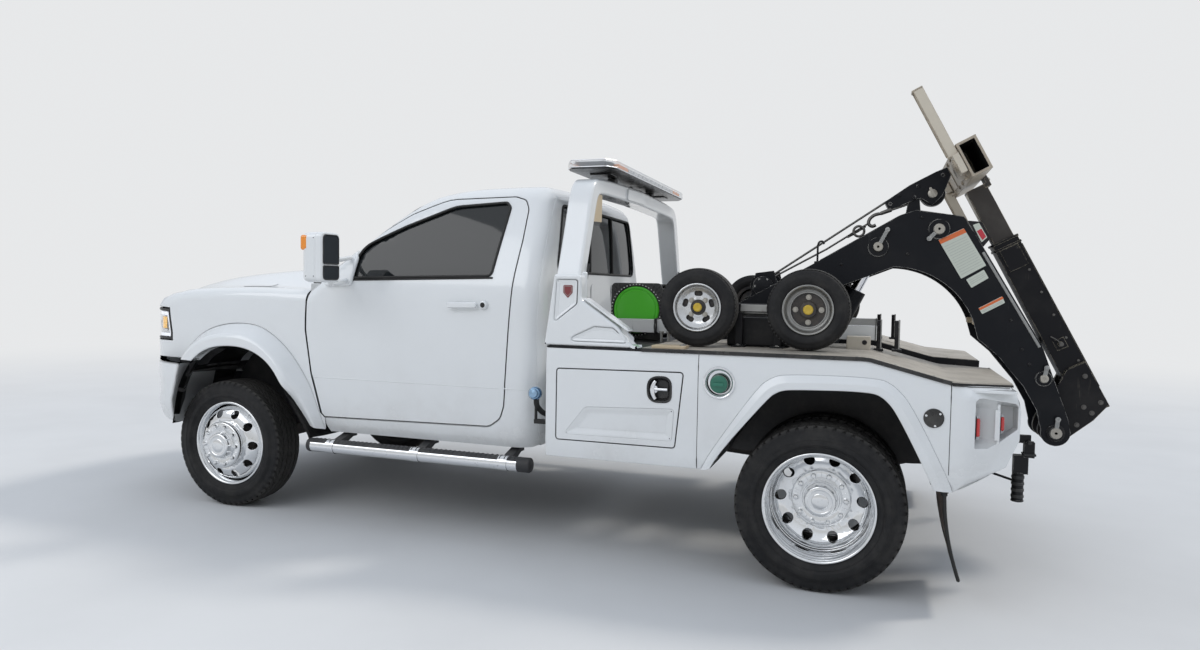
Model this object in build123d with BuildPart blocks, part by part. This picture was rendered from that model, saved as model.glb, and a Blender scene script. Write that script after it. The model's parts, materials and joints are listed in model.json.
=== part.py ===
from build123d import *
import os
from math import cos, degrees, radians, sin

# Tow truck with a regular cab, a self-loading wheel lift and two tow dollies.
# Millimetres. +X runs to the rear, -Y is the driver's side, +Z is up, the ground is Z = 0.
# Side-view points are (distance behind the front axle, height).

os.makedirs("parts", exist_ok=True)

# Running gear
FRONT_AXLE_X = -2072.0
WHEELBASE = 3670.0
TYRE_RADIUS = 405.0
TYRE_HALF_WIDTH = 112.0
BEAD_RADIUS = 248.0
BEAD_HALF_WIDTH = 76.0
RIM_LIP_RADIUS = 267.0
RIM_HALF_WIDTH = 89.0
RIM_WALL = 9.0
DISC_OFFSET = 136.0
FRONT_WHEEL_Y = 951.0
REAR_OUTER_Y = 1083.0
REAR_INNER_Y = REAR_OUTER_Y - 2 * DISC_OFFSET
KINGPIN_Y = 850.0
KINGPIN_RADIUS = 25.0
SPINDLE_RADIUS = 40.0
FIT = 0.05

# Ladder frame
RAIL_OUTER_Y = 430.0
RAIL_FLANGE = 70.0
RAIL_WALL = 8.0
RAIL_BOTTOM = 600.0
RAIL_TOP = 790.0
RAIL_FRONT = -760.0
RAIL_REAR = 4420.0

# Cab
CAB_HALF_WIDTH = 1012.0
CAB_FRONT = 560.0
FLOOR_TOP = 850.0
FLOOR_BOTTOM = 830.0
ROCKER_BOTTOM = 528.0
SHUT_LINE = 5.0
SEAM = 0.3
CAB_SEAMS_X = (592.0, 2095.0)
SILL_SEAM_Y = 900.0
GLASS = 6.0

# Tow body
BODY_HALF_WIDTH = 1215.0
BODY_INNER_Y = 640.0
BODY_FRONT = 2275.0
BODY_BOTTOM = 552.0
DECK_TOP = 1135.0
DECK_PLATE = 12.0
SLOT_HALF_WIDTH = 255.0
SKIN = 6.0
ARCH_LIP = 15.0
ARCH_LIP_TAPER = 52.0

# Boom, lift cylinder and wheel lift
BOOM_PIVOT = (3080.0, 1255.0)
BOOM_PLATE_Y = 200.0
BOOM_PLATE = 12.0
WINCH_DRUM = (3250.0, 1465.0)
LIFT_EYE = (3901.0, 1700.0)
LIFT_BASE = (3553.0, 985.0)
FOLD_PIVOT = (4838.0, 694.0)
STINGER_FOOT = (5058.0, 807.0)
STINGER_ANGLE = 117.5
OUTER_TUBE = 140.0
OUTER_TUBE_LENGTH = 1060.0
INNER_TUBE = 112.0
TUBE_WALL = 10.0
CROSSBAR_S = 1519.0
SWIVEL_ROOM = 24.0
TONGUE_ROOT = 30.0
CROSSBAR_ALONG = 195.0
CROSSBAR_DEEP = 106.0
CROSSBAR_HALF_LENGTH = 500.0
CLAW_Y = 455.0

# Dollies on the deck
DOLLY_WHEEL_RADIUS = 205.0
DOLLY_WHEEL_HALF_WIDTH = 60.0
DOLLY_RIM_RADIUS = 123.0
DOLLY_WHEEL_Y = 955.0
DOLLY_WHEEL_Z = 1347.0
DOLLY_WHEEL_X = (3026.0, 3583.0)
REEL_CENTRE = (2559.0, 1313.0)
REEL_RADIUS = 136.0


def side(y):
    """Plane seen from the driver's side: local x runs to the rear, local y is up, normal is -Y."""
    return Plane(origin=(FRONT_AXLE_X, y, 0), x_dir=(1, 0, 0), z_dir=(0, -1, 0))


def across(x):
    """Plane square to the truck: local x is +Y, local y is up, normal runs to the rear."""
    return Plane(origin=(FRONT_AXLE_X + x, 0, 0), x_dir=(0, 1, 0), z_dir=(1, 0, 0))


def plan(z):
    """Level plane: local x runs to the rear, local y is +Y."""
    return Plane(origin=(FRONT_AXLE_X, 0, z))


def wheel_plane(hand, x, z):
    """Plane through a wheel's axis: local x is the distance outboard, local y is the radius."""
    return Plane(origin=(FRONT_AXLE_X + x, 0, z), x_dir=(0, hand, 0), z_dir=(hand, 0, 0))


def axle_line(x, z):
    """Axis across the truck."""
    return Axis((FRONT_AXLE_X + x, 0, z), (0, 1, 0))


def stinger_plane(y):
    """Side plane turned to the folded wheel lift: local x is along its tube, local y towards the cab."""
    along = radians(STINGER_ANGLE)
    foot_x, foot_z = STINGER_FOOT
    return Plane(
        origin=(FRONT_AXLE_X + foot_x, y, foot_z),
        x_dir=(cos(along), 0, sin(along)),
        z_dir=(0, -1, 0),
    )


def prism(plane, points, amount, both=False, mode=Mode.ADD):
    """Extrude a polygon within the part that is being built."""
    with BuildSketch(plane) as profile:
        Polygon(*points, align=None)
    extrude(profile.sketch, amount=amount, both=both, mode=mode)


def disc(plane, centre, radius, amount, both=False, mode=Mode.ADD):
    """Extrude a round within the part that is being built."""
    with BuildSketch(plane) as profile:
        with Locations(centre):
            Circle(radius)
    extrude(profile.sketch, amount=amount, both=both, mode=mode)


def slab(plane, low, high, amount, both=False, mode=Mode.ADD):
    """Extrude the rectangle between two corners within the part that is being built."""
    corners = [low, (high[0], low[1]), high, (low[0], high[1])]
    prism(plane, corners, amount, both, mode)


def save(piece, name):
    """Label one sub-part and write it."""
    piece.label = name
    export_step(piece, f"parts/{name}.step")


def save_pair(left, name):
    """Write a sub-part of the driver's side and its mirror image."""
    with BuildPart() as right:
        mirror(left, about=Plane.XZ)
    save(left, f"{name}_left")
    save(right.part, f"{name}_right")


def save_twin(left, name):
    """Write a sub-part of both sides as one node of two solids."""
    with BuildPart() as twin:
        add(left)
        mirror(left, about=Plane.XZ)
    save(twin.part, name)


def revolved(plane, axis, points, mode=Mode.ADD):
    """Turn a polygon of (distance outboard, radius) about an axle, within the part being built."""
    with BuildSketch(plane) as profile:
        Polygon(*points, align=None)
    revolve(profile.sketch, axis=axis, mode=mode)


# Frame, springs, axles and drive line

def frame_rails():
    cross_x = (-700.0, 1250.0, 2330.0, 3020.0)
    cross_half_width = RAIL_OUTER_Y - RAIL_WALL
    inner_y = RAIL_OUTER_Y - RAIL_FLANGE
    with BuildPart() as rails:
        for hand in (-1, 1):
            channel = [
                (hand * RAIL_OUTER_Y, RAIL_BOTTOM),
                (hand * inner_y, RAIL_BOTTOM),
                (hand * inner_y, RAIL_BOTTOM + RAIL_WALL),
                (hand * (RAIL_OUTER_Y - RAIL_WALL), RAIL_BOTTOM + RAIL_WALL),
                (hand * (RAIL_OUTER_Y - RAIL_WALL), RAIL_TOP - RAIL_WALL),
                (hand * inner_y, RAIL_TOP - RAIL_WALL),
                (hand * inner_y, RAIL_TOP),
                (hand * RAIL_OUTER_Y, RAIL_TOP),
            ]
            prism(across(RAIL_FRONT), channel, RAIL_REAR - RAIL_FRONT)
        for x in cross_x:
            slab(across(x), (-cross_half_width, 665), (cross_half_width, 775), 60)
    save(rails.part, "frame_rails")


def drive_line():
    shaft_start = (1158.0, 580.0)
    shaft_end = (3440.0, 420.0)
    with BuildPart() as block:
        slab(side(0), (-420, 560), (380, 1290), 340, both=True)
        slab(side(0), (380, 480), (1150, 800), 165, both=True)
    save(block.part, "engine_block")
    with BuildPart() as shaft:
        dx = shaft_end[0] - shaft_start[0]
        dz = shaft_end[1] - shaft_start[1]
        start = Plane(
            origin=(FRONT_AXLE_X + shaft_start[0], 0, shaft_start[1]),
            x_dir=(0, 1, 0),
            z_dir=(dx, 0, dz),
        )
        length = (dx * dx + dz * dz) ** 0.5
        with BuildSketch(start):
            Circle(45)
        extrude(amount=length)
        slab(across(3440), (-60, 350), (60, 470), 40)
    save(shaft.part, "drive_shaft")
    with BuildPart() as pipe:
        with BuildLine():
            FilletPolyline(
                (FRONT_AXLE_X + 640, 300, 550),
                (FRONT_AXLE_X + 900, 520, 500),
                (FRONT_AXLE_X + 2950, 520, 500),
                (FRONT_AXLE_X + 2950, 1000, 470),
                radius=100,
            )
        with BuildSketch(Plane(origin=(FRONT_AXLE_X + 640, 300, 550), z_dir=(260, 220, -50))):
            Circle(38)
        sweep()
        disc(across(1500), (520, 500), 105, 650)
    save(pipe.part, "exhaust")
    with BuildPart() as tank:
        slab(side(-445), (2300, 440), (2940, 790), 180)
        fillet(tank.edges().filter_by(Axis.X), radius=40)
    save(tank.part, "fuel_tank")


def springs():
    with BuildPart() as leaves:
        with BuildSketch(side(-360)) as front_pack:
            with BuildLine():
                ThreePointArc((-560, 600), (30, 450), (620, 600))
                Line((620, 600), (560, 600))
                ThreePointArc((560, 600), (20, 495), (-500, 600))
                Line((-500, 600), (-560, 600))
            make_face()
        extrude(front_pack.sketch, amount=70)
        with BuildSketch(side(-440)) as rear_pack:
            with BuildLine():
                ThreePointArc((2980, 650), (3670, 466), (4360, 650))
                Line((4360, 650), (4300, 650))
                ThreePointArc((4300, 650), (3670, 540), (3040, 650))
                Line((3040, 650), (2980, 650))
            make_face()
        extrude(rear_pack.sketch, amount=80)
        for x in (2970, 4290):
            slab(side(-RAIL_OUTER_Y), (x, 640), (x + 80, 760), 90)
        slab(side(-360), (-55, 445), (55, 520), 70)
        slab(side(-440), (3610, 465), (3730, 560), 80)
    save_twin(leaves.part, "leaf_springs")


def front_axle():
    with BuildPart() as beam:
        slab(side(0), (-45, 365), (45, 445), KINGPIN_Y - 30, both=True)
        for hand in (-1, 1):
            disc(plan(360), (0, hand * KINGPIN_Y), 45, 90)
            disc(plan(300), (0, hand * KINGPIN_Y), KINGPIN_RADIUS + FIT, 300, mode=Mode.SUBTRACT)
    save(beam.part, "front_axle")
    with BuildPart() as knuckle:
        hand = -1
        for z in (325, 455):
            disc(plan(z), (0, hand * KINGPIN_Y), 42, 30)
            slab(plan(z), (-42, hand * 925), (42, hand * KINGPIN_Y), 30)
        disc(plan(325), (0, hand * KINGPIN_Y), KINGPIN_RADIUS, 160)
        slab(plan(325), (-42, hand * 935), (42, hand * 905), 160)
        disc(side(-935), (0, TYRE_RADIUS), SPINDLE_RADIUS, 135)
    save_pair(knuckle.part, "knuckle")


def rear_axle():
    spindle_end = 1010.0
    hub_inner = 700.0
    with BuildPart() as axle:
        disc(side(0), (WHEELBASE, TYRE_RADIUS), 60, hub_inner - 20, both=True)
        disc(side(0), (WHEELBASE, TYRE_RADIUS), SPINDLE_RADIUS + 8, spindle_end, both=True)
        disc(side(0), (WHEELBASE, TYRE_RADIUS), 180, 90, both=True)
        disc(across(WHEELBASE - 190), (0, TYRE_RADIUS + 10), 75, 100)
    save(axle.part, "rear_axle")


# Wheels

def tyre_section(centre):
    """Section of one tyre as (distance outboard, radius)."""
    return [
        (centre - BEAD_HALF_WIDTH, BEAD_RADIUS),
        (centre - BEAD_HALF_WIDTH, RIM_LIP_RADIUS + 1),
        (centre - TYRE_HALF_WIDTH, 318),
        (centre - TYRE_HALF_WIDTH + 3, 350),
        (centre - 98, 390),
        (centre - 84, 401),
        (centre, TYRE_RADIUS),
        (centre + 84, 401),
        (centre + 98, 390),
        (centre + TYRE_HALF_WIDTH - 3, 350),
        (centre + TYRE_HALF_WIDTH, 318),
        (centre + BEAD_HALF_WIDTH, RIM_LIP_RADIUS + 1),
        (centre + BEAD_HALF_WIDTH, BEAD_RADIUS),
    ]


def rim_section(centre, facing):
    """Section of a disc wheel; facing is 1 where its bolting face stands outboard of the rim."""
    bolting = centre + facing * DISC_OFFSET
    root = centre + facing * 50
    well = BEAD_RADIUS - RIM_WALL
    barrel = [
        (centre - RIM_HALF_WIDTH, RIM_LIP_RADIUS),
        (centre - RIM_HALF_WIDTH, BEAD_RADIUS - RIM_WALL),
        (centre + RIM_HALF_WIDTH, BEAD_RADIUS - RIM_WALL),
        (centre + RIM_HALF_WIDTH, RIM_LIP_RADIUS),
        (centre + BEAD_HALF_WIDTH, RIM_LIP_RADIUS),
        (centre + BEAD_HALF_WIDTH, BEAD_RADIUS),
        (centre - BEAD_HALF_WIDTH, BEAD_RADIUS),
        (centre - BEAD_HALF_WIDTH, RIM_LIP_RADIUS),
    ]
    dish = [
        (root, well + 1),
        (root + facing * 24, well - 20),
        (bolting - facing * 14, 165),
        (bolting, 148),
        (bolting, 60),
        (bolting - facing * 12, 60),
        (bolting - facing * 12, 142),
        (bolting - facing * 26, 156),
        (root + facing * 6, well - 26),
        (root - facing * 14, well + 1),
    ]
    return barrel, dish


def hand_holes(plane, radius, count, size, depth, mode=Mode.SUBTRACT):
    """Cut a ring of slots through a wheel's disc."""
    with BuildSketch(plane) as slots:
        with PolarLocations(radius, count, start_angle=18):
            SlotOverall(size[0], size[1], rotation=90)
    extrude(slots.sketch, amount=depth, both=True, mode=mode)


def road_wheels():
    hand = -1
    front_plane = wheel_plane(hand, 0, TYRE_RADIUS)
    front_line = axle_line(0, TYRE_RADIUS)
    rear_plane = wheel_plane(hand, WHEELBASE, TYRE_RADIUS)
    rear_line = axle_line(WHEELBASE, TYRE_RADIUS)
    with BuildPart() as front_tyre:
        revolved(front_plane, front_line, tyre_section(FRONT_WHEEL_Y))
    save_pair(front_tyre.part, "tyre_front")
    with BuildPart() as front_rim:
        barrel, dish = rim_section(FRONT_WHEEL_Y, 1)
        face = FRONT_WHEEL_Y + DISC_OFFSET
        hub = [
            (945, SPINDLE_RADIUS + FIT),
            (945, 78),
            (face, 78),
            (face + 52, 72),
            (face + 60, 60),
            (face + 60, 0),
            (1075, 0),
            (1075, SPINDLE_RADIUS + FIT),
        ]
        revolved(front_plane, front_line, barrel)
        revolved(front_plane, front_line, dish)
        face_plane = Plane(side(-face + 50).origin + Vector(0, 0, TYRE_RADIUS), x_dir=(1, 0, 0), z_dir=(0, -1, 0))
        hand_holes(face_plane, 196, 10, (62, 38), 60)
        revolved(front_plane, front_line, hub)
    save_pair(front_rim.part, "rim_front")
    with BuildPart() as rear_tyres:
        revolved(rear_plane, rear_line, tyre_section(REAR_OUTER_Y))
        revolved(rear_plane, rear_line, tyre_section(REAR_INNER_Y))
    save_pair(rear_tyres.part, "tyre_rear")
    with BuildPart() as rear_rims:
        for centre, facing in ((REAR_OUTER_Y, -1), (REAR_INNER_Y, 1)):
            barrel, dish = rim_section(centre, facing)
            revolved(rear_plane, rear_line, barrel)
            revolved(rear_plane, rear_line, dish)
        between = REAR_OUTER_Y - DISC_OFFSET
        middle = Plane(side(-between).origin + Vector(0, 0, TYRE_RADIUS), x_dir=(1, 0, 0), z_dir=(0, -1, 0))
        hand_holes(middle, 196, 10, (62, 38), 110)
        bore = SPINDLE_RADIUS + 8 + FIT
        hub = [
            (700, bore),
            (700, 95),
            (between + 30, 95),
            (between + 90, 80),
            (between + 96, 60),
            (between + 96, 0),
            (1012, 0),
            (1012, bore),
        ]
        revolved(rear_plane, rear_line, hub)
    save_pair(rear_rims.part, "rim_rear")


# Cab

CAB_SIDE = [
    (CAB_FRONT, 900), (CAB_FRONT, 1535), (640, 1552), (1215, 1975), (1330, 2010), (1600, 2045),
    (1950, 2050), (2090, 2032), (2140, 1985), (2158, 1640), (2165, 1200), (2133, 575),
    (2105, ROCKER_BOTTOM), (745, ROCKER_BOTTOM), (700, 620), (620, 900),
]
CAB_SECTION = [
    (990, ROCKER_BOTTOM), (CAB_HALF_WIDTH, 620), (CAB_HALF_WIDTH, 1150), (1000, 1470),
    (790, 1930), (735, 1995), (600, 2030), (0, 2052),
]
CAB_INSIDE_SIDE = [
    (CAB_FRONT + 30, FLOOR_TOP), (CAB_FRONT + 30, 1500), (690, 1535), (1245, 1935), (1345, 1965),
    (1600, 1998), (1950, 2003), (2060, 1990), (2092, 1960), (2105, 1640), (2112, 1200), (2105, FLOOR_TOP),
]
CAB_INSIDE_SECTION = [
    (920, FLOOR_TOP), (925, 1150), (915, 1460), (725, 1880), (680, 1950), (560, 1985), (0, 2005),
]
DOOR_OUTLINE = [
    (577, 1400), (577, 1150), (620, 880), (692, 640), (712, 622), (1840, 643), (1905, 690),
    (1928, 760), (1952, 1180), (1980, 1700), (1978, 1890), (1950, 1945), (1880, 1966), (1440, 1958),
    (1200, 1868), (720, 1590),
]
DOOR_INNER_OUTLINE = [
    (585, 1390), (585, 1150), (630, 890), (700, 660), (720, 648), (1820, 663), (1880, 705),
    (1903, 770), (1927, 1180), (1950, 1700), (1945, 1880), (1920, 1925), (1870, 1940), (1445, 1932),
    (1210, 1845), (735, 1580),
]
DOOR_ZONE = [
    (940, 500), (940, 870), (868, 870), (868, 1480), (640, 1985), (1300, 1985), (1300, 500),
]
DOOR_CORE_SECTION = [
    (970, ROCKER_BOTTOM), (998, 620), (998, 1150), (986, 1466), (776, 1922), (722, 1983), (592, 2016), (0, 2038),
]
DOOR_HINGE = (600.0, 1000.0)
DOOR_SWEEP = 32.0
WINDOW_OUTLINE = [
    (862, 1476), (1828, 1497), (1862, 1900), (1832, 1932), (1500, 1912), (1200, 1797), (925, 1672),
]
WINDSHIELD_OUTLINE = [(840, 1585), (700, 1945), (-700, 1945), (-840, 1585)]
REAR_WINDOW_OUTLINE = [(760, 1530), (655, 1925), (-655, 1925), (-760, 1530)]


def mirrored_section(half):
    """Close a half section of (y, height) points about the middle of the truck."""
    return half + [(-y, z) for y, z in reversed(half) if y > 0]


def cab_form(side_points, half_section):
    """Solid whose side view and end view are the two outlines."""
    prism(side(0), side_points, 1100, both=True)
    prism(across(0), mirrored_section(half_section), 2500, mode=Mode.INTERSECT)


def grown(points, gap):
    """Move an outline's points outwards from its middle by about the gap."""
    mid_x = sum(p[0] for p in points) / len(points)
    mid_y = sum(p[1] for p in points) / len(points)
    half_x = (max(p[0] for p in points) - min(p[0] for p in points)) / 2
    half_y = (max(p[1] for p in points) - min(p[1] for p in points)) / 2
    return [
        (mid_x + (x - mid_x) * (1 + gap / half_x), mid_y + (y - mid_y) * (1 + gap / half_y))
        for x, y in points
    ]


def panel_seams():
    """Part the cab shell into floor, sills, dash panel, back panel and roof with its pillars."""
    for x in CAB_SEAMS_X:
        slab(side(0), (x, FLOOR_TOP), (x + SEAM, 2100), 1100, both=True, mode=Mode.SUBTRACT)
    slab(side(0), (CAB_FRONT - 10, FLOOR_TOP), (2200, FLOOR_TOP + SEAM), 1100, both=True, mode=Mode.SUBTRACT)
    slab(side(0), (CAB_SEAMS_X[0], FLOOR_TOP), (CAB_SEAMS_X[0] + 22, 1000), 1100, both=True, mode=Mode.SUBTRACT)
    for hand in (-1, 1):
        slab(side(hand * SILL_SEAM_Y), (CAB_FRONT - 10, 500), (2200, FLOOR_TOP), SEAM, mode=Mode.SUBTRACT)


def cab():
    with BuildPart() as inside:
        cab_form(CAB_INSIDE_SIDE, CAB_INSIDE_SECTION)
    with BuildPart() as hollow:
        cab_form(CAB_SIDE, CAB_SECTION)
        add(inside.part, mode=Mode.SUBTRACT)
        slab(side(0), (CAB_FRONT - 10, ROCKER_BOTTOM - 10), (2200, FLOOR_BOTTOM), 880, both=True, mode=Mode.SUBTRACT)
    with BuildPart() as opening:
        prism(side(-600), grown(DOOR_OUTLINE, SHUT_LINE), 700)
        slab(side(-868), (550, 500), (600, 1440), 300)
        prism(across(0), [(-y, z) for y, z in DOOR_ZONE], 2500, mode=Mode.INTERSECT)
        disc(plan(620), (DOOR_HINGE[0], -DOOR_HINGE[1]), DOOR_SWEEP, 1440 - 620)
        mirror(about=Plane.XZ)
    with BuildPart() as shell:
        add(hollow.part)
        add(opening.part, mode=Mode.SUBTRACT)
        prism(across(CAB_FRONT), WINDSHIELD_OUTLINE, 800, mode=Mode.SUBTRACT)
        prism(across(2000), REAR_WINDOW_OUTLINE, 300, mode=Mode.SUBTRACT)
        for hand in (-1, 1):
            for x in (700, 2020):
                slab(plan(RAIL_TOP), (x, hand * 365), (x + 60, hand * 425), FLOOR_BOTTOM - RAIL_TOP)
        panel_seams()
    save(shell.part, "cab_shell")

    with BuildPart() as core:
        slab(side(0), (500, 500), (2200, 2100), 1100)
        prism(across(0), mirrored_section(DOOR_CORE_SECTION), 2500, mode=Mode.INTERSECT)
        prism(side(0), DOOR_INNER_OUTLINE, 1200, mode=Mode.SUBTRACT)
    with BuildPart() as door:
        add(hollow.part)
        prism(side(-600), DOOR_OUTLINE, 600, mode=Mode.INTERSECT)
        prism(across(0), [(-y, z) for y, z in DOOR_ZONE], 2500, mode=Mode.INTERSECT)
        add(core.part, mode=Mode.SUBTRACT)
        prism(side(-600), WINDOW_OUTLINE, 600, mode=Mode.SUBTRACT)
        prism(across(CAB_FRONT), grown(WINDSHIELD_OUTLINE, 12), 800, mode=Mode.SUBTRACT)
        mirror_parts()
    save_pair(door.part, "cab_door")
    with BuildPart() as pane:
        prism(across(800), [(-968, 1460), (-750, 1937), (-744, 1937), (-962, 1460)], 1150)
        prism(side(-600), WINDOW_OUTLINE, 600, mode=Mode.INTERSECT)
    save_pair(pane.part, "door_glass")

    with BuildPart() as glass:
        prism(side(0), [(622, 1520), (1240, 1975), (1244, 1970), (626, 1515)], 900, both=True)
        prism(across(CAB_FRONT), WINDSHIELD_OUTLINE, 800, mode=Mode.INTERSECT)
        with BuildPart(mode=Mode.PRIVATE) as rear_pane:
            slab(side(0), (2120, 1500), (2120 + GLASS, 1950), 800, both=True)
            prism(across(2000), REAR_WINDOW_OUTLINE, 300, mode=Mode.INTERSECT)
        add(rear_pane.part)
    save(glass.part, "cab_glass")


def mirror_parts():
    """Towing mirror with its two arms, on the driver's door."""
    slab(side(-1150), (790, 1444), (985, 1735), 170)
    for z in (1425, 1560):
        slab(side(-975), (790, z), (830, z + 30), 190)


def cab_inside():
    with BuildPart() as seats:
        for hand in (-1, 1):
            y = hand * 470
            slab(side(y), (1380, FLOOR_TOP), (1760, 1010), 200, both=True)
            prism(side(y), [(1320, 1010), (1320, 1120), (1830, 1100), (1830, 1010)], 250, both=True)
            prism(side(y), [(1780, 1100), (1960, 1640), (2080, 1640), (1960, 1020), (1830, 1010)], 245, both=True)
            slab(side(y), (1985, 1660), (2070, 1840), 130, both=True)
            slab(side(y), (2015, 1640), (2035, 1660), 60, both=True)
    save(seats.part, "seats")
    with BuildPart() as dash:
        prism(
            side(0),
            [(CAB_FRONT + 30, 1080), (CAB_FRONT + 30, 1440), (760, 1470), (1020, 1440), (1040, 1330), (900, 1120)],
            850,
            both=True,
        )
        column = Plane(
            origin=(FRONT_AXLE_X + 1000, -470, 1350), x_dir=(0, 1, 0), z_dir=(cos(radians(25)), 0, sin(radians(25)))
        )
        with BuildSketch(column):
            Circle(30)
        extrude(amount=220)
        with BuildSketch(column.offset(200)):
            Circle(195)
            Circle(170, mode=Mode.SUBTRACT)
            with PolarLocations(0, 3, start_angle=90):
                Rectangle(180, 34, align=(Align.MIN, Align.CENTER))
            Circle(65)
        extrude(amount=24)
    save(dash.part, "dashboard")


# Front end

NOSE_RADIUS = 2430.0
NOSE_X = -870.0
FRONT_ARCH_SPRING = (-318.0, 770.0)
FRONT_ARCH_TOP = (120.0, 1060.0)
FRONT_ARCH_BACK = (500.0, 860.0)
FRONT_ARCH_FOOT = (655.0, 545.0)
FRONT_FLARE = 1135.0


def front_arch(plane, grow, amount, mode):
    """Extrude the front wheel opening, grown outwards."""
    start = (FRONT_ARCH_SPRING[0] - grow, FRONT_ARCH_SPRING[1])
    top = (FRONT_ARCH_TOP[0], FRONT_ARCH_TOP[1] + grow)
    back = (FRONT_ARCH_BACK[0] + grow * 0.8, FRONT_ARCH_BACK[1] + grow * 0.6)
    foot = (FRONT_ARCH_FOOT[0] + grow, FRONT_ARCH_FOOT[1])
    base = (start[0] - 40, FRONT_ARCH_FOOT[1] - 45)
    with BuildSketch(plane) as opening:
        with BuildLine():
            ThreePointArc(start, top, back)
            Polyline(back, foot, (foot[0], base[1]), base, start)
        make_face()
    extrude(opening.sketch, amount=amount, mode=mode)


def nose_cut(plane_z, height, mode=Mode.INTERSECT):
    """Keep what lies behind the curved front of the cab's nose."""
    with BuildSketch(plan(plane_z)) as bow:
        with BuildLine():
            ThreePointArc((-560, -1180), (NOSE_X, 0), (-560, 1180))
            Polyline((-560, 1180), (900, 1180), (900, -1180), (-560, -1180))
        make_face()
    extrude(bow.sketch, amount=height, mode=mode)


def front_end():
    fender_side = [
        (-600, 932), (-600, 1350), (-523, 1372), (-320, 1400), (90, 1412), (556, 1402),
        (562, 1390), (562, 1150), (598, 880), (672, 630), (700, 545), (600, 545), (0, 770), (-465, 770),
        (-465, 932),
    ]
    top_line = [(-600, 1350), (-523, 1372), (-320, 1400), (90, 1412), (556, 1402)]
    with BuildPart() as left_fender:
        prism(side(-1002), fender_side, 8)
        prism(side(-885), top_line + [(x, z - 12) for x, z in reversed(top_line)], 120)
        slab(side(-885), (-600, 1290), (-588, 1352), 120)
        front_arch(side(-500), 0, 700, Mode.SUBTRACT)
        slab(side(-1000), (-700, 1048), (-512, 1273), 20, mode=Mode.SUBTRACT)
        with BuildPart(mode=Mode.PRIVATE) as liner:
            front_arch(side(-560), 8, 450, Mode.ADD)
            front_arch(side(-550), 0, 500, Mode.SUBTRACT)
            slab(side(-550), (-420, 400), (720, 770), 500, mode=Mode.SUBTRACT)
        with BuildPart(mode=Mode.PRIVATE) as flare:
            front_arch(side(-1006), 95, FRONT_FLARE - 1006, Mode.ADD)
            front_arch(side(-990), 0, 300, Mode.SUBTRACT)
            slab(side(-990), (-500, 400), (0, 775), 200, mode=Mode.SUBTRACT)
            slab(side(-990), (-500, 400), (1000, 552), 200, mode=Mode.SUBTRACT)
            prism(plan(612), [(588, -990), (588, -1045), (638, -1145), (900, -1145), (900, -990)], 800,
                  mode=Mode.SUBTRACT)
            slab(plan(500), (689, -1016), (900, -990), 200, mode=Mode.SUBTRACT)
        add(liner.part)
        add(flare.part)
    save_twin(left_fender.part, "front_fenders")

    with BuildPart() as hood:
        prism(
            side(0),
            [(-900, 1290), (-880, 1330), (-640, 1420), (-425, 1470), (0, 1530), (400, 1562), (552, 1572),
             (552, 1412), (90, 1420), (-320, 1405), (-640, 1350), (-900, 1250)],
            880, both=True,
        )
        prism(
            across(-1000),
            mirrored_section([(875, 1200), (875, 1440), (845, 1530), (700, 1565), (0, 1590)]),
            2000, mode=Mode.INTERSECT,
        )
        nose_cut(1000, 800)
        prism(
            side(0), [(-790, 1200), (-790, 1325), (-600, 1397), (0, 1502), (530, 1540), (530, 1200)],
            840, both=True, mode=Mode.SUBTRACT,
        )
    save(hood.part, "hood")

    with BuildPart() as grille:
        slab(side(0), (-900, 935), (-600, 1240), 645, both=True)
        nose_cut(900, 400)
        slab(side(0), (-780, 900), (-500, 1260), 700, both=True, mode=Mode.SUBTRACT)
        for z in (985, 1060, 1135, 1210):
            slab(side(0), (-920, z - 22), (-600, z + 22 - 44 * (z > 1200)), 560, both=True, mode=Mode.SUBTRACT)
        slab(side(0), (-790, 940), (-780, 1240), 640, both=True)
        for hand in (-1, 1):
            slab(plan(940), (-780, hand * 380), (-760, hand * 640), 300)
    save(grille.part, "grille")

    with BuildPart() as lamp:
        slab(side(-650), (-900, 1055), (-516, 1265), 350)
        nose_cut(900, 500)
        prism(plan(1000), [(-720, -640), (-720, -900), (-600, -965), (-500, -965), (-500, -640)], 300,
              mode=Mode.SUBTRACT)
    save_twin(lamp.part, "headlamps")

    with BuildPart() as bumper:
        with BuildSketch(plan(590)) as bow:
            with BuildLine():
                Polyline((-470, -1020), (-600, -1020), (-880, -880), (-975, -600), (-975, 600),
                         (-880, 880), (-600, 1020), (-470, 1020), (-470, 990), (-590, 990),
                         (-780, 870), (-780, -870), (-590, -990), (-470, -990), (-470, -1020))
            make_face()
        extrude(bow.sketch, amount=335)
        slab(across(-990), (-500, 690), (500, 800), 120, mode=Mode.SUBTRACT)
        for hand in (-1, 1):
            slab(plan(620), (-790, hand * 370), (-760, hand * 425), 160)
    save(bumper.part, "front_bumper")


def steps():
    with BuildPart() as step:
        disc(across(690), (-1105, 464), 40, 1445)
        for x in (820, 1400, 1960):
            prism(across(x), [(-1075, 440), (-1075, 490), (-940, ROCKER_BOTTOM), (-900, ROCKER_BOTTOM), (-900, 500), (-940, 500)], 50)
    save_twin(step.part, "step_bars")


# Tow body

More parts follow.
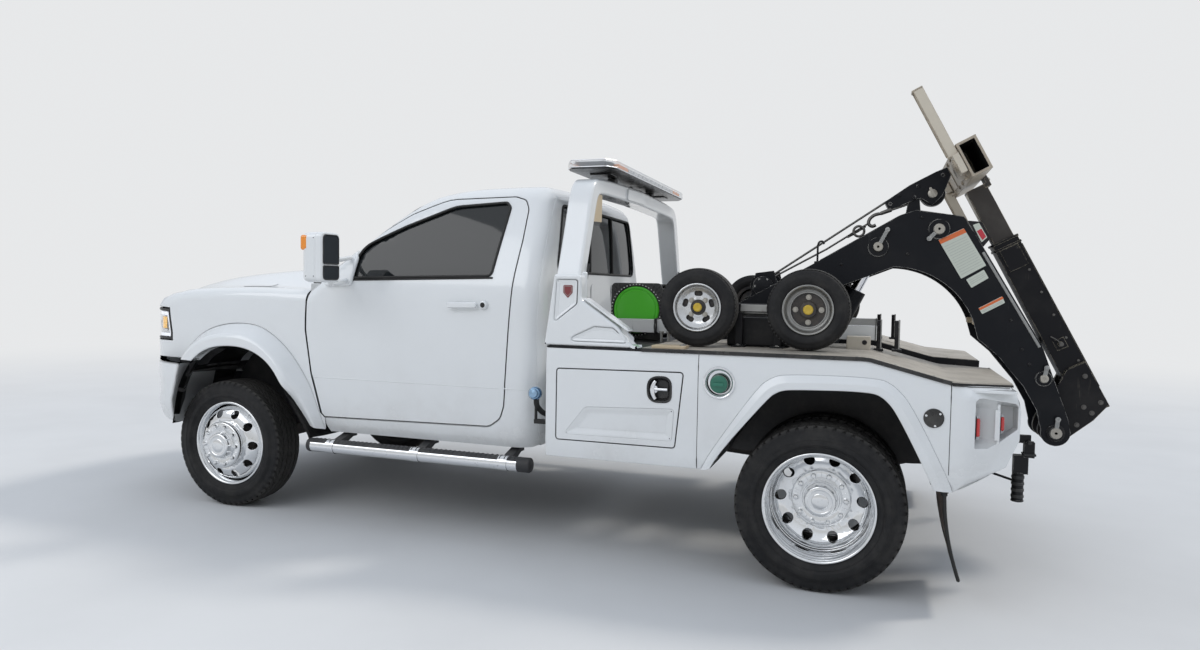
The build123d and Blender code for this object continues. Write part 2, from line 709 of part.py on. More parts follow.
REAR_PROFILE = [
    (3870, DECK_TOP - DECK_PLATE), (4222, 1032), (4505, 1018), (4520, 985), (4533, 914), (4530, 783),
    (4475, 665), (4251, BODY_BOTTOM),
]
REAR_ARCH_OUTER = [
    (3108, BODY_BOTTOM), (3150, 640), (3375, 973), (3440, 1025), (3505, 1046), (3919, 1050), (3990, 1020),
    (4068, 936), (4235, 600), (4250, BODY_BOTTOM),
]
REAR_ARCH_INNER = [
    (3152, 500), (3152, 585), (3428, 927), (3475, 962), (3530, 975), (3887, 985), (3950, 960), (4010, 888),
    (4176, 554), (4180, 500),
]
CORNER_START = (4305.0, 1215.0)
CORNER_END = (4533.0, 1085.0)
LAMP_RECESS = [
    (4335, 752), (4335, 962), (4352, 975), (4370, 976), (4508, 950), (4520, 938), (4520, 836), (4438, 776),
    (4392, 752),
]
LAMP_STEP_X = 4440.0
TOOL_DOOR = [(2337, 1015), (3009, 1025), (2971, 649), (2336, 647)]


def tow_body():
    top = DECK_TOP - DECK_PLATE
    with BuildPart() as box:
        prism(side(-BODY_INNER_Y), [(BODY_FRONT, BODY_BOTTOM), (BODY_FRONT, top)] + REAR_PROFILE,
              BODY_HALF_WIDTH - BODY_INNER_Y)
        with BuildSketch(side(-BODY_HALF_WIDTH)) as lip:
            Polygon(*[(x, z if z > BODY_BOTTOM else z - 60) for x, z in REAR_ARCH_OUTER], align=None)
        extrude(lip.sketch, amount=ARCH_LIP, taper=ARCH_LIP_TAPER)
        slab(side(-BODY_HALF_WIDTH), (3000, 400), (4300, BODY_BOTTOM), ARCH_LIP + 5, mode=Mode.SUBTRACT)
        prism(side(-BODY_INNER_Y + 20), REAR_ARCH_INNER, 700, mode=Mode.SUBTRACT)
        slab(side(-BODY_INNER_Y - SKIN), (BODY_FRONT + SKIN, BODY_BOTTOM + SKIN), (3085, top - SKIN),
             BODY_HALF_WIDTH - BODY_INNER_Y - 36, mode=Mode.SUBTRACT)
        prism(side(-BODY_INNER_Y - 50), grown(TOOL_DOOR, SHUT_LINE), 700, mode=Mode.SUBTRACT)
        prism(side(-BODY_INNER_Y - SKIN), [(4270, 600), (4240, 1000), (4480, 990), (4490, 720), (4450, 680)],
              1000 - BODY_INNER_Y, mode=Mode.SUBTRACT)
        beyond = [(x, -y) for x, y in (CORNER_START, CORNER_END)]
        slope = (CORNER_END[1] - CORNER_START[1]) / (CORNER_END[0] - CORNER_START[0])
        beyond += [(4600, -(CORNER_END[1] + slope * (4600 - CORNER_END[0]))), (4600, -1400), (4305, -1400)]
        prism(plan(500), beyond, 700, mode=Mode.SUBTRACT)
        prism(side(-1140), LAMP_RECESS, 100, mode=Mode.SUBTRACT)
        with BuildSketch(side(-1040)) as deep_recess:
            Polygon(*LAMP_RECESS, align=None)
            with Locations((LAMP_STEP_X + 200, 860)):
                Rectangle(400, 400, mode=Mode.INTERSECT)
        extrude(deep_recess.sketch, amount=120, mode=Mode.SUBTRACT)
    save_pair(box.part, "body_side")
    with BuildPart() as door:
        prism(side(-BODY_HALF_WIDTH + 30), TOOL_DOOR, 30)
    save_pair(door.part, "tool_door")
    with BuildPart() as lamps:
        slab(side(-1150), (4335, 790), (4347, 900), 38)
        slab(side(-1094), (LAMP_STEP_X, 815), (LAMP_STEP_X + 12, 905), 34)
    save_twin(lamps.part, "tail_lamps")

    with BuildPart() as deck:
        surface = [(BODY_FRONT, DECK_TOP), (3870, DECK_TOP), (4222, 1044), (4505, 1030)]
        under = [(x, z - DECK_PLATE) for x, z in reversed(surface)]
        prism(side(0), surface + under, BODY_HALF_WIDTH - 5, both=True)
        slab(plan(900), (3000, -SLOT_HALF_WIDTH), (4600, SLOT_HALF_WIDTH), 400, mode=Mode.SUBTRACT)
        corners = [(4305, 1215), (4600, 1046.8), (4600, 1400), (4305, 1400)]
        for hand in (-1, 1):
            prism(plan(900), [(x, hand * y) for x, y in corners], 400, mode=Mode.SUBTRACT)
    save(deck.part, "deck")
    with BuildPart() as carrier:
        for hand in (-1, 1):
            inner = min(hand * 370, hand * RAIL_OUTER_Y)
            sill = [(2290, RAIL_TOP), (2290, top), (3870, top), (4222, 1032), (4415, 1022), (4415, RAIL_TOP)]
            prism(side(inner + 60), sill, 60)
        for x in (2300, 2700, 3030):
            slab(plan(top - 70), (x, -430), (x + 60, 430), 70)
        for x in (2300, 2700, 3030, 4100):
            for hand in (-1, 1):
                slab(plan(950 if x > 4000 else top - 70), (x, hand * 430), (x + 50, hand * BODY_INNER_Y), 60)
        for hand in (-1, 1):
            slab(plan(900), (3510, hand * 80), (3600, hand * 371), 60)
            disc(side(hand * 105 + 15), LIFT_BASE, 55, 30)
            slab(side(hand * 105 + 15), (3510, 900), (3600, 985), 30)
        disc(side(0), LIFT_BASE, 28, 125, both=True)
        slab(side(-430), (4375, 700), (4415, 740), 200)
        slab(side(-618), (4375, 700), (4650, 740), 22)
        slab(side(-610), (4619, 631), (4665, 708), 50)
        slab(side(-615), (4573, 546), (4640, 640), 40)
        disc(plan(412), (4598, -635), 27, 140)
        with BuildSketch(Plane(origin=(FRONT_AXLE_X + 4404, -560, 700), z_dir=(0, 0, -1))):
            Circle(6)
        with BuildLine():
            FilletPolyline(
                (FRONT_AXLE_X + 4404, -560, 705),
                (FRONT_AXLE_X + 4404, -560, 590),
                (FRONT_AXLE_X + 4480, -590, 530),
                (FRONT_AXLE_X + 4590, -635, 505),
                radius=50,
            )
        sweep()
    save(carrier.part, "deck_frame")

    with BuildPart() as flap:
        with BuildSketch(side(-BODY_INNER_Y - 70)) as strip:
            with BuildLine():
                ThreePointArc((4212, BODY_BOTTOM), (4232, 340), (4282, 150))
                Line((4282, 150), (4294, 154))
                ThreePointArc((4294, 154), (4244, 340), (4224, BODY_BOTTOM))
                Line((4224, BODY_BOTTOM), (4212, BODY_BOTTOM))
            make_face()
        extrude(strip.sketch, amount=490)
    save_twin(flap.part, "mud_flaps")


def pylon():
    half_outer = [
        (1195, DECK_TOP), (1195, 1214), (1104, 1372), (1015, 1545), (890, 1820), (858, 1940), (810, 2030),
        (730, 2064), (0, 2078),
    ]
    half_inner = [
        (1100, DECK_TOP - 10), (1100, 1225), (1008, 1380), (920, 1555), (797, 1815), (770, 1910), (735, 1955),
        (690, 1968), (0, 1980),
    ]
    with BuildPart() as arch:
        prism(across(2292), mirrored_section(half_outer), 134)
        prism(across(2200), mirrored_section(half_inner), 400, mode=Mode.SUBTRACT)
        for hand in (-1, 1):
            outer = 1200 if hand < 0 else -1115
            prism(side(-outer + 85), [(2255, DECK_TOP), (2273, 1212), (2283, 1375), (2420, 1375), (2450, 1320),
                                      (2458, 1244), (2760, 1150), (2780, DECK_TOP)], 85)
    save(arch.part, "pylon_arch")
    with BuildPart() as bar:
        with BuildSketch(across(2240)) as housing:
            Polygon(*mirrored_section([(866, 2108), (866, 2135), (845, 2150), (0, 2152)]), align=None)
            Polygon(*mirrored_section([(820, 2100), (866, 2108), (0, 2108)]), align=None)
        extrude(housing.sketch, amount=250)
        for hand in (-1, 1):
            slab(plan(2060), (2330, hand * 380), (2390, hand * 450), 50)
    with BuildPart() as light:
        add(bar.part)
        add(arch.part, mode=Mode.SUBTRACT)
    save(light.part, "light_bar")


# Tow dollies

def dollies():
    hand = -1
    with BuildPart() as rack:
        slab(side(-820), (2960, 1325), (3650, 1369), 44)
        for x in DOLLY_WHEEL_X:
            disc(side(-864), (x, DOLLY_WHEEL_Z), 18, 130)
            slab(side(-825), (x - 30, DOLLY_WHEEL_Z - 30), (x + 30, DOLLY_WHEEL_Z + 30), 60)
        for x in (3200, 3400):
            slab(plan(DECK_TOP), (x, hand * 856), (x + 40, hand * 826), 190)
    save_twin(rack.part, "dolly_frames")
    with BuildPart() as bars:
        slab(side(-562), (2345, 1187), (3910, 1262), 76)
        slab(side(-570), (2340, 1195), (3920, 1254), 60, mode=Mode.SUBTRACT)
        for x in (2500, 3250, 3820):
            slab(plan(DECK_TOP), (x, hand * 640), (x + 40, hand * 560), 52)
    save_twin(bars.part, "dolly_bars")
    half = DOLLY_WHEEL_HALF_WIDTH
    section = [
        (DOLLY_WHEEL_Y - 35, 18 + FIT), (DOLLY_WHEEL_Y - 35, 40), (DOLLY_WHEEL_Y - 8, 44),
        (DOLLY_WHEEL_Y - 8, 112), (DOLLY_WHEEL_Y - 46, 116), (DOLLY_WHEEL_Y - 48, DOLLY_RIM_RADIUS),
        (DOLLY_WHEEL_Y - half, 150), (DOLLY_WHEEL_Y - half + 6, 186), (DOLLY_WHEEL_Y - 38, DOLLY_WHEEL_RADIUS),
        (DOLLY_WHEEL_Y + 38, DOLLY_WHEEL_RADIUS), (DOLLY_WHEEL_Y + half - 6, 186),
        (DOLLY_WHEEL_Y + half, 150), (DOLLY_WHEEL_Y + 48, DOLLY_RIM_RADIUS), (DOLLY_WHEEL_Y + 46, 116),
        (DOLLY_WHEEL_Y + 2, 112), (DOLLY_WHEEL_Y + 2, 60), (DOLLY_WHEEL_Y + 30, 44),
        (DOLLY_WHEEL_Y + 48, 40), (DOLLY_WHEEL_Y + 48, 0), (DOLLY_WHEEL_Y + 42, 0),
        (DOLLY_WHEEL_Y + 42, 18 + FIT),
    ]
    for place, x in zip(("front", "rear"), DOLLY_WHEEL_X):
        with BuildPart() as wheel:
            revolved(wheel_plane(hand, x, DOLLY_WHEEL_Z), axle_line(x, DOLLY_WHEEL_Z), section)
            window = Plane(
                origin=(FRONT_AXLE_X + x, hand * DOLLY_WHEEL_Y, DOLLY_WHEEL_Z), x_dir=(1, 0, 0), z_dir=(0, -1, 0)
            )
            with BuildSketch(window) as ovals:
                with PolarLocations(82, 4, start_angle=0):
                    SlotOverall(48, 26, rotation=90)
            extrude(ovals.sketch, amount=20, both=True, mode=Mode.SUBTRACT)
        save_pair(wheel.part, f"dolly_wheel_{place}")


def hose_reel():
    with BuildPart() as reel:
        slab(side(-330), (2402, DECK_TOP), (2716, 1472), 205)
        slab(side(-345), (2417, DECK_TOP + 20), (2701, 1457), 210, mode=Mode.SUBTRACT)
        slab(side(-330), (2402, DECK_TOP + 20), (2716, 1472), 15)
        disc(side(-345), REEL_CENTRE, REEL_RADIUS, 195)
    save(reel.part, "hose_reel")


# Boom and wheel lift

def boom():
    top_edge = [(3000, 1300), (3580, 1622), (4012, 1877), (4098, 1907), (4346, 1867), (4403, 1774)]
    rear_edge = [(4461, 1679), (4758, 1164), (4900, 760), (4905, 700)]
    lower_edge = [(4772, 690), (4743, 813), (4676, 936), (4545, 1099), (4440, 1190), (4410, 1295)]
    foot_edge = [(3700, 1470), (3140, 1200)]
    with BuildPart() as arm:
        with BuildSketch(side(BOOM_PLATE_Y)) as plate:
            with BuildLine():
                Polyline(*top_edge, *rear_edge, *lower_edge)
                ThreePointArc(lower_edge[-1], (4230, 1515), (3989, 1587))
                Polyline((3989, 1587), *foot_edge, top_edge[0])
            make_face()
            for centre, radius in ((BOOM_PIVOT, 95), (FOLD_PIVOT, 72)):
                with Locations(centre):
                    Circle(radius)
        extrude(plate.sketch, amount=BOOM_PLATE)
        extrude(plate.sketch.moved(Location((0, -2 * BOOM_PLATE_Y + BOOM_PLATE, 0))), amount=BOOM_PLATE)
        inner = BOOM_PLATE_Y - BOOM_PLATE
        prism(side(0), [(3350, 1480), (3350, 1494), (3580, 1622), (4012, 1877), (4098, 1907), (4346, 1867),
                        (4343, 1855), (4100, 1894), (4016, 1864), (3586, 1608), (3357, 1480)], inner, both=True)
        prism(side(0), [(4461, 1679), (4740, 1195), (4728, 1188), (4449, 1672)], inner, both=True)
        disc(side(0), BOOM_PIVOT, 40, 250, both=True)
        prism(side(0), [(3120, 1268), (3370, 1406), (3376, 1395), (3126, 1257)], inner, both=True)
        disc(side(0), FOLD_PIVOT, 30, BOOM_PLATE_Y + 22, both=True)
        disc(side(0), LIFT_EYE, 25, BOOM_PLATE_Y + 22, both=True)
        for centre, radius in ((LIFT_EYE, 55), (FOLD_PIVOT, 0), ((4221, 1799), 55), ((4771, 986), 40)):
            for hand in (-1, 1):
                if radius:
                    disc(side(hand * (BOOM_PLATE_Y + 5)), centre, radius, 5, both=True)
        disc(side(0), (4221, 1799), 30, BOOM_PLATE_Y + 22, both=True)
        disc(side(0), (4771, 986), 22, BOOM_PLATE_Y + 16, both=True)
    save(arm.part, "boom")

    with BuildPart() as winch:
        for hand in (-1, 1):
            prism(side(hand * 150), [(3150, 1284.6), (3350, 1395), (3310, 1560), (3200, 1545)], 7, both=True)
            disc(side(hand * 120), WINCH_DRUM, 85, 6, both=True)
        disc(side(0), WINCH_DRUM, 48, 150, both=True)
    save(winch.part, "winch")

    with BuildPart() as head:
        guide = [(3928, 1972), (3954, 1921), (4100, 1985), (4128, 1990), (4190, 1950), (4240, 2000),
                 (4262, 2052), (4285, 2120), (4262, 2165), (4202, 2140), (4062, 2066)]
        for hand in (-1, 1):
            prism(side(hand * 38), guide, 6, both=True)
        prism(side(0), [(3928, 1972), (3954, 1921), (4080, 1976), (4062, 2066)], 38, both=True)
        prism(side(0), [(4045, 1889), (4098, 1907.5), (4130, 1902.3), (4120, 2000), (4060, 1980)], 34, both=True)
        disc(side(0), (4189, 2015), 70, 26, both=True)
        disc(side(0), (4189, 2015), 14, 52, both=True)
    save(head.part, "sheave_head")

    with BuildPart() as pedestal:
        for hand in (-1, 1):
            y = hand * 228
            prism(side(y), [(2950, DECK_TOP), (3030, 1290), (3130, 1290), (3220, DECK_TOP)], 14, both=True)
            disc(side(y), (BOOM_PIVOT[0], BOOM_PIVOT[1]), 80, 14, both=True)
            disc(side(y), BOOM_PIVOT, 40 + FIT, 20, both=True, mode=Mode.SUBTRACT)
        slab(plan(DECK_TOP), (2950, -242), (2968, 242), 60)
    save(pedestal.part, "boom_pedestal")


def lift_cylinder():
    dx = LIFT_EYE[0] - LIFT_BASE[0]
    dz = LIFT_EYE[1] - LIFT_BASE[1]
    length = (dx * dx + dz * dz) ** 0.5
    base = Plane(origin=(FRONT_AXLE_X + LIFT_BASE[0], 0, LIFT_BASE[1]), x_dir=(0, 1, 0), z_dir=(dx, 0, dz))
    with BuildPart() as barrel:
        with BuildSketch(base.offset(20)):
            Circle(62)
        extrude(amount=500)
        with BuildSketch(base.offset(60)):
            Circle(32 + FIT)
        extrude(amount=480, mode=Mode.SUBTRACT)
        disc(side(0), LIFT_BASE, 52, 60, both=True)
        disc(side(0), LIFT_BASE, 28 + FIT, 80, both=True, mode=Mode.SUBTRACT)
    save(barrel.part, "lift_cylinder")
    with BuildPart() as rod:
        with BuildSketch(base.offset(230)):
            Circle(32)
        extrude(amount=length - 250)
        disc(side(0), LIFT_EYE, 48, 40, both=True)
        disc(side(0), LIFT_EYE, 32, 60, both=True, mode=Mode.SUBTRACT)
    save(rod.part, "lift_rod")


def wheel_lift():
    plane = stinger_plane(0)
    half = OUTER_TUBE / 2
    bore = INNER_TUBE / 2 + 2
    with BuildPart() as outer:
        slab(plane, (0, -half), (OUTER_TUBE_LENGTH, half), half, both=True)
        slab(plane, (40, -bore), (OUTER_TUBE_LENGTH + 10, bore), bore, both=True, mode=Mode.SUBTRACT)
        for hand in (-1, 1):
            heel = [(4800, 640), (4905, 640), (5040, 760), (5110, 850), (4990, 1080), (4900, 1030), (4775, 730)]
            prism(side(hand * (half + 12)), heel, 12, both=True)
            disc(side(hand * (half + 12)), FOLD_PIVOT, 68, 12, both=True)
        disc(side(0), FOLD_PIVOT, 30 + FIT, 200, both=True, mode=Mode.SUBTRACT)
    save(outer.part, "stinger_outer")
    with BuildPart() as slide:
        reach = CROSSBAR_S - CROSSBAR_ALONG / 2 - SWIVEL_ROOM
        inner = INNER_TUBE / 2
        slab(plane, (350, -inner), (reach - 5, inner), inner, both=True)
        slab(plane, (340, -inner + TUBE_WALL), (reach - 60, inner - TUBE_WALL), inner - TUBE_WALL, both=True,
             mode=Mode.SUBTRACT)
        root = reach - TONGUE_ROOT
        slab(plane, (root, -inner), (reach - 5, -inner + 14), 60, both=True)
        slab(plane, (root, -78), (CROSSBAR_S + 60, -58), 60, both=True)
        slab(plane, (root, -78), (reach - 5, -inner), 60, both=True)
        swivel = Plane(plane.origin, x_dir=(0, 1, 0), z_dir=plane.y_dir)
        pin_centre = plane.origin + plane.x_dir * CROSSBAR_S
        pin_plane = Plane(pin_centre, x_dir=(0, 1, 0), z_dir=swivel.z_dir)
        with BuildSketch(pin_plane.offset(-60)):
            Circle(28)
        extrude(amount=110)
    save(slide.part, "stinger_slide")
    with BuildPart() as bar:
        deep = CROSSBAR_DEEP / 2
        along = CROSSBAR_ALONG / 2
        slab(plane, (CROSSBAR_S - along, -deep), (CROSSBAR_S + along, deep), CROSSBAR_HALF_LENGTH, both=True)
        slab(plane, (CROSSBAR_S - along + 12, -deep + 12), (CROSSBAR_S + along - 12, deep - 12),
             CROSSBAR_HALF_LENGTH + 5, both=True, mode=Mode.SUBTRACT)
        slab(plane, (CROSSBAR_S - along, -deep), (CROSSBAR_S + along, deep), 60, both=True)
        with BuildSketch(pin_plane.offset(-60)):
            Circle(28 + FIT)
        extrude(amount=150, mode=Mode.SUBTRACT)
        for hand in (-1, 1):
            claw_pin = Plane(pin_centre + Vector(0, hand * CLAW_Y, 0), x_dir=(0, 1, 0), z_dir=plane.y_dir)
            with BuildSketch(claw_pin.offset(deep - 12)):
                Circle(24)
            extrude(amount=52)
    save(bar.part, "crossbar")
    for name, hand, way in (("claw_left", -1, 1), ("claw_right", 1, -1)):
        with BuildPart() as claw:
            y = hand * CLAW_Y
            low = deep + 5
            arm_plane = stinger_plane(y)
            slab(arm_plane, (CROSSBAR_S - 55, low), (CROSSBAR_S + 55, low + 34), 50, both=True)
            near = CROSSBAR_S + way * 50
            far = CROSSBAR_S + way * 455
            slab(arm_plane, (min(near, far), low), (max(near, far), low + 50), 34, both=True)
            slab(arm_plane, (min(near, far) - 5, low + 10), (max(near, far) + 5, low + 60), 24, both=True,
                 mode=Mode.SUBTRACT)
            claw_pin = Plane(pin_centre + Vector(0, y, 0), x_dir=(0, 1, 0), z_dir=plane.y_dir)
            with BuildSketch(claw_pin.offset(deep)):
                Circle(24 + FIT)
            extrude(amount=100, mode=Mode.SUBTRACT)
        save(claw.part, name)


frame_rails()
drive_line()
springs()
front_axle()
rear_axle()
road_wheels()
cab()
cab_inside()
front_end()
steps()
tow_body()
pylon()
dollies()
hose_reel()
boom()
lift_cylinder()
wheel_lift()
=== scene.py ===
"""Looks of a tow truck with a folding wheel lift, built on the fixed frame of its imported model.

Sizes are millimetres. Points are (distance behind the front axle, distance to the right of the
middle, height), so the driver's side has negative y. Meshes are written in metres in the row frame.
"""

from __future__ import annotations

import json
import logging
import math
from collections.abc import Callable, Sequence
from dataclasses import dataclass, field
from enum import Enum

import bpy
import numpy as np
from mathutils import Matrix, Vector
from mathutils.geometry import delaunay_2d_cdt

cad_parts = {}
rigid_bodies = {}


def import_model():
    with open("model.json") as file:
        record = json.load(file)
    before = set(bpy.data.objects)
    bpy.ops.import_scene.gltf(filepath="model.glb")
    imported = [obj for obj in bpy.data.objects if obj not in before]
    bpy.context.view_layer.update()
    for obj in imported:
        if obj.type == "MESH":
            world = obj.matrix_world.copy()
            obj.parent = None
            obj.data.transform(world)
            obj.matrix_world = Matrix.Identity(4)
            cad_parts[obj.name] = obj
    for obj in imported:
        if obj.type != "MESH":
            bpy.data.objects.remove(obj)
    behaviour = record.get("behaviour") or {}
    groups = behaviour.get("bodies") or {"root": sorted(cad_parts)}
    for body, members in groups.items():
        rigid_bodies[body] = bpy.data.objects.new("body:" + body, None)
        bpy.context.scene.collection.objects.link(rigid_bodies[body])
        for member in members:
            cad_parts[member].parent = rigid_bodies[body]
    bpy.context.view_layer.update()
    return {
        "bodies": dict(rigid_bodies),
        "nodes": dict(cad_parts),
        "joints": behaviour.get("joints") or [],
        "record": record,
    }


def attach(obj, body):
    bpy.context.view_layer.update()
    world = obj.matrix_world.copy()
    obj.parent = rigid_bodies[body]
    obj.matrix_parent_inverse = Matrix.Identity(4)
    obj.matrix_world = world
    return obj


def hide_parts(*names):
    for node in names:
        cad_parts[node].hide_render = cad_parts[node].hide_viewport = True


LOG = logging.getLogger("tow_truck")
FRONT_AXLE = -2072.0
MM = 0.001
Array = np.ndarray
Point2 = tuple[float, float]
Point3 = tuple[float, float, float]
Colour = tuple[float, float, float]
Place = Callable[[Array, Array], Array]


class Side(Enum):
    """Driver's side and passenger's side, with the sign of their y."""

    LEFT = -1
    RIGHT = 1

    @property
    def word(self) -> str:
        """Name of this side inside node, body and piece names."""
        return self.name.lower()


# Shader maths


class Wire:
    """One output socket of a material, so that shader maths reads as plain maths."""

    def __init__(self, recipe: Recipe, socket: bpy.types.NodeSocket) -> None:
        """Keep the socket and the recipe it belongs to."""
        self.recipe = recipe
        self.socket = socket

    def _math(self, operation: str, *values: Wire | float) -> Wire:
        """Add one Math node.

        Args:
            operation: Name of the Math node's operation.
            values: Its inputs in order.

        Returns:
            The node's output.
        """
        return self.recipe.node("ShaderNodeMath", {"operation": operation}, dict(enumerate(values)))

    def __add__(self, other: Wire | float) -> Wire:
        """Sum."""
        return self._math("ADD", self, other)

    __radd__ = __add__

    def __mul__(self, other: Wire | float) -> Wire:
        """Product."""
        return self._math("MULTIPLY", self, other)

    __rmul__ = __mul__

    def __sub__(self, other: Wire | float) -> Wire:
        """Difference."""
        return self._math("SUBTRACT", self, other)

    def __rsub__(self, other: Wire | float) -> Wire:
        """Difference from a number."""
        return self._math("SUBTRACT", other, self)

    def __truediv__(self, other: Wire | float) -> Wire:
        """Quotient."""
        return self._math("DIVIDE", self, other)

    def __pow__(self, other: Wire | float) -> Wire:
        """Power."""
        return self._math("POWER", self, other)

    def above(self, other: Wire | float) -> Wire:
        """Larger of two values."""
        return self._math("MAXIMUM", self, other)

    def sine(self) -> Wire:
        """Sine of the value."""
        return self._math("SINE", self)

    def part(self) -> Wire:
        """Fraction of the value."""
        return self._math("FRACT", self)

    def size(self) -> Wire:
        """Absolute value."""
        return self._math("ABSOLUTE", self)

    def ramp(self, low: float, high: float) -> Wire:
        """Smooth step.

        Args:
            low: Value that becomes 0.
            high: Value that becomes 1.

        Returns:
            The stepped value.
        """
        sockets = {"Value": self, "From Min": low, "From Max": high}
        return self.recipe.node("ShaderNodeMapRange", {"interpolation_type": "SMOOTHSTEP"}, sockets)


class Recipe:
    """Node tree of one material."""

    def __init__(self, owner: str | bpy.types.World) -> None:
        """Start an empty node tree.

        Args:
            owner: Name of a new material, or the world that gets the tree.
        """
        self.material = bpy.data.materials.new(owner) if isinstance(owner, str) else owner
        self.material.use_nodes = True
        self.tree = self.material.node_tree
        self.tree.nodes.clear()

    def node(
        self,
        kind: str,
        settings: dict[str, object] | None = None,
        sockets: dict[str | int, object] | None = None,
        out: str | int | None = 0,
    ) -> Wire:
        """Add any node.

        Args:
            kind: Type name of the node.
            settings: Attributes that are set before the sockets; "stops" fills a colour ramp.
            sockets: Values or wires by the input's name or number.
            out: Name or number of the output that is wanted.

        Returns:
            That output.
        """
        made = self.tree.nodes.new(kind)
        for key, value in (settings or {}).items():
            if key == "stops":
                self._fill_ramp(made.color_ramp, value)
            else:
                setattr(made, key, value)
        for key, value in (sockets or {}).items():
            if isinstance(value, Wire):
                self.tree.links.new(value.socket, made.inputs[key])
            else:
                made.inputs[key].default_value = value
        return Wire(self, made.outputs[out] if out is not None else None)

    @staticmethod
    def _fill_ramp(ramp: bpy.types.ColorRamp, stops: Sequence[tuple[float, Colour]]) -> None:
        """Set the stops of a colour ramp.

        Args:
            ramp: The ramp, which starts with two stops.
            stops: Position and colour of each stop.
        """
        while len(ramp.elements) < len(stops):
            ramp.elements.new(0.5)
        for element, (position, colour) in zip(ramp.elements, stops):
            element.position = position
            element.color = (*colour, 1.0)

    def place(self, scale: Point3 = (1.0, 1.0, 1.0)) -> Wire:
        """Position on the object in the row frame, in metres, stretched by a scale.

        Args:
            scale: Stretch along each axis.

        Returns:
            The position.
        """
        spot = self.node("ShaderNodeTexCoord", out="Object")
        if scale == (1.0, 1.0, 1.0):
            return spot
        return self.node("ShaderNodeVectorMath", {"operation": "MULTIPLY"}, {0: spot, 1: scale})

    def axis(self, letter: str) -> Wire:
        """One coordinate of the position in the row frame, in metres."""
        return self.node("ShaderNodeSeparateXYZ", None, {0: self.place()}, letter.upper())

    def noise(self, scale: float, detail: float = 3.0, rough: float = 0.55, at: Wire | None = None) -> Wire:
        """Cloudy noise.

        Args:
            scale: Cells in a metre.
            detail: Octaves.
            rough: Share of the finer octaves.
            at: Position, if it isn't the plain one.

        Returns:
            The noise, about 0.5 on average.
        """
        sockets = {"Vector": at or self.place(), "Scale": scale, "Detail": detail, "Roughness": rough}
        return self.node("ShaderNodeTexNoise", None, sockets, "Fac")

    def cells(self, scale: float, feature: str = "F1", at: Wire | None = None) -> Wire:
        """Distance inside a cell pattern."""
        sockets = {"Vector": at or self.place(), "Scale": scale}
        return self.node("ShaderNodeTexVoronoi", {"feature": feature}, sockets, "Distance")

    def mix(self, low: Wire | Colour, high: Wire | Colour, factor: Wire | float) -> Wire:
        """Mix two colours.

        Args:
            low: Colour where the factor is 0.
            high: Colour where the factor is 1.
            factor: The mask.

        Returns:
            The mixed colour.
        """
        four = [c if isinstance(c, Wire) else (*c, 1.0) for c in (low, high)]
        sockets = {0: factor, 6: four[0], 7: four[1]}
        return self.node("ShaderNodeMix", {"data_type": "RGBA", "clamp_factor": True}, sockets, 2)

    def bump(self, height: Wire, strength: float, distance: float) -> Wire:
        """Bump from a height, with its depth in metres."""
        sockets = {"Strength": strength, "Distance": distance, "Height": height}
        return self.node("ShaderNodeBump", None, sockets, "Normal")

    def edge(self, radius: float) -> Wire:
        """Mask that is above 0 close to an edge.

        Args:
            radius: Reach of the mask in metres.

        Returns:
            How far the rounded normal turns away from the real one.
        """
        soft = self.node("ShaderNodeBevel", {"samples": 4}, {"Radius": radius}, "Normal")
        true = self.node("ShaderNodeNewGeometry", None, None, "Normal")
        product = self.node("ShaderNodeVectorMath", {"operation": "DOT_PRODUCT"}, {0: soft, 1: true}, "Value")
        return 1.0 - product

    def surface(self, **values: object) -> bpy.types.Material:
        """Close the tree with a Principled shader.

        Args:
            values: Its sockets, with underscores for the spaces in their names.

        Returns:
            The finished material.
        """
        sockets = {k.replace("_", " ").title().replace("Ior", "IOR"): v for k, v in values.items()}
        for key in ("Base Color", "Emission Color", "Specular Tint", "Sheen Tint"):
            if isinstance(sockets.get(key), tuple) and len(sockets[key]) == 3:
                sockets[key] = (*sockets[key], 1.0)
        shader = self.node("ShaderNodeBsdfPrincipled", None, sockets, "BSDF")
        self.node("ShaderNodeOutputMaterial", None, {"Surface": shader}, None)
        return self.material


# Mesh tools


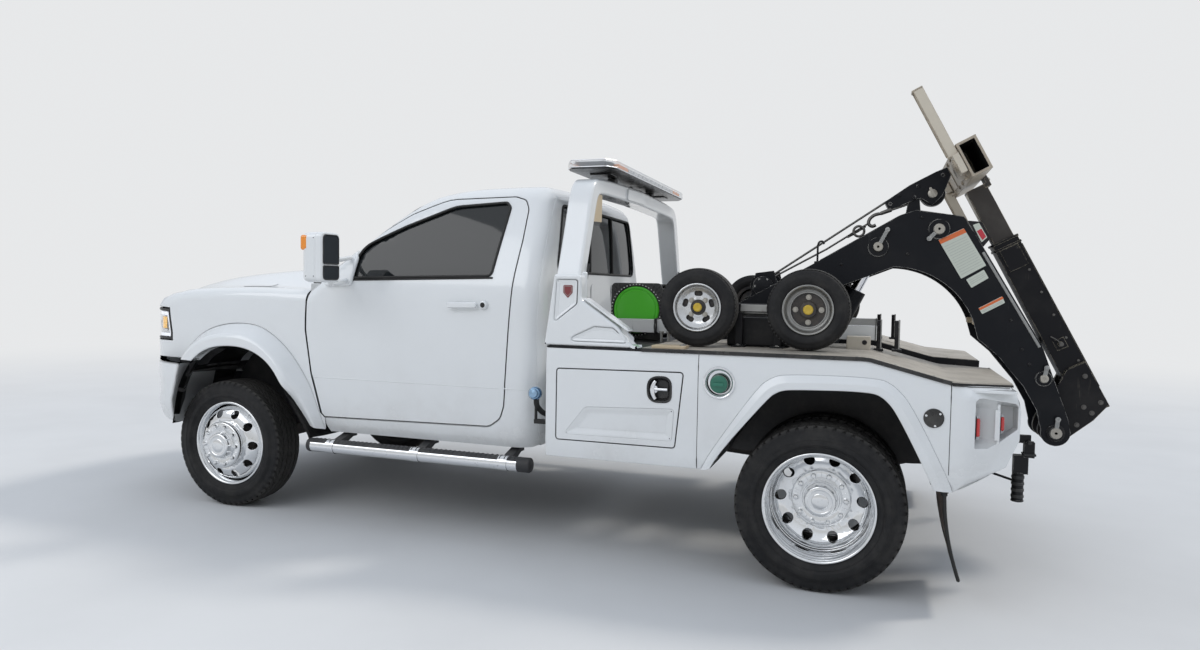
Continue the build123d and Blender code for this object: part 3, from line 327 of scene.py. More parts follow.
def rounded(corners: Sequence[Point2], radius: float | Sequence[float] = 0.0, step: float = 40.0) -> Array:
    """Close an outline and round its corners.

    Args:
        corners: Corner points in order.
        radius: Radius of all corners, or of each.
        step: Longest distance between two points on the straight runs.

    Returns:
        Points along the outline, anticlockwise.
    """
    pts = np.array(corners, float)
    radii = np.broadcast_to(np.array(radius, float), (len(pts),)).copy()
    nxt = np.roll(pts, -1, 0)
    if np.sum(pts[:, 0] * nxt[:, 1] - nxt[:, 0] * pts[:, 1]) < 0:
        pts, radii = pts[::-1], radii[::-1]
    out: list[Array] = []
    count = len(pts)
    for i in range(count):
        here, back, ahead = pts[i], pts[i - 1], pts[(i + 1) % count]
        to_back, to_ahead = back - here, ahead - here
        lengths = np.linalg.norm(to_back), np.linalg.norm(to_ahead)
        to_back, to_ahead = to_back / lengths[0], to_ahead / lengths[1]
        half = math.acos(float(np.clip(to_back @ to_ahead, -1, 1))) / 2
        if radii[i] <= 0 or half > 1.55:
            out.append(here)
            continue
        cut = min(radii[i] / math.tan(half), 0.49 * min(lengths))
        start, end = here + to_back * cut, here + to_ahead * cut
        turn = math.pi - 2 * half
        steps = max(2, int(math.degrees(turn) / 9))
        for k in range(steps + 1):
            t = k / steps
            out.append((1 - t) ** 2 * start + 2 * t * (1 - t) * here + t * t * end)
    dense: list[Array] = []
    for here, ahead in zip(out, out[1:] + out[:1]):
        gap = float(np.linalg.norm(ahead - here))
        if gap < 1e-6:
            continue
        pieces = max(1, int(math.ceil(gap / step)))
        dense.extend(here + (ahead - here) * k / pieces for k in range(pieces))
    return np.array(dense)


def circle(centre: Point2, radius: float, count: int = 32) -> Array:
    """Points of a round outline, anticlockwise."""
    turn = np.arange(count) * 2 * math.pi / count
    return np.stack([centre[0] + radius * np.cos(turn), centre[1] + radius * np.sin(turn)], 1)


def slot(centre: Point2, size: Point2, angle: float = 0.0, count: int = 8) -> Array:
    """Outline of a long round hole.

    Args:
        centre: Its middle.
        size: Whole length and width.
        angle: Turn of its length in degrees.
        count: Points on each end.

    Returns:
        The outline, anticlockwise.
    """
    radius = size[1] / 2
    reach = size[0] / 2 - radius
    turn = np.linspace(-math.pi / 2, math.pi / 2, count)
    end = np.stack([reach + radius * np.cos(turn), radius * np.sin(turn)], 1)
    both = np.concatenate([end, -end])
    a = math.radians(angle)
    spin = np.array([[math.cos(a), math.sin(a)], [-math.sin(a), math.cos(a)]])
    return both @ spin + np.array(centre)


def outward(loop: Array) -> Array:
    """Outward direction at each point of an anticlockwise loop, longer at its corners.

    Args:
        loop: Points of the loop.

    Returns:
        One vector for each point.
    """
    ahead = np.roll(loop, -1, 0) - loop
    ahead /= np.linalg.norm(ahead, axis=1, keepdims=True)
    back = np.roll(ahead, 1, 0)
    sides = np.stack([ahead[:, 1], -ahead[:, 0]], 1)
    mean = sides + np.stack([back[:, 1], -back[:, 0]], 1)
    mean /= np.maximum(np.linalg.norm(mean, axis=1, keepdims=True), 1e-6)
    fit = np.clip(np.sum(mean * sides, 1, keepdims=True), 0.5, 1)
    return mean / fit


def within(points: Array, loop: Array) -> Array:
    """Mask of the points that lie inside a loop.

    Args:
        points: The points.
        loop: Points of the loop.

    Returns:
        True for each point inside.
    """
    x, y = points[:, 0][:, None], points[:, 1][:, None]
    x0, y0 = loop[:, 0][None], loop[:, 1][None]
    x1, y1 = np.roll(loop[:, 0], -1)[None], np.roll(loop[:, 1], -1)[None]
    crosses = (y0 > y) != (y1 > y)
    at = x0 + (y - y0) * (x1 - x0) / np.where(y1 == y0, 1e-12, y1 - y0)
    return np.sum(crosses & (x < at), 1) % 2 == 1


def clearance(points: Array, loop: Array) -> Array:
    """Distance of each point from a loop.

    Args:
        points: The points.
        loop: Points of the loop.

    Returns:
        One distance for each point.
    """
    best = np.full(len(points), 1e9)
    for a, b in zip(loop, np.roll(loop, -1, 0)):
        run = b - a
        t = np.clip(((points - a) @ run) / max(run @ run, 1e-12), 0, 1)
        best = np.minimum(best, np.linalg.norm(points - a - t[:, None] * run, axis=1))
    return best


def unit(v: Array) -> Array:
    """Vectors brought to length 1."""
    return v / np.maximum(np.linalg.norm(v, axis=-1, keepdims=True), 1e-9)


@dataclass
class Shape:
    """Points, normals and faces gathered for one mesh."""

    points: list[Array] = field(default_factory=list)
    normals: list[Array] = field(default_factory=list)
    faces: list[tuple[int, ...]] = field(default_factory=list)
    finish: list[int] = field(default_factory=list)
    count: int = 0

    def add(self, points: Array, faces: Sequence[Sequence[int]], finish: int = 0,
            normals: Array | None = None) -> Shape:
        """Add a patch.

        Args:
            points: Its points.
            faces: Its faces, as indices into those points.
            finish: Index of the material on them.
            normals: A normal for each point, or None to work them out.

        Returns:
            This shape.
        """
        pts = np.asarray(points, float).reshape(-1, 3)
        if normals is None:
            normals = np.zeros_like(pts)
            for face in faces:
                ring = pts[list(face)]
                normals[list(face)] += np.cross(ring[1] - ring[0], ring[2] - ring[0])
        self.points.append(pts)
        self.normals.append(unit(np.asarray(normals, float)))
        self.faces.extend(tuple(i + self.count for i in face) for face in faces)
        self.finish.extend([finish] * len(faces))
        self.count += len(pts)
        return self

    def join(self, other: Shape, finish: int | None = None) -> Shape:
        """Add another shape, in its own finish or a given one.

        Args:
            other: The other shape.
            finish: Index of the material, or None for its own ones.

        Returns:
            This shape.
        """
        self.points.extend(other.points)
        self.normals.extend(other.normals)
        self.faces.extend(tuple(i + self.count for i in face) for face in other.faces)
        self.finish.extend(other.finish if finish is None else [finish] * len(other.faces))
        self.count += other.count
        return self

    def flipped(self) -> Shape:
        """Mirror image on the other side of the truck.

        Returns:
            The mirrored shape.
        """
        mirror = np.array([1.0, -1.0, 1.0])
        made = Shape([p * mirror for p in self.points], [n * mirror for n in self.normals])
        made.faces = [face[::-1] for face in self.faces]
        made.finish = list(self.finish)
        made.count = self.count
        return made

    def on(self, side: Side) -> Shape:
        """The driver's-side shape, or its mirror image."""
        return self if side is Side.LEFT else self.flipped()

    def both(self) -> Shape:
        """This shape and its mirror image in one."""
        return Shape().join(self).join(self.flipped())

    def moved(self, spin: Array, shift: Array) -> Shape:
        """Turned by a matrix and then shifted.

        Args:
            spin: Matrix of the turn.
            shift: The shift.

        Returns:
            The moved shape.
        """
        made = Shape([p @ spin.T + shift for p in self.points], [n @ spin.T for n in self.normals])
        made.faces, made.finish, made.count = list(self.faces), list(self.finish), self.count
        return made

    def piece(self, name: str, materials: Sequence[bpy.types.Material], body: str, slot_name: str,
              stands_for: Sequence[str] = ()) -> bpy.types.Object:
        """Write the mesh and tie it to the frame.

        Args:
            name: Piece name.
            materials: Its materials, by finish index.
            body: Body of the frame it rides on.
            slot_name: A material slot of the record; not used.
            stands_for: Nodes of the frame it replaces.

        Returns:
            The object.
        """
        mesh = bpy.data.meshes.new(name)
        pts = (np.concatenate(self.points) + np.array([FRONT_AXLE, 0, 0])) * MM
        mesh.from_pydata(pts.tolist(), [], self.faces)
        for material in materials:
            mesh.materials.append(material)
        mesh.polygons.foreach_set("material_index", self.finish)
        mesh.polygons.foreach_set("use_smooth", [True] * len(self.faces))
        mesh.update()
        mesh.normals_split_custom_set_from_vertices(np.concatenate(self.normals).tolist())
        made = bpy.data.objects.new(name, mesh)
        bpy.context.scene.collection.objects.link(made)
        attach(made, body)
        if stands_for:
            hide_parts(*stands_for)
        LOG.info("%s: %d faces on %s", name, len(self.faces), body)
        return made


@dataclass(frozen=True)
class Flat:
    """Plane in space that outlines are drawn on."""

    origin: Point3
    right: Point3
    up: Point3

    def __call__(self, uv: Array, depth: Array) -> Array:
        """Point at (u, v) on the plane, sunk by a depth.

        Args:
            uv: Positions on the surface.
            depth: How deep each is sunk.

        Returns:
            The points in space.
        """
        right, up = unit(np.array(self.right, float)), unit(np.array(self.up, float))
        normal = np.cross(right, up)
        return np.array(self.origin) + uv[:, :1] * right + uv[:, 1:2] * up - depth[:, None] * normal

    @staticmethod
    def side(y: float) -> Flat:
        """Plane seen from the driver's side."""
        return Flat((0, y, 0), (1, 0, 0), (0, 0, 1))

    @staticmethod
    def plan(z: float) -> Flat:
        """Level plane seen from above."""
        return Flat((0, 0, z), (1, 0, 0), (0, 1, 0))

    @staticmethod
    def rear(x: float) -> Flat:
        """Upright plane seen from behind."""
        return Flat((x, 0, 0), (0, 1, 0), (0, 0, 1))

    @staticmethod
    def front(x: float) -> Flat:
        """Upright plane seen from the front, where u is the distance to the driver's side."""
        return Flat((x, 0, 0), (0, -1, 0), (0, 0, 1))


@dataclass(frozen=True)
class Sunk:
    """Surface that lies at an even depth under another one."""

    place: Place
    sink: float

    def __call__(self, uv: Array, depth: Array) -> Array:
        """Point at (u, v) of the other surface, sunk by both depths."""
        return self.place(uv, depth + self.sink)


def facing(place: Place, uv: Array, depth: Array) -> Array:
    """Direction that a surface faces.

    Args:
        place: The surface.
        uv: Positions on it.
        depth: How deep each is sunk.

    Returns:
        One unit vector for each position.
    """
    near = 1.5
    du = place(uv + (near, 0), depth) - place(uv - (near, 0), depth)
    dv = place(uv + (0, near), depth) - place(uv - (0, near), depth)
    return unit(np.cross(du, dv))


def grid_faces(rings: int, size: int, closed: bool = True, loop: bool = False,
               flip: bool = False) -> list[tuple[int, ...]]:
    """Faces between rings of points that are stored one after another.

    Args:
        rings: Number of rings.
        size: Number of points in each ring.
        closed: Whether each ring closes.
        loop: Whether the last ring joins the first.
        flip: Whether the faces turn the other way.

    Returns:
        The point numbers of each face.
    """
    quads = []
    for r in range(rings if loop else rings - 1):
        s = (r + 1) % rings
        for k in range(size if closed else size - 1):
            j = (k + 1) % size
            quad = (r * size + k, s * size + k, s * size + j, r * size + j)
            quads.append(quad[:1] + quad[:0:-1] if flip else quad)
    return quads


def beside(way: Array) -> tuple[Array, Array]:
    """Directions to the right of an axis and upwards from it.

    Args:
        way: The axis.

    Returns:
        Both directions.
    """
    helper = np.array([0.0, 0, 1]) if abs(way[2]) < 0.9 else np.array([1.0, 0, 0])
    right = unit(np.cross(helper, way))
    return right, np.cross(way, right)


def panel(outline: Array, holes: Sequence[Array], place: Place, thick: float, edge: float = 3.0,
          cell: float | None = None, back: bool = True, steps: int = 3, finish: int = 0) -> Shape:
    """Panel or plate with rolled edges, laid on any surface.

    Args:
        outline: Its outline, anticlockwise.
        holes: Outlines of its holes, anticlockwise.
        place: Gives the point in space at (u, v) and a depth under the surface.
        thick: Its thickness.
        edge: Radius of the rolled edges.
        cell: Spacing of the points inside, for a curved surface.
        back: Whether the back is closed with a face of its own.
        steps: Rings round each edge.
        finish: Index of the material.

    Returns:
        The panel.
    """
    shape = Shape()
    loops = [outline] + [hole[::-1] for hole in holes]
    ways = [outward(loop) for loop in loops]
    inner = [loop - way * edge for loop, way in zip(loops, ways)]
    rings = [len(loop) for loop in loops]
    seeds = np.concatenate(inner)
    if cell:
        low, high = seeds.min(0), seeds.max(0)
        axes = [np.arange(low[k] + cell / 2, high[k], cell) for k in (0, 1)]
        grid = np.stack(np.meshgrid(*axes), -1).reshape(-1, 2)
        grid = grid[within(grid, inner[0])]
        for hole in inner[1:]:
            grid = grid[~within(grid, hole)]
        for loop in inner:
            grid = grid[clearance(grid, loop) > 0.62 * cell]
        seeds = np.concatenate([seeds, grid])
    bounds, start = [], 0
    for size in rings:
        bounds.extend((start + k, start + (k + 1) % size) for k in range(size))
        start += size
    made = delaunay_2d_cdt([Vector(p) for p in seeds.tolist()], bounds, [], 0, 1e-4)
    flat = np.array([tuple(v) for v in made[0]])
    tris = np.array([face for face in made[2] if len(face) == 3])
    middle = flat[tris].mean(1)
    keep = within(middle, inner[0])
    for hole in inner[1:]:
        keep &= ~within(middle, hole)
    tris = tris[keep]
    a, b, c = (flat[tris[:, k]] for k in range(3))
    turn = (b[:, 0] - a[:, 0]) * (c[:, 1] - a[:, 1]) - (b[:, 1] - a[:, 1]) * (c[:, 0] - a[:, 0])
    tris[turn < 0] = tris[turn < 0][:, ::-1]

    front_n = facing(place, flat, np.zeros(len(flat)))
    shape.add(place(flat, np.zeros(len(flat))), tris.tolist(), finish, front_n)
    if back:
        shape.add(place(flat, np.full(len(flat), thick)), tris[:, ::-1].tolist(), finish, -front_n)
    for loop, way in zip(loops, ways):
        leans = [math.radians(90 * k / steps) for k in range(steps + 1)]
        rows = [(loop - way * edge * (1 - math.sin(lean)), edge * (1 - math.cos(lean)), lean)
                for lean in leans]
        if back:
            rows += [(at, thick - depth, math.pi - lean) for at, depth, lean in rows[::-1]]
        else:
            rows.append((loop, thick, math.pi / 2))
        pts, nrm = [], []
        for at, depth, lean in rows:
            deep = np.full(len(at), depth)
            out = unit(place(at + way * 0.8, deep) - place(at - way * 0.8, deep))
            pts.append(place(at, deep))
            nrm.append(math.cos(lean) * facing(place, at, deep) + math.sin(lean) * out)
        shape.add(np.concatenate(pts), grid_faces(len(rows), len(loop)), finish, np.concatenate(nrm))
    return shape


def block(low: Point3, high: Point3, edge: float = 2.0, finish: int = 0, steps: int = 2) -> Shape:
    """Box with rounded edges between two corners.

    Args:
        low: Its lowest corner.
        high: Its highest corner.
        edge: Radius of the edges.
        finish: Index of the material.
        steps: Number of steps in each rounded edge.

    Returns:
        The box.
    """
    (x0, y0, z0), (x1, y1, z1) = low, high
    edge = min(edge, 0.45 * min(x1 - x0, y1 - y0, z1 - z0))
    face = rounded([(x0, z0), (x1, z0), (x1, z1), (x0, z1)], edge, 1e6)
    return panel(face, [], Flat.side(y0), y1 - y0, edge, steps=steps, finish=finish)


def turned(profile: Sequence[Point2], origin: Point3, axis: Point3, count: int = 64, finish: int = 0,
           crease: float = 35.0) -> Shape:
    """Body of revolution, with sharp creases where its profile turns sharply.

    Args:
        profile: Points as (distance along the axis, radius).
        origin: Point on the axis.
        axis: Direction of the axis.
        count: Points round it.
        finish: Index of the material.
        crease: Angle in degrees above which a corner of the profile stays sharp.

    Returns:
        The body.
    """
    line = np.array(profile, float)
    way = unit(np.array(axis, float))
    right, up = beside(way)
    turn = np.arange(count) * 2 * math.pi / count
    spokes = np.cos(turn)[:, None] * right + np.sin(turn)[:, None] * up
    runs = unit(line[1:] - line[:-1])
    sides = np.stack([-runs[:, 1], runs[:, 0]], 1)
    shape = Shape()
    limit = math.cos(math.radians(crease))
    starts = [0] + [k for k in range(1, len(line) - 1) if runs[k - 1] @ runs[k] < limit] + [len(line) - 1]
    for first, last in zip(starts, starts[1:]):
        rows, normals = [], []
        for k in range(first, last + 1):
            near = [sides[j] for j in (k - 1, k) if first <= j < last]
            n2 = unit(np.sum(near, 0))
            along, radius = line[k]
            rows.append(np.array(origin) + along * way + radius * spokes)
            normals.append(n2[0] * way + n2[1] * spokes)
        quads = grid_faces(len(rows), count, flip=True)
        shape.add(np.concatenate(rows), quads, finish, np.concatenate(normals))
    return shape


def rod(start: Point3, end: Point3, radius: float, count: int = 24, finish: int = 0,
        edge: float = 1.0) -> Shape:
    """Round bar with slightly rounded ends.

    Args:
        start: Middle of one end.
        end: Middle of the other end.
        radius: Its radius.
        count: Number of points round it.
        finish: Index of the material.
        edge: How far the ends are rounded.

    Returns:
        The bar.
    """
    a, b = np.array(start, float), np.array(end, float)
    length = float(np.linalg.norm(b - a))
    edge = min(edge, radius * 0.4, length * 0.3)
    profile = [(0, 0), (0, radius - edge), (edge * 0.3, radius - edge * 0.3), (edge, radius),
               (length - edge, radius), (length - edge * 0.3, radius - edge * 0.3), (length, radius - edge),
               (length, 0)]
    return turned(profile, tuple(a), tuple(b - a), count, finish, 60)


def hexagon(centre: Point3, axis: Point3, across: float, tall: float, finish: int = 0) -> Shape:
    """Bolt head with a washer, standing on a point and pointing along an axis.

    Args:
        centre: Where it stands.
        axis: Where it points.
        across: Width across two flats.
        tall: Height of the head.
        finish: Index of the material.

    Returns:
        The bolt head.
    """
    way = unit(np.array(axis, float))
    right, up = beside(way)
    base = np.array(centre, float)
    flat = Flat(tuple(base + way * tall), tuple(right), tuple(up))
    head = panel(circle((0, 0), across / 2 / math.cos(math.pi / 6), 6), [], flat, tall - 0.5, across * 0.06,
                 steps=1, finish=finish)
    washer = turned([(0, across * 0.9), (2.2, across * 0.9), (3.0, across * 0.84), (3.0, 0)], centre,
                    tuple(way), 20, finish)
    return head.join(washer)


def swept(section: Array, path: Array, normals: Array | None = None, closed: bool = True, loop: bool = False,
          finish: int = 0, capped: bool = True, smooth: bool = True) -> Shape:
    """Carry a section along a path.

    Args:
        section: Points as (across, off the surface), or one such array for each path point.
        path: Points of the path.
        normals: Direction off the surface at each path point, or None for a free tube.
        closed: Whether the section is a closed loop.
        loop: Whether the path closes.
        finish: Index of the material.
        capped: Whether open ends get a face.
        smooth: Whether the section's corners shade smoothly.

    Returns:
        The swept shape.
    """
    pts = np.array(path, float)
    ahead = np.roll(pts, -1, 0) - np.roll(pts, 1, 0)
    if not loop:
        ahead[0], ahead[-1] = pts[1] - pts[0], pts[-1] - pts[-2]
    ahead = unit(ahead)
    if normals is None:
        frame = np.cross(ahead[0], (0.0, 0, 1) if abs(ahead[0][2]) < 0.9 else (1.0, 0, 0))
        ups = []
        for way in ahead:
            frame = unit(frame - (frame @ way) * way)
            ups.append(frame)
        up = np.array(ups)
    else:
        up = unit(normals - np.sum(normals * ahead, 1, keepdims=True) * ahead)
    across = np.cross(ahead, up)
    sections = section if section.ndim == 3 else np.broadcast_to(section, (len(pts), *section.shape))
    rows = pts[:, None] + sections[..., :1] * across[:, None] + sections[..., 1:2] * up[:, None]
    size = sections.shape[1]
    shape = Shape()
    if smooth:
        shape.add(rows.reshape(-1, 3), grid_faces(len(pts), size, closed, loop, flip=True), finish)
    else:
        strip = grid_faces(len(pts), 2, False, loop, flip=True)
        for k in range(size if closed else size - 1):
            pair = np.stack([rows[:, k], rows[:, (k + 1) % size]], 1).reshape(-1, 3)
            shape.add(pair, strip, finish)
    if capped and not loop and closed:
        shape.add(rows[0], [tuple(range(size))[::-1]], finish)
        shape.add(rows[-1], [tuple(range(size))], finish)
    return shape


def tube(path: Sequence[Point3] | Array, radius: float, count: int = 12, bend: float = 0.0, finish: int = 0,
         loop: bool = False) -> Shape:
    """Round tube along points, with rounded bends."""
    pts = bent(path, bend, loop) if bend else np.array(path, float)
    return swept(circle((0, 0), radius, count), pts, finish=finish, loop=loop)


def bent(path: Sequence[Point3] | Array, radius: float, loop: bool = False) -> Array:
    """Path through points with its corners rounded by a radius.

    Args:
        path: Points of the path.
        radius: How far before each corner the bend starts, at most.
        loop: Whether the path closes.

    Returns:
        Points of the rounded path.
    """
    pts = np.array(path, float)
    out: list[Array] = []
    last = len(pts) - 1
    for k, here in enumerate(pts):
        if not loop and k in (0, last):
            out.append(here)
            continue
        back, ahead = pts[k - 1] - here, pts[(k + 1) % len(pts)] - here
        reach = min(radius, 0.48 * np.linalg.norm(back), 0.48 * np.linalg.norm(ahead))
        a, b = here + unit(back) * reach, here + unit(ahead) * reach
        out.extend((1 - t) ** 2 * a + 2 * t * (1 - t) * here + t * t * b for t in np.linspace(0, 1, 7))
    return np.array(out)


# Finishes

DUST = (0.36, 0.33, 0.29)
WHITE = (0.80, 0.815, 0.82)


@dataclass(frozen=True)
class Paint:
    """Glossy body paint with road film that gathers low down."""

    name: str
    colour: Colour
    rough: float = 0.2
    film: float = 0.35
    coat: float = 0.8

    def make(self) -> bpy.types.Material:
        """Build the material.

        Returns:
            The material.
        """
        r = Recipe(self.name)
        low = 1.0 - r.axis("z").ramp(0.45, 1.05)
        cloud = r.noise(3.0, 5.0, 0.6).ramp(0.38, 0.72)
        speck = r.noise(55.0, 3.0).ramp(0.55, 0.75)
        film = (low * 0.75 + 0.12) * (cloud * 0.7 + 0.2) * self.film + low * speck * 0.10 * self.film
        colour = r.mix(self.colour, DUST, film)
        peel = r.bump(r.noise(160.0, 1.0), 0.06, 0.0006)
        return r.surface(base_color=colour, roughness=film * 0.5 + self.rough, coat_weight=self.coat,
                         coat_roughness=0.06, specular_ior_level=0.5, normal=peel)


@dataclass(frozen=True)
class WornCoat:
    """Painted steel whose edges and rubbed places show brighter."""

    name: str
    colour: Colour
    bare: Colour = (0.42, 0.41, 0.39)
    rough: float = 0.42
    wear: float = 1.0
    scuff: float = 0.25
    dust: float = 0.3
    shine: float = 0.5

    def make(self) -> bpy.types.Material:
        """Build the material.

        Returns:
            The material.
        """
        r = Recipe(self.name)
        rub = r.noise(14.0, 6.0, 0.7)
        rim = (r.edge(0.006) * 6.0) * rub.ramp(0.35, 0.65) * self.wear
        rim = rim.ramp(0.25, 0.6)
        streak = r.noise(30.0, 4.0, 0.7, r.place((1.0, 1.0, 0.12))).ramp(0.62, 0.78) * self.scuff
        worn = rim.above(streak)
        dust = r.noise(4.0, 5.0, 0.6).ramp(0.45, 0.8) * self.dust
        colour = r.mix(r.mix(self.colour, DUST, dust * 0.35), self.bare, worn)
        return r.surface(base_color=colour, roughness=dust * 0.25 + worn * -0.08 + self.rough,
                         metallic=rim * 0.6, specular_ior_level=self.shine,
                         normal=r.bump(r.noise(90.0, 3.0), 0.15, 0.0006))


@dataclass(frozen=True)
class Bright:
    """Polished or brushed metal."""

    name: str
    colour: Colour = (0.78, 0.79, 0.80)
    rough: float = 0.12
    haze: float = 0.14
    grime: float = 0.25

    def make(self) -> bpy.types.Material:
        """Build the material.

        Returns:
            The material.
        """
        r = Recipe(self.name)
        haze = r.noise(7.0, 5.0, 0.65).ramp(0.35, 0.75)
        spots = r.noise(60.0, 3.0).ramp(0.60, 0.72) * self.grime
        colour = r.mix(self.colour, (0.30, 0.28, 0.25), spots.above(haze * 0.15 * self.grime))
        return r.surface(base_color=colour, metallic=1.0 - spots * 0.6,
                         roughness=haze * self.haze + spots * 0.3 + self.rough,
                         normal=r.bump(r.noise(35.0, 3.0), 0.05, 0.0008))


@dataclass(frozen=True)
class Cast:
    """Rough iron or matt coated metal."""

    name: str
    colour: Colour
    rough: float = 0.7
    metal: float = 0.2

    def make(self) -> bpy.types.Material:
        """Build the material.

        Returns:
            The material.
        """
        r = Recipe(self.name)
        dirt = r.noise(9.0, 6.0, 0.7).ramp(0.35, 0.75)
        colour = r.mix(self.colour, (0.17, 0.14, 0.11), dirt * 0.55)
        return r.surface(base_color=colour, metallic=self.metal, roughness=dirt * 0.15 + self.rough,
                         normal=r.bump(r.noise(120.0, 4.0), 0.35, 0.001))


@dataclass(frozen=True)
class Plastic:
    """Grained or smooth plastic and rubber."""

    name: str
    colour: Colour
    rough: float = 0.5
    grain: float = 0.2
    scale: float = 300.0
    dust: float = 0.35

    def make(self) -> bpy.types.Material:
        """Build the material.

        Returns:
            The material.
        """
        r = Recipe(self.name)
        cloud = r.noise(6.0, 5.0, 0.65).ramp(0.4, 0.8) * self.dust
        colour = r.mix(self.colour, DUST, cloud * 0.4)
        return r.surface(base_color=colour, roughness=cloud * 0.2 + self.rough,
                         normal=r.bump(r.cells(self.scale), self.grain, 0.0008))


@dataclass(frozen=True)
class Tyre:
    """Rubber with a dusty, slightly ribbed wall and a greyer tread."""

    name: str
    centre_x: float
    centre_z: float
    tread: float
    colour: Colour = (0.010, 0.010, 0.011)

    def make(self) -> bpy.types.Material:
        """Build the material.

        Returns:
            The material.
        """
        r = Recipe(self.name)
        dx = r.axis("x") - (self.centre_x + FRONT_AXLE) * MM
        dz = r.axis("z") - self.centre_z * MM
        radius = (dx * dx + dz * dz) ** 0.5
        tread = radius.ramp(self.tread * 0.94, self.tread * 0.99)
        cloud = r.noise(8.0, 6.0, 0.7).ramp(0.38, 0.75)
        colour = r.mix(self.colour, (0.16, 0.15, 0.135), cloud * 0.16 + tread * 0.18)
        ribs = (radius * 900.0).sine() * (1.0 - tread) * 0.4
        return r.surface(base_color=colour, roughness=cloud * 0.15 + 0.62, specular_ior_level=0.3,
                         normal=r.bump(ribs + r.noise(220.0, 3.0), 0.25, 0.0006))


@dataclass(frozen=True)
class Pane:
    """Tinted window glass."""

    name: str
    colour: Colour = (0.012, 0.014, 0.015)
    solid: float = 0.95

    def make(self) -> bpy.types.Material:
        """Build the material.

        Returns:
            The material.
        """
        r = Recipe(self.name)
        return r.surface(base_color=self.colour, roughness=0.03, alpha=self.solid, specular_ior_level=0.5,
                         coat_weight=0.15, coat_roughness=0.01)


@dataclass(frozen=True)
class Lens:
    """Ribbed lamp lens over a bright reflector."""

    name: str
    colour: Colour
    solid: float = 1.0
    glow: float = 0.0
    ribs: float = 400.0

    def make(self) -> bpy.types.Material:
        """Build the material.

        Returns:
            The material.
        """
        r = Recipe(self.name)
        rib = (r.axis("z") * self.ribs).sine() + (r.axis("y") * self.ribs).sine()
        return r.surface(base_color=self.colour, roughness=0.12, alpha=self.solid, coat_weight=1.0,
                         coat_roughness=0.03, emission_color=self.colour, emission_strength=self.glow,
                         normal=r.bump(rib, 0.25, 0.0006))


@dataclass(frozen=True)
class Strip:
    """Coated deck plate with fine pressed bars."""

    name: str
    colour: Colour = (0.46, 0.42, 0.36)

    def make(self) -> bpy.types.Material:
        """Build the material.

        Returns:
            The material.
        """
        r = Recipe(self.name)
        first = (r.axis("x") * 210.0 + r.axis("y") * 210.0).sine().ramp(0.55, 0.95)
        second = (r.axis("x") * 210.0 - r.axis("y") * 210.0).sine().ramp(0.55, 0.95)
        dirt = r.noise(5.0, 6.0, 0.7).ramp(0.35, 0.75)
        colour = r.mix(self.colour, (0.20, 0.18, 0.155), dirt * 0.55)
        return r.surface(base_color=colour, metallic=0.15, roughness=dirt * 0.15 + 0.5,
                         normal=r.bump(first.above(second) + r.noise(120.0, 3.0) * 0.3, 0.6, 0.0016))


@dataclass(frozen=True)
class Cloth:
    """Woven seat fabric."""

    name: str
    colour: Colour

    def make(self) -> bpy.types.Material:
        """Build the material.

        Returns:
            The material.
        """
        r = Recipe(self.name)
        weave = (r.axis("y") * 2600.0).sine() * (r.axis("z") * 2600.0 + r.axis("x") * 2600.0).sine()
        shade = r.noise(12.0, 4.0).ramp(0.3, 0.8)
        colour = r.mix(self.colour, tuple(c * 1.7 for c in self.colour), shade * 0.6 + weave * 0.1)
        return r.surface(base_color=colour, roughness=0.9, sheen_weight=0.3,
                         normal=r.bump(weave, 0.4, 0.0006))


@dataclass(frozen=True)
class Rope:
    """Steel wire rope with its lay."""

    name: str

    def make(self) -> bpy.types.Material:
        """Build the material.

        Returns:
            The material.
        """
        r = Recipe(self.name)
        lay = (r.axis("x") * 700.0 + r.axis("z") * 300.0 + r.axis("y") * 900.0).sine()
        colour = r.mix((0.10, 0.095, 0.09), (0.32, 0.31, 0.29), lay.ramp(-0.2, 1.0))
        return r.surface(base_color=colour, metallic=0.7, roughness=0.45, normal=r.bump(lay, 0.7, 0.0015))


@dataclass(frozen=True)
class Flap:
    """Rubber sheet with dried mud."""

    name: str

    def make(self) -> bpy.types.Material:
        """Build the material.

        Returns:
            The material.
        """
        r = Recipe(self.name)
        mud = r.noise(6.0, 6.0, 0.7).ramp(0.3, 0.6)
        colour = r.mix((0.03, 0.03, 0.03), (0.40, 0.29, 0.23), mud * 0.45)
        return r.surface(base_color=colour, roughness=0.8, normal=r.bump(r.noise(60.0, 4.0), 0.3, 0.001))


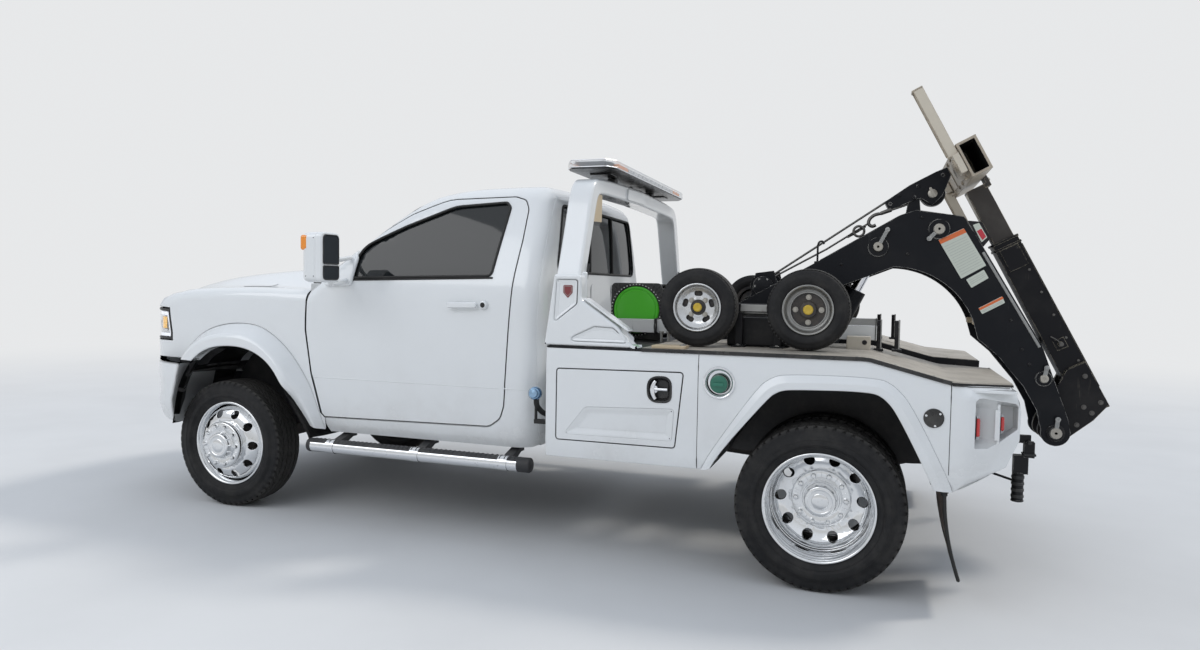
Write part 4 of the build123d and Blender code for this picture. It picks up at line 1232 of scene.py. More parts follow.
@dataclass
class Palette:
    """Every finish of the truck, made once."""

    made: dict[str, bpy.types.Material] = field(default_factory=dict)

    def __getitem__(self, name: str) -> bpy.types.Material:
        """Finish of a name."""
        return self.made[name]

    def fill(self) -> Palette:
        """Build all finishes.

        Returns:
            This palette.
        """
        kinds = (
            Paint("body_white", WHITE),
            # Body white darkened to grey: painted shade for body-coloured faces in door jambs, the bumper's
            # return and the lamp recesses; also the light bar's inner plate
            Paint("liner_white", (0.55, 0.56, 0.56), rough=0.35, coat=0.2),
            Paint("reel_green", (0.055, 0.46, 0.006), rough=0.4, coat=0.25),
            Paint("cap_green", (0.01, 0.16, 0.10), rough=0.4, coat=0.3),
            Paint("shield_red", (0.20, 0.012, 0.018), rough=0.35),
            Paint("label_white", (0.62, 0.66, 0.58), rough=0.4, coat=0.1),
            Paint("label_grey", (0.40, 0.43, 0.40), rough=0.4, coat=0.1),
            Paint("label_orange", (0.75, 0.16, 0.04), rough=0.4, coat=0.1),
            Paint("label_red", (0.55, 0.03, 0.05), rough=0.4, coat=0.1),
            Paint("label_beige", (0.60, 0.48, 0.32), rough=0.5, coat=0.1),
            WornCoat("frame_black", (0.010, 0.010, 0.012), wear=0.4, scuff=0.1, shine=0.25),
            WornCoat("boom_black", (0.005, 0.006, 0.009), rough=0.38, wear=0.7, scuff=0.08, dust=0.06,
                     shine=0.2),
            WornCoat("stinger_black", (0.006, 0.006, 0.008), bare=(0.40, 0.36, 0.28), wear=1.4, scuff=0.16,
                     dust=0.12, shine=0.2),
            WornCoat("bar_beige", (0.42, 0.36, 0.28), bare=(0.07, 0.05, 0.038), wear=1.2, scuff=0.85),
            WornCoat("slide_worn", (0.030, 0.024, 0.020), bare=(0.42, 0.36, 0.27), rough=0.5, wear=2.2,
                     scuff=0.45),
            WornCoat("claw_steel", (0.62, 0.56, 0.46), bare=(0.20, 0.13, 0.10), wear=1.2, scuff=0.6),
            WornCoat("dolly_bar_white", (0.66, 0.66, 0.64), bare=(0.25, 0.24, 0.23), wear=0.8, scuff=0.7),
            WornCoat("plate_grey", (0.30, 0.30, 0.29), bare=(0.6, 0.6, 0.58), rough=0.4, wear=0.8),
            Bright("rim_alloy", (0.80, 0.81, 0.82), 0.07, 0.08, 0.15),
            Bright("dolly_alloy", (0.62, 0.63, 0.64), 0.25, 0.2, 0.5),
            Bright("dull_grey", (0.36, 0.36, 0.35), 0.4, 0.2, 0.6),
            Bright("chrome", (0.80, 0.81, 0.83), 0.05, 0.08, 0.2),
            Bright("rod_chrome", (0.78, 0.78, 0.80), 0.1, 0.1, 0.2),
            Bright("pin_grey", (0.42, 0.40, 0.36), 0.38, 0.15, 0.5),
            Bright("hook_iron", (0.13, 0.125, 0.12), 0.4, 0.2, 0.4),
            Bright("blue_steel", (0.30, 0.45, 0.62), 0.2, 0.1, 0.3),
            Bright("exhaust_steel", (0.40, 0.37, 0.34), 0.4, 0.2, 0.8),
            Cast("engine_iron", (0.16, 0.16, 0.17)),
            Cast("axle_iron", (0.035, 0.035, 0.038)),
            Plastic("trim_black", (0.022, 0.022, 0.024)),
            Plastic("smooth_black", (0.012, 0.012, 0.013), rough=0.25, grain=0.03),
            Plastic("seal_black", (0.008, 0.008, 0.008), rough=0.6, grain=0.05, dust=0.1),
            Plastic("roof_liner", (0.19, 0.19, 0.18), rough=0.85),
            Plastic("hub_yellow", (0.62, 0.42, 0.03), rough=0.4, grain=0.05, dust=0.6),
            Tyre("tyre_front", 0.0, 405.0, 0.405),
            Tyre("tyre_rear", 3670.0, 405.0, 0.405),
            Tyre("tyre_dolly_front", DOLLY_AXLES[0], DOLLY_Z, 0.205),
            Tyre("tyre_dolly_rear", DOLLY_AXLES[1], DOLLY_Z, 0.205),
            Pane("glass"),
            Pane("mirror", (0.035, 0.04, 0.045), 1.0),
            Lens("lamp_clear", (0.78, 0.80, 0.82), solid=0.32),
            Lens("head_clear", (0.80, 0.82, 0.84), solid=0.10),
            Lens("lamp_white", (0.95, 0.96, 1.0), glow=0.35),
            Lens("lamp_yellow", (0.90, 0.48, 0.02), glow=0.35),
            Lens("lamp_amber", (0.80, 0.25, 0.01), glow=0.1),
            Lens("lamp_red", (0.55, 0.012, 0.012), glow=0.05),
            Lens("bar_lens", (0.50, 0.51, 0.53), ribs=900.0),
            Strip("deck_strip"),
            Cloth("seat_cloth", (0.045, 0.045, 0.05)),
            Rope("wire_rope"),
            Flap("flap_rubber"),
        )
        for kind in kinds:
            self.made[kind.name] = kind.make()
        return self


# Curved body forms


def through(points: Sequence[Point2]) -> Callable[[Array], Array]:
    """Smooth curve through points, without overshoot.

    Args:
        points: Pairs of (position, value), positions rising.

    Returns:
        Function that gives the value at any position.
    """
    t, v = np.array(points, float).T
    run = np.diff(v) / np.diff(t)
    slope = np.zeros(len(t))
    slope[0], slope[-1] = run[0], run[-1]
    same = run[:-1] * run[1:] > 0
    pairs = np.where(same, 2 * run[:-1] * run[1:] / np.where(same, run[:-1] + run[1:], 1), 0)
    slope[1:-1] = pairs

    def value(at: Array) -> Array:
        """Value at positions.

        Args:
            at: Positions.

        Returns:
            The curve's value at each of them.
        """
        x = np.clip(at, t[0], t[-1])
        k = np.clip(np.searchsorted(t, x) - 1, 0, len(t) - 2)
        width = t[k + 1] - t[k]
        s = (x - t[k]) / width
        a = v[k] * (1 + 2 * s) * (1 - s) ** 2 + width * slope[k] * s * (1 - s) ** 2
        b = v[k + 1] * s * s * (3 - 2 * s) + width * slope[k + 1] * s * s * (s - 1)
        return a + b

    return value


def meet(a: Array, b: Array, radius: float) -> Array:
    """Intersection of two fields with a rounded edge."""
    corner = np.hypot(np.maximum(a + radius, 0), np.maximum(b + radius, 0))
    return np.minimum(np.maximum(a, b), -radius) + corner


def ease(t: Array) -> Array:
    """Smooth step from 0 to 1."""
    s = np.clip(t, 0, 1)
    return s * s * (3 - 2 * s)


def soften(line: Sequence[Point2], times: int = 3) -> Array:
    """Open line with its corners cut round.

    Args:
        line: Points of the line.
        times: How often the corners are cut.

    Returns:
        The softer line.
    """
    pts = np.array(line, float)
    for _ in range(times):
        a, b = pts[:-1] * 0.75 + pts[1:] * 0.25, pts[:-1] * 0.25 + pts[1:] * 0.75
        pts = np.concatenate([pts[:1], np.stack([a, b], 1).reshape(-1, 2), pts[-1:]])
    return pts


def evenly(line: Array, count: int) -> Array:
    """Open line cut into equal lengths.

    Args:
        line: Points of the line.
        count: Number of points wanted.

    Returns:
        The new points.
    """
    far = np.concatenate([[0], np.cumsum(np.linalg.norm(np.diff(line, axis=0), axis=1))])
    at = np.linspace(0, far[-1], count)
    return np.stack([np.interp(at, far, line[:, k]) for k in range(line.shape[1])], 1)


def arc_points(start: Point2, middle: Point2, end: Point2, count: int = 24) -> Array:
    """Points of the arc through three points.

    Args:
        start: First point.
        middle: A point on the way.
        end: Last point.
        count: Number of points wanted.

    Returns:
        The points.
    """
    (ax, ay), (bx, by), (cx, cy) = start, middle, end
    d = 2 * (ax * (by - cy) + bx * (cy - ay) + cx * (ay - by))
    ux = ((ax**2 + ay**2) * (by - cy) + (bx**2 + by**2) * (cy - ay) + (cx**2 + cy**2) * (ay - by)) / d
    uy = ((ax**2 + ay**2) * (cx - bx) + (bx**2 + by**2) * (ax - cx) + (cx**2 + cy**2) * (bx - ax)) / d
    radius = math.hypot(ax - ux, ay - uy)
    angles = [math.atan2(p[1] - uy, p[0] - ux) for p in (start, middle, end)]
    for k in (1, 2):
        while angles[k] - angles[k - 1] > math.pi:
            angles[k] -= 2 * math.pi
        while angles[k] - angles[k - 1] < -math.pi:
            angles[k] += 2 * math.pi
    turn = np.linspace(angles[0], angles[2], count)
    return np.stack([ux + radius * np.cos(turn), uy + radius * np.sin(turn)], 1)


@dataclass
class Form:
    """Closed curved form given by a field that is negative inside, and a chart of rays from its middle."""

    middle: Point3

    def field(self, p: Array) -> Array:
        """Value at points: negative inside, positive outside."""
        raise NotImplementedError

    def reach(self, origin: Array, way: Array, far: float = 2600.0) -> Array:
        """Where rays from inside leave the form.

        Args:
            origin: Start of each ray.
            way: Direction of each ray.
            far: Longest distance.

        Returns:
            The points on the surface.
        """
        low, high = np.zeros(len(origin)), np.full(len(origin), far)
        for _ in range(24):
            mid = (low + high) / 2
            inside = self.field(origin + mid[:, None] * way) < 0
            low, high = np.where(inside, mid, low), np.where(inside, high, mid)
        return origin + low[:, None] * way

    def __call__(self, uv: Array, depth: Array) -> Array:
        """Point of the chart at (u, v), sunk towards the middle.

        Args:
            uv: Chart positions.
            depth: How deep each is sunk.

        Returns:
            The points in space.
        """
        angle = uv[:, 1] / 1000
        way = unit(np.stack([uv[:, 0] / 1000, -np.sin(angle), np.cos(angle)], 1))
        start = np.broadcast_to(np.array(self.middle, float), way.shape)
        return self.reach(start, way) - depth[:, None] * way

    def chart(self, points: Array) -> Array:
        """Chart position of points on the surface.

        Args:
            points: The points.

        Returns:
            Their chart positions.
        """
        rel = points - np.array(self.middle)
        across = np.hypot(rel[:, 1], rel[:, 2])
        return np.stack([1000 * rel[:, 0] / across, 1000 * np.arctan2(-rel[:, 1], rel[:, 2])], 1)

    def from_side(self, outline: Array, y: float = 0.0) -> Array:
        """Chart position of an outline drawn as seen from the driver's side."""
        origin = np.stack([outline[:, 0], np.full(len(outline), y), outline[:, 1]], 1)
        return self.chart(self.reach(origin, np.array([0.0, -1.0, 0.0])))

    def from_end(self, outline: Array, x: float, way: float) -> Array:
        """Chart position of (y, z) points seen from the front (way -1) or the rear (way 1)."""
        origin = np.stack([np.full(len(outline), x), outline[:, 0], outline[:, 1]], 1)
        return self.chart(self.reach(origin, np.array([way, 0.0, 0.0])))


def anticlockwise(loop: Array) -> Array:
    """Loop turned the way that panels expect."""
    nxt = np.roll(loop, -1, 0)
    return loop if np.sum(loop[:, 0] * nxt[:, 1] - nxt[:, 0] * loop[:, 1]) > 0 else loop[::-1]


@dataclass
class CabForm(Form):
    """Outside of the cab."""

    middle: Point3 = (1350.0, 0.0, 1250.0)
    shoulder: float = 78.0
    rear_corner: float = 105.0
    ridge: Callable[[Array], Array] = through([
        (300, 1300), (560, 1490), (640, 1556), (1215, 1972), (1330, 2012), (1600, 2045), (1950, 2050),
        (2090, 2040), (2300, 2020)])
    flank: Callable[[Array], Array] = through([
        (500, 978), (560, 1000), (640, 1009), (858, 1010), (876, 1014), (1150, 1013), (1320, 1006),
        (1430, 994), (1490, 978), (1600, 934), (1800, 844), (1930, 784), (2060, 722)])
    back: Callable[[Array], Array] = through([
        (500, 2118), (600, 2140), (1200, 2165), (1640, 2158), (1985, 2140), (2100, 2130)])

    def field(self, p: Array) -> Array:
        """Value at points.

        Args:
            p: The points.

        Returns:
            Negative inside, positive outside.
        """
        x, y, z = p[:, 0], np.abs(p[:, 1]), p[:, 2]
        bow = (y / 760) ** 2
        top = (z - self.ridge(x - 55 * bow) + 20 * bow) * 0.9
        side = (y - self.flank(z)) * 0.95
        rear = x - self.back(z) + 26 * (y / 900) ** 2
        return meet(meet(top, side, self.shoulder), rear, self.rear_corner)


@dataclass
class NoseForm(Form):
    """Outside of the hood, the fenders and the front end."""

    middle: Point3 = (-60.0, 0.0, 900.0)
    bonnet: Callable[[Array], Array] = through([
        (-960, 1235), (-900, 1300), (-860, 1354), (-700, 1424), (-540, 1466), (-375, 1496), (-175, 1520),
        (200, 1550), (700, 1580)])
    fender: Callable[[Array], Array] = through([
        (-960, 1200), (-800, 1290), (-600, 1362), (-523, 1378), (-320, 1404), (90, 1418), (560, 1408),
        (900, 1400)])
    flank: Callable[[Array], Array] = through([
        (-900, 860), (-760, 925), (-600, 975), (-450, 999), (-250, 1008), (0, 1011), (760, 1012)])
    lip: Array = field(default_factory=lambda: soften([
        (-380, 520), (-346, 700), (-318, 790), (-250, 905), (-163, 982), (-64, 1026), (64, 1041), (190, 1035),
        (304, 998), (405, 928), (486, 810), (555, 707), (673, 544), (700, 480)], 2))
    brow: Array = field(default_factory=lambda: soften([
        (-440, 800), (-424, 900), (-375, 1005), (-238, 1113), (-94, 1163), (58, 1181), (197, 1172),
        (322, 1119), (455, 1015), (557, 885), (617, 787), (677, 641), (721, 544)], 2))

    def field(self, p: Array) -> Array:
        """Value at points.

        Args:
            p: The points.

        Returns:
            Negative inside, positive outside.
        """
        x, y, z = p[:, 0], np.abs(p[:, 1]), p[:, 2]
        blend = ease((y - 500) / 330)
        crown = 16 * (y / 500).clip(0, 1) ** 2 * (1 - blend)
        top = (z - self.bonnet(x) * (1 - blend) - self.fender(x) * blend + crown + 10 * (y / 1000) ** 2) * 0.9
        side = y - self.flank(x) + 14 * ease((z - 1180) / 260)
        front = -868 + (y / 1000) ** 2 * 150 + 20 * ease((1100 - z) / 300) - x
        return meet(meet(top, side, 62.0), front, 85.0)


# Nodes of the frame that are shown as they are, with a finish and rolled edges


@dataclass(frozen=True)
class Dress:
    """How one node of the frame is shown."""

    node: str
    finish: str
    edge: float = 2.0
    angle: float = 32.0


def smooth_group() -> bpy.types.NodeTree:
    """Modifier tree that shades a mesh smooth.

    Returns:
        The tree.
    """
    group = bpy.data.node_groups.new("shade_smooth", "GeometryNodeTree")
    for word, way in (("Mesh in", "INPUT"), ("Mesh out", "OUTPUT")):
        group.interface.new_socket(name=word, in_out=way, socket_type="NodeSocketGeometry")
    start = group.nodes.new("NodeGroupInput")
    shade = group.nodes.new("GeometryNodeSetShadeSmooth")
    end = group.nodes.new("NodeGroupOutput")
    group.links.new(start.outputs[0], shade.inputs[0])
    group.links.new(shade.outputs[0], end.inputs[0])
    return group


def dress(frame: dict[str, object], palette: Palette, plans: Sequence[Dress]) -> None:
    """Give nodes of the frame their finish and rolled edges by modifiers.

    Args:
        palette: The finishes.
        plans: One entry for each node.
    """
    group = smooth_group()
    for plan in plans:
        node = frame["nodes"][plan.node]
        node.data.materials.clear()
        node.data.materials.append(palette[plan.finish])
        node.modifiers.new("smooth", "NODES").node_group = group
        weld = node.modifiers.new("weld", "WELD")
        weld.merge_threshold = 0.00005
        flat = node.modifiers.new("flat", "DECIMATE")
        flat.decimate_type = "DISSOLVE"
        flat.angle_limit = math.radians(0.7)
        if plan.edge:
            bevel = node.modifiers.new("edge", "BEVEL")
            bevel.width = plan.edge * MM
            bevel.segments = 2
            bevel.limit_method = "ANGLE"
            bevel.angle_limit = math.radians(plan.angle)
            bevel.miter_outer = "MITER_ARC"
        normals = node.modifiers.new("normals", "WEIGHTED_NORMAL")
        normals.keep_sharp = True
        normals.weight = 60
        LOG.info("%s dressed in %s", plan.node, plan.finish)


# Wheels

REAR_AXLE = 3670.0
AXLE_Z = 405.0
DOLLY_AXLES = (3026.0, 3583.0)
DOLLY_Z = 1347.0


@dataclass(frozen=True)
class Dish:
    """Surface of revolution round a wheel's axis, drawn on by (distance behind it, distance above it)."""

    centre: Point3
    rise: Callable[[Array], Array]

    def __call__(self, uv: Array, depth: Array) -> Array:
        """Point at (u, v), sunk by a depth towards the middle of the truck.

        Args:
            uv: Positions on the surface.
            depth: How deep each is sunk.

        Returns:
            The points in space.
        """
        x, y, z = self.centre
        out = self.rise(np.hypot(uv[:, 0], uv[:, 1]))
        return np.stack([x + uv[:, 0], y - out + depth, z + uv[:, 1]], 1)


@dataclass(frozen=True)
class Tread:
    """Blocks round a tyre."""

    centre: Point3
    radius: float
    half: float
    pitches: int
    rows: tuple[tuple[float, float, float, float], ...]
    depth: float = 11.0
    crown: float = 5.0
    gap: float = 0.13
    chamfer: float = 1.6

    def shape(self, finish: int = 0) -> Shape:
        """Build the blocks.

        Args:
            finish: Index of the material.

        Returns:
            All blocks in one shape.
        """
        step = 2 * math.pi / self.pitches
        turn = np.arange(self.pitches) * step
        made = Shape()
        for low, high, phase, skew in self.rows:
            a0 = turn + (phase + self.gap / 2) * step
            a1 = turn + (phase + 1 - self.gap / 2) * step
            middle = (low + high) / 2
            c = self.chamfer
            rings = []
            for drop, inset in ((self.depth, 0.0), (c, 0.0), (0.0, c)):
                da = inset / self.radius
                y0, y1 = low + inset, high - inset
                lean0, lean1 = skew * (y0 - middle) * step / 10, skew * (y1 - middle) * step / 10
                for angle, y in ((a0 + da + lean0, y0), (a1 - da + lean0, y0), (a1 - da + lean1, y1),
                                 (a0 + da + lean1, y1)):
                    r = self.radius - drop - self.crown * (y / self.half) ** 2
                    x0, yc, z0 = self.centre
                    rings.append(np.stack([x0 + r * np.sin(angle), np.full_like(angle, yc + y),
                                           z0 + r * np.cos(angle)], 1))
            pts = np.stack(rings, 1)
            faces = [(8, 9, 10, 11)]
            for k in range(4):
                j = (k + 1) % 4
                faces += [(k, j, 4 + j, 4 + k), (4 + k, 4 + j, 8 + j, 8 + k)]
            every = [tuple(12 * i + f for f in face) for i in range(self.pitches) for face in faces]
            made.add(pts.reshape(-1, 3), every, finish)
        return made


TYRE_WALL = [(-72, 250), (-77, 262), (-88, 273), (-99, 288), (-107, 305), (-110, 306.5), (-111, 311),
             (-112, 325), (-111, 341), (-109.5, 342), (-108.5, 349), (-107, 350), (-105, 362), (-103, 372),
             (-100.5, 381), (-97, 388), (-90, 391), (-60, 393.5), (0, 394)]
LIP = [(74, 258), (79, 266), (86, 269.5), (91, 267), (93, 262), (91, 257), (84, 252.5), (70, 249),
       (58, 244.5), (48, 240)]
ROAD_ROWS = ((-91.0, -58.0, 0.0, 0.35), (-52.0, -20.0, 0.35, -0.4), (-15.0, 15.0, 0.7, 0.4),
             (20.0, 52.0, 0.05, -0.4), (58.0, 91.0, 0.5, 0.35))


@dataclass
class RoadWheels:
    """Front wheels and twin rear wheels with their tyres."""

    palette: Palette
    front_y: float = 951.0
    rear_outer_y: float = 1083.0
    rear_inner_y: float = 811.0

    def tyre(self, x: float, centre_y: float) -> Shape:
        """One tyre on the driver's side.

        Args:
            x: Axle's distance behind the front axle.
            centre_y: Distance of its middle from the truck's middle.

        Returns:
            Carcass with sidewall ribs, shoulder lugs and tread.
        """
        centre = (x, -centre_y, AXLE_Z)
        wall = TYRE_WALL + [(-a, r) for a, r in TYRE_WALL[-2::-1]]
        made = turned(wall, centre, (0, -1, 0), 96, crease=60)
        made.join(Tread(centre, 405.0, 91.0, 56, ROAD_ROWS).shape())
        turn = np.arange(56) * 2 * math.pi / 56
        for hand in (-1, 1):
            for angle in turn + (0.28 if hand > 0 else 0.0) * 2 * math.pi / 56:
                rows = []
                for radius, out in ((366.0, 103.0), (378.0, 104.5), (389.0, 100.0), (398.0, 93.0)):
                    for da in (-0.033, 0.033):
                        a = angle + da * (1.0 if radius > 370 else 0.8)
                        rows.append((x + radius * math.sin(a), -centre_y + hand * out,
                                     AXLE_Z + radius * math.cos(a)))
                faces = [(2 * k, 2 * k + 1, 2 * k + 3, 2 * k + 2) for k in range(3)]
                made.add(np.array(rows), faces if hand < 0 else [f[::-1] for f in faces])
        for radius in (296.0, 333.0):
            ring = [(x + radius * math.sin(t), -centre_y, AXLE_Z + radius * math.cos(t)) for t in turn]
            out = float(np.interp(radius, [r for _, r in TYRE_WALL], [-a for a, _ in TYRE_WALL]))
            for hand in (-1, 1):
                path = [(p[0], p[1] + hand * out, p[2]) for p in ring]
                made.join(tube(path, 1.4, 6, loop=True))
        return made

    @staticmethod
    def nuts(centre: Point3, out: float, ring: float, count: int = 10, finish: int = 0) -> Shape:
        """Ring of covered lug nuts that point to the driver's side.

        Args:
            centre: Middle of the wheel.
            out: How far outside of it the nuts stand.
            ring: Radius of the ring.
            count: Number of nuts.
            finish: Index of the material.

        Returns:
            The nuts.
        """
        made = Shape()
        for k in range(count):
            a = 2 * math.pi * (k + 0.5) / count
            spot = (centre[0] + ring * math.sin(a), centre[1] - out, centre[2] + ring * math.cos(a))
            made.join(turned([(-6, 17), (1, 17), (2.5, 15), (2.5, 13), (17, 12), (21, 9), (22.5, 0)], spot,
                             (0, -1, 0), 14, finish, 40))
        return made

    @staticmethod
    def ring_of_holes(ring: float, radius: float, count: int, shift: float = 0.5) -> list[Array]:
        """Round hole outlines on a ring."""
        turn = [2 * math.pi * (k + shift) / count for k in range(count)]
        return [circle((ring * math.sin(a), ring * math.cos(a)), radius, 24) for a in turn]

    def hub_cover(self, centre: Point3, face: float, reach: float) -> Shape:
        """Drum-shaped hub cover with its lug covers and blank cap.

        Args:
            centre: Middle of the wheel.
            face: How far the drum's face stands outboard of it.
            reach: How far the cap stands outboard of it.

        Returns:
            The cover.
        """
        drum = [(face - 46, 152), (face - 44, 148), (face - 8, 146), (face - 2.5, 143), (face, 138),
                (face, 104), (face - 2, 100), (face - 2, 92), (face + 1, 89), (face + 1, 84), (face + 3, 82),
                (reach - 9, 78), (reach - 3, 75), (reach, 69), (reach, 60), (reach - 2, 58), (reach - 3, 55),
                (reach - 3, 42), (reach - 1, 40), (reach + 0.5, 36), (reach + 3, 20), (reach + 3.5, 0)]
        made = turned(drum, centre, (0, -1, 0), 72, crease=40)
        made.join(self.nuts(centre, face - 1, 121.0))
        for k in range(10):
            a = 2 * math.pi * k / 10
            low = (centre[0] + 108 * math.sin(a), centre[1] - face + 0.5, centre[2] + 108 * math.cos(a))
            high = (centre[0] + 136 * math.sin(a), centre[1] - face + 0.5, centre[2] + 136 * math.cos(a))
            made.join(tube([low, high], 2.0, 8))
        return made

    def rim(self, x: float, centre_y: float, disc: Sequence[Point2], holes: float = 26.0) -> Shape:
        """Barrel and disc of one wheel.

        Args:
            x: Axle's distance behind the front axle.
            centre_y: Distance of its middle from the truck's middle.
            disc: Pairs of (radius, distance outboard of the middle), radius rising.
            holes: Radius of the hand holes.

        Returns:
            The rim.
        """
        centre = (x, -centre_y, AXLE_Z)
        line = LIP + [(-a, r) for a, r in LIP[::-1]]
        made = turned(line, centre, (0, -1, 0), 96, crease=50)
        cuts = self.ring_of_holes(197.0, holes, 10) + [circle((0, 0), 92, 40)]
        made.join(panel(circle((0, 0), 240.0, 96), cuts, Dish(centre, through(disc)), 11, 2.5, 15))
        made.join(rod((x + 150, -centre_y - 62, AXLE_Z + 186),
                      (x + 152, -centre_y - 96, AXLE_Z + 188), 4, 10))
        return made

    def build(self) -> None:
        """Write all pieces."""
        metal = [self.palette["rim_alloy"], self.palette["axle_iron"]]
        front_disc = [(88, 112), (150, 114), (158, 117), (170, 116), (184, 111), (197, 105), (215, 94),
                      (228, 78), (236, 62), (241, 50)]
        rear_disc = [(88, -134), (150, -133), (158, -129), (170, -128), (184, -124), (197, -118), (215, -107),
                     (228, -92), (236, -74), (241, -58)]
        for side in Side:
            front = self.rim(0.0, self.front_y, front_disc)
            front.join(self.hub_cover((0.0, -self.front_y, AXLE_Z), 158, 188))
            front.join(turned([(-95, 60), (-95, 175), (60, 175), (88, 120), (100, 90)],
                              (0, -self.front_y, AXLE_Z), (0, -1, 0), 48, 1))
            front.on(side).piece(f"rim_front_{side.word}_shown", metal, f"wheel_front_{side.word}",
                                 "rim_alloy", [f"rim_front_{side.word}"])
            self.tyre(0.0, self.front_y).on(side).piece(
                f"tyre_front_{side.word}_shown", [self.palette["tyre_front"]],
                f"wheel_front_{side.word}", "tyre", [f"tyre_front_{side.word}"])
            rear = self.rim(REAR_AXLE, self.rear_outer_y, rear_disc)
            rear.join(self.hub_cover((REAR_AXLE, -self.rear_outer_y, AXLE_Z), -106, -42))
            inner = [(r, 272 + h) for r, h in rear_disc]
            rear.join(self.rim(REAR_AXLE, self.rear_inner_y, [(r, h - 12) for r, h in inner]))
            rear.join(turned([(-235, 75), (-235, 178), (70, 178), (128, 150), (130, 90)],
                             (REAR_AXLE, -self.rear_inner_y, AXLE_Z), (0, -1, 0), 48, 1))
            rear.on(side).piece(f"rim_rear_{side.word}_shown", metal, f"wheel_rear_{side.word}", "rim_alloy",
                                [f"rim_rear_{side.word}"])
            tyres = self.tyre(REAR_AXLE, self.rear_outer_y).join(self.tyre(REAR_AXLE, self.rear_inner_y))
            tyres.on(side).piece(f"tyre_rear_{side.word}_shown", [self.palette["tyre_rear"]],
                                 f"wheel_rear_{side.word}", "tyre", [f"tyre_rear_{side.word}"])


@dataclass
class DollyWheels:
    """Four small wheels of the tow dollies."""

    palette: Palette
    places: tuple[float, float] = DOLLY_AXLES
    centre_y: float = 955.0
    centre_z: float = DOLLY_Z

    def tyre(self, x: float) -> Shape:
        """Small tyre with fine tread.

        Args:
            x: Where the axle is.

        Returns:
            The tyre.
        """
        centre = (x, -self.centre_y, self.centre_z)
        wall = [(-42, 118), (-45, 126), (-52, 134), (-57, 146), (-59.5, 158), (-60, 168), (-58.5, 170),
                (-57.5, 180), (-54, 189), (-49, 195), (-40, 197), (0, 198)]
        made = turned(wall + [(-a, r) for a, r in wall[-2::-1]], centre, (0, -1, 0), 80, crease=60)
        rows = ((-46.0, -28.0, 0.0, 0.5), (-25.0, -9.0, 0.4, -0.6), (-7.0, 7.0, 0.7, 0.5),
                (9.0, 25.0, 0.1, -0.6), (28.0, 46.0, 0.5, 0.5))
        return made.join(Tread(centre, 205.0, 48.0, 62, rows, 7.0, 4.0, 0.2, 0.9).shape())

    def polished(self, x: float) -> Shape:
        """Bright wheel with five long holes.

        Args:
            x: Where the axle is.

        Returns:
            The wheel.
        """
        centre = (x, -self.centre_y, self.centre_z)
        lip = [(44, 118), (48, 124), (52, 125), (54, 122), (53, 118), (46, 114), (34, 110), (30, 104)]
        made = turned(lip, centre, (0, -1, 0), 64, crease=50)
        made.join(turned([(20, 104), (-50, 104), (-54, 124)], centre, (0, -1, 0), 48, 1))
        rise = through([(20, 16), (46, 15), (60, 12), (80, 15), (95, 24), (106, 32)])
        holes = [slot((72 * math.sin(a), 72 * math.cos(a)), (44, 25), -math.degrees(a))
                 for a in (2 * math.pi * k / 5 for k in range(5))]
        made.join(panel(circle((0, 0), 105.5, 64), holes + [circle((0, 0), 22, 24)], Dish(centre, rise),
                        5, 1.5, 9))
        made.join(self.nuts(centre, 14, 50.0, 0.5))
        made.join(turned([(12, 42), (24, 38), (26, 30), (34, 27), (36, 24)], centre, (0, -1, 0), 32, 1))
        made.join(turned([(-30, 30), (-30, 90), (2, 90), (2, 30)], centre, (0, -1, 0), 40, 1))
        return made.join(self.cap(centre, 36, 23))

    def dull(self, x: float) -> Shape:
        """Grey stamped wheel with a dark middle.

        Args:
            x: Where the axle is.

        Returns:
            The wheel.
        """
        centre = (x, -self.centre_y, self.centre_z)
        lip = [(44, 118), (48, 124), (52, 125), (54, 122), (52, 117), (42, 112), (26, 108), (16, 100),
               (14, 92), (20, 90), (20, 86), (8, 83)]
        made = turned(lip, centre, (0, -1, 0), 64, 2, crease=50)
        made.join(turned([(8, 83), (6, 60), (8, 44), (18, 42), (22, 38), (24, 24)], centre,
                         (0, -1, 0), 48, 1))
        made.join(turned([(14, 104), (-50, 104), (-54, 124)], centre, (0, -1, 0), 48, 1))
        made.join(turned([(-46, 104), (-40, 60), (-40, 0)], centre, (0, -1, 0), 48, 1))
        made.join(self.nuts(centre, 6, 63.0, 0.0))
        return made.join(self.cap(centre, 24, 25))

    def nuts(self, centre: Point3, out: float, ring: float, shift: float) -> Shape:
        """Four wheel nuts.

        Args:
            centre: Middle of the wheel.
            out: How far outside of it the nuts stand.
            ring: Radius of the ring.
            shift: Turn of the ring, in steps between two nuts.

        Returns:
            The nuts.
        """
        made = Shape()
        for k in range(4):
            a = math.pi / 2 * (k + shift)
            spot = (centre[0] + ring * math.sin(a), centre[1] - out, centre[2] + ring * math.cos(a))
            made.join(hexagon(spot, (0, -1, 0), 16, 11, 4))
        return made

    def cap(self, centre: Point3, out: float, radius: float) -> Shape:
        """Yellow grease cap."""
        return turned([(out - 12, radius), (out, radius), (out + 3, radius - 3), (out + 4, radius * 0.6),
                       (out + 2, radius * 0.45), (out + 2, 0)], centre, (0, -1, 0), 28, 3, 50)

    def build(self) -> None:
        """Write all pieces."""
        p = self.palette
        metal = [p["dolly_alloy"], p["axle_iron"], p["dull_grey"], p["hub_yellow"], p["pin_grey"]]
        for side in Side:
            for word, x, make in (("front", self.places[0], self.polished),
                                  ("rear", self.places[1], self.dull)):
                body = f"dolly_wheel_{word}_{side.word}"
                make(x).on(side).piece(f"dolly_rim_{word}_{side.word}", metal, body, "dolly_alloy")
                self.tyre(x).on(side).piece(f"dolly_tyre_{word}_{side.word}", [p[f"tyre_dolly_{word}"]],
                                            body, "tyre", [body])


# Cab


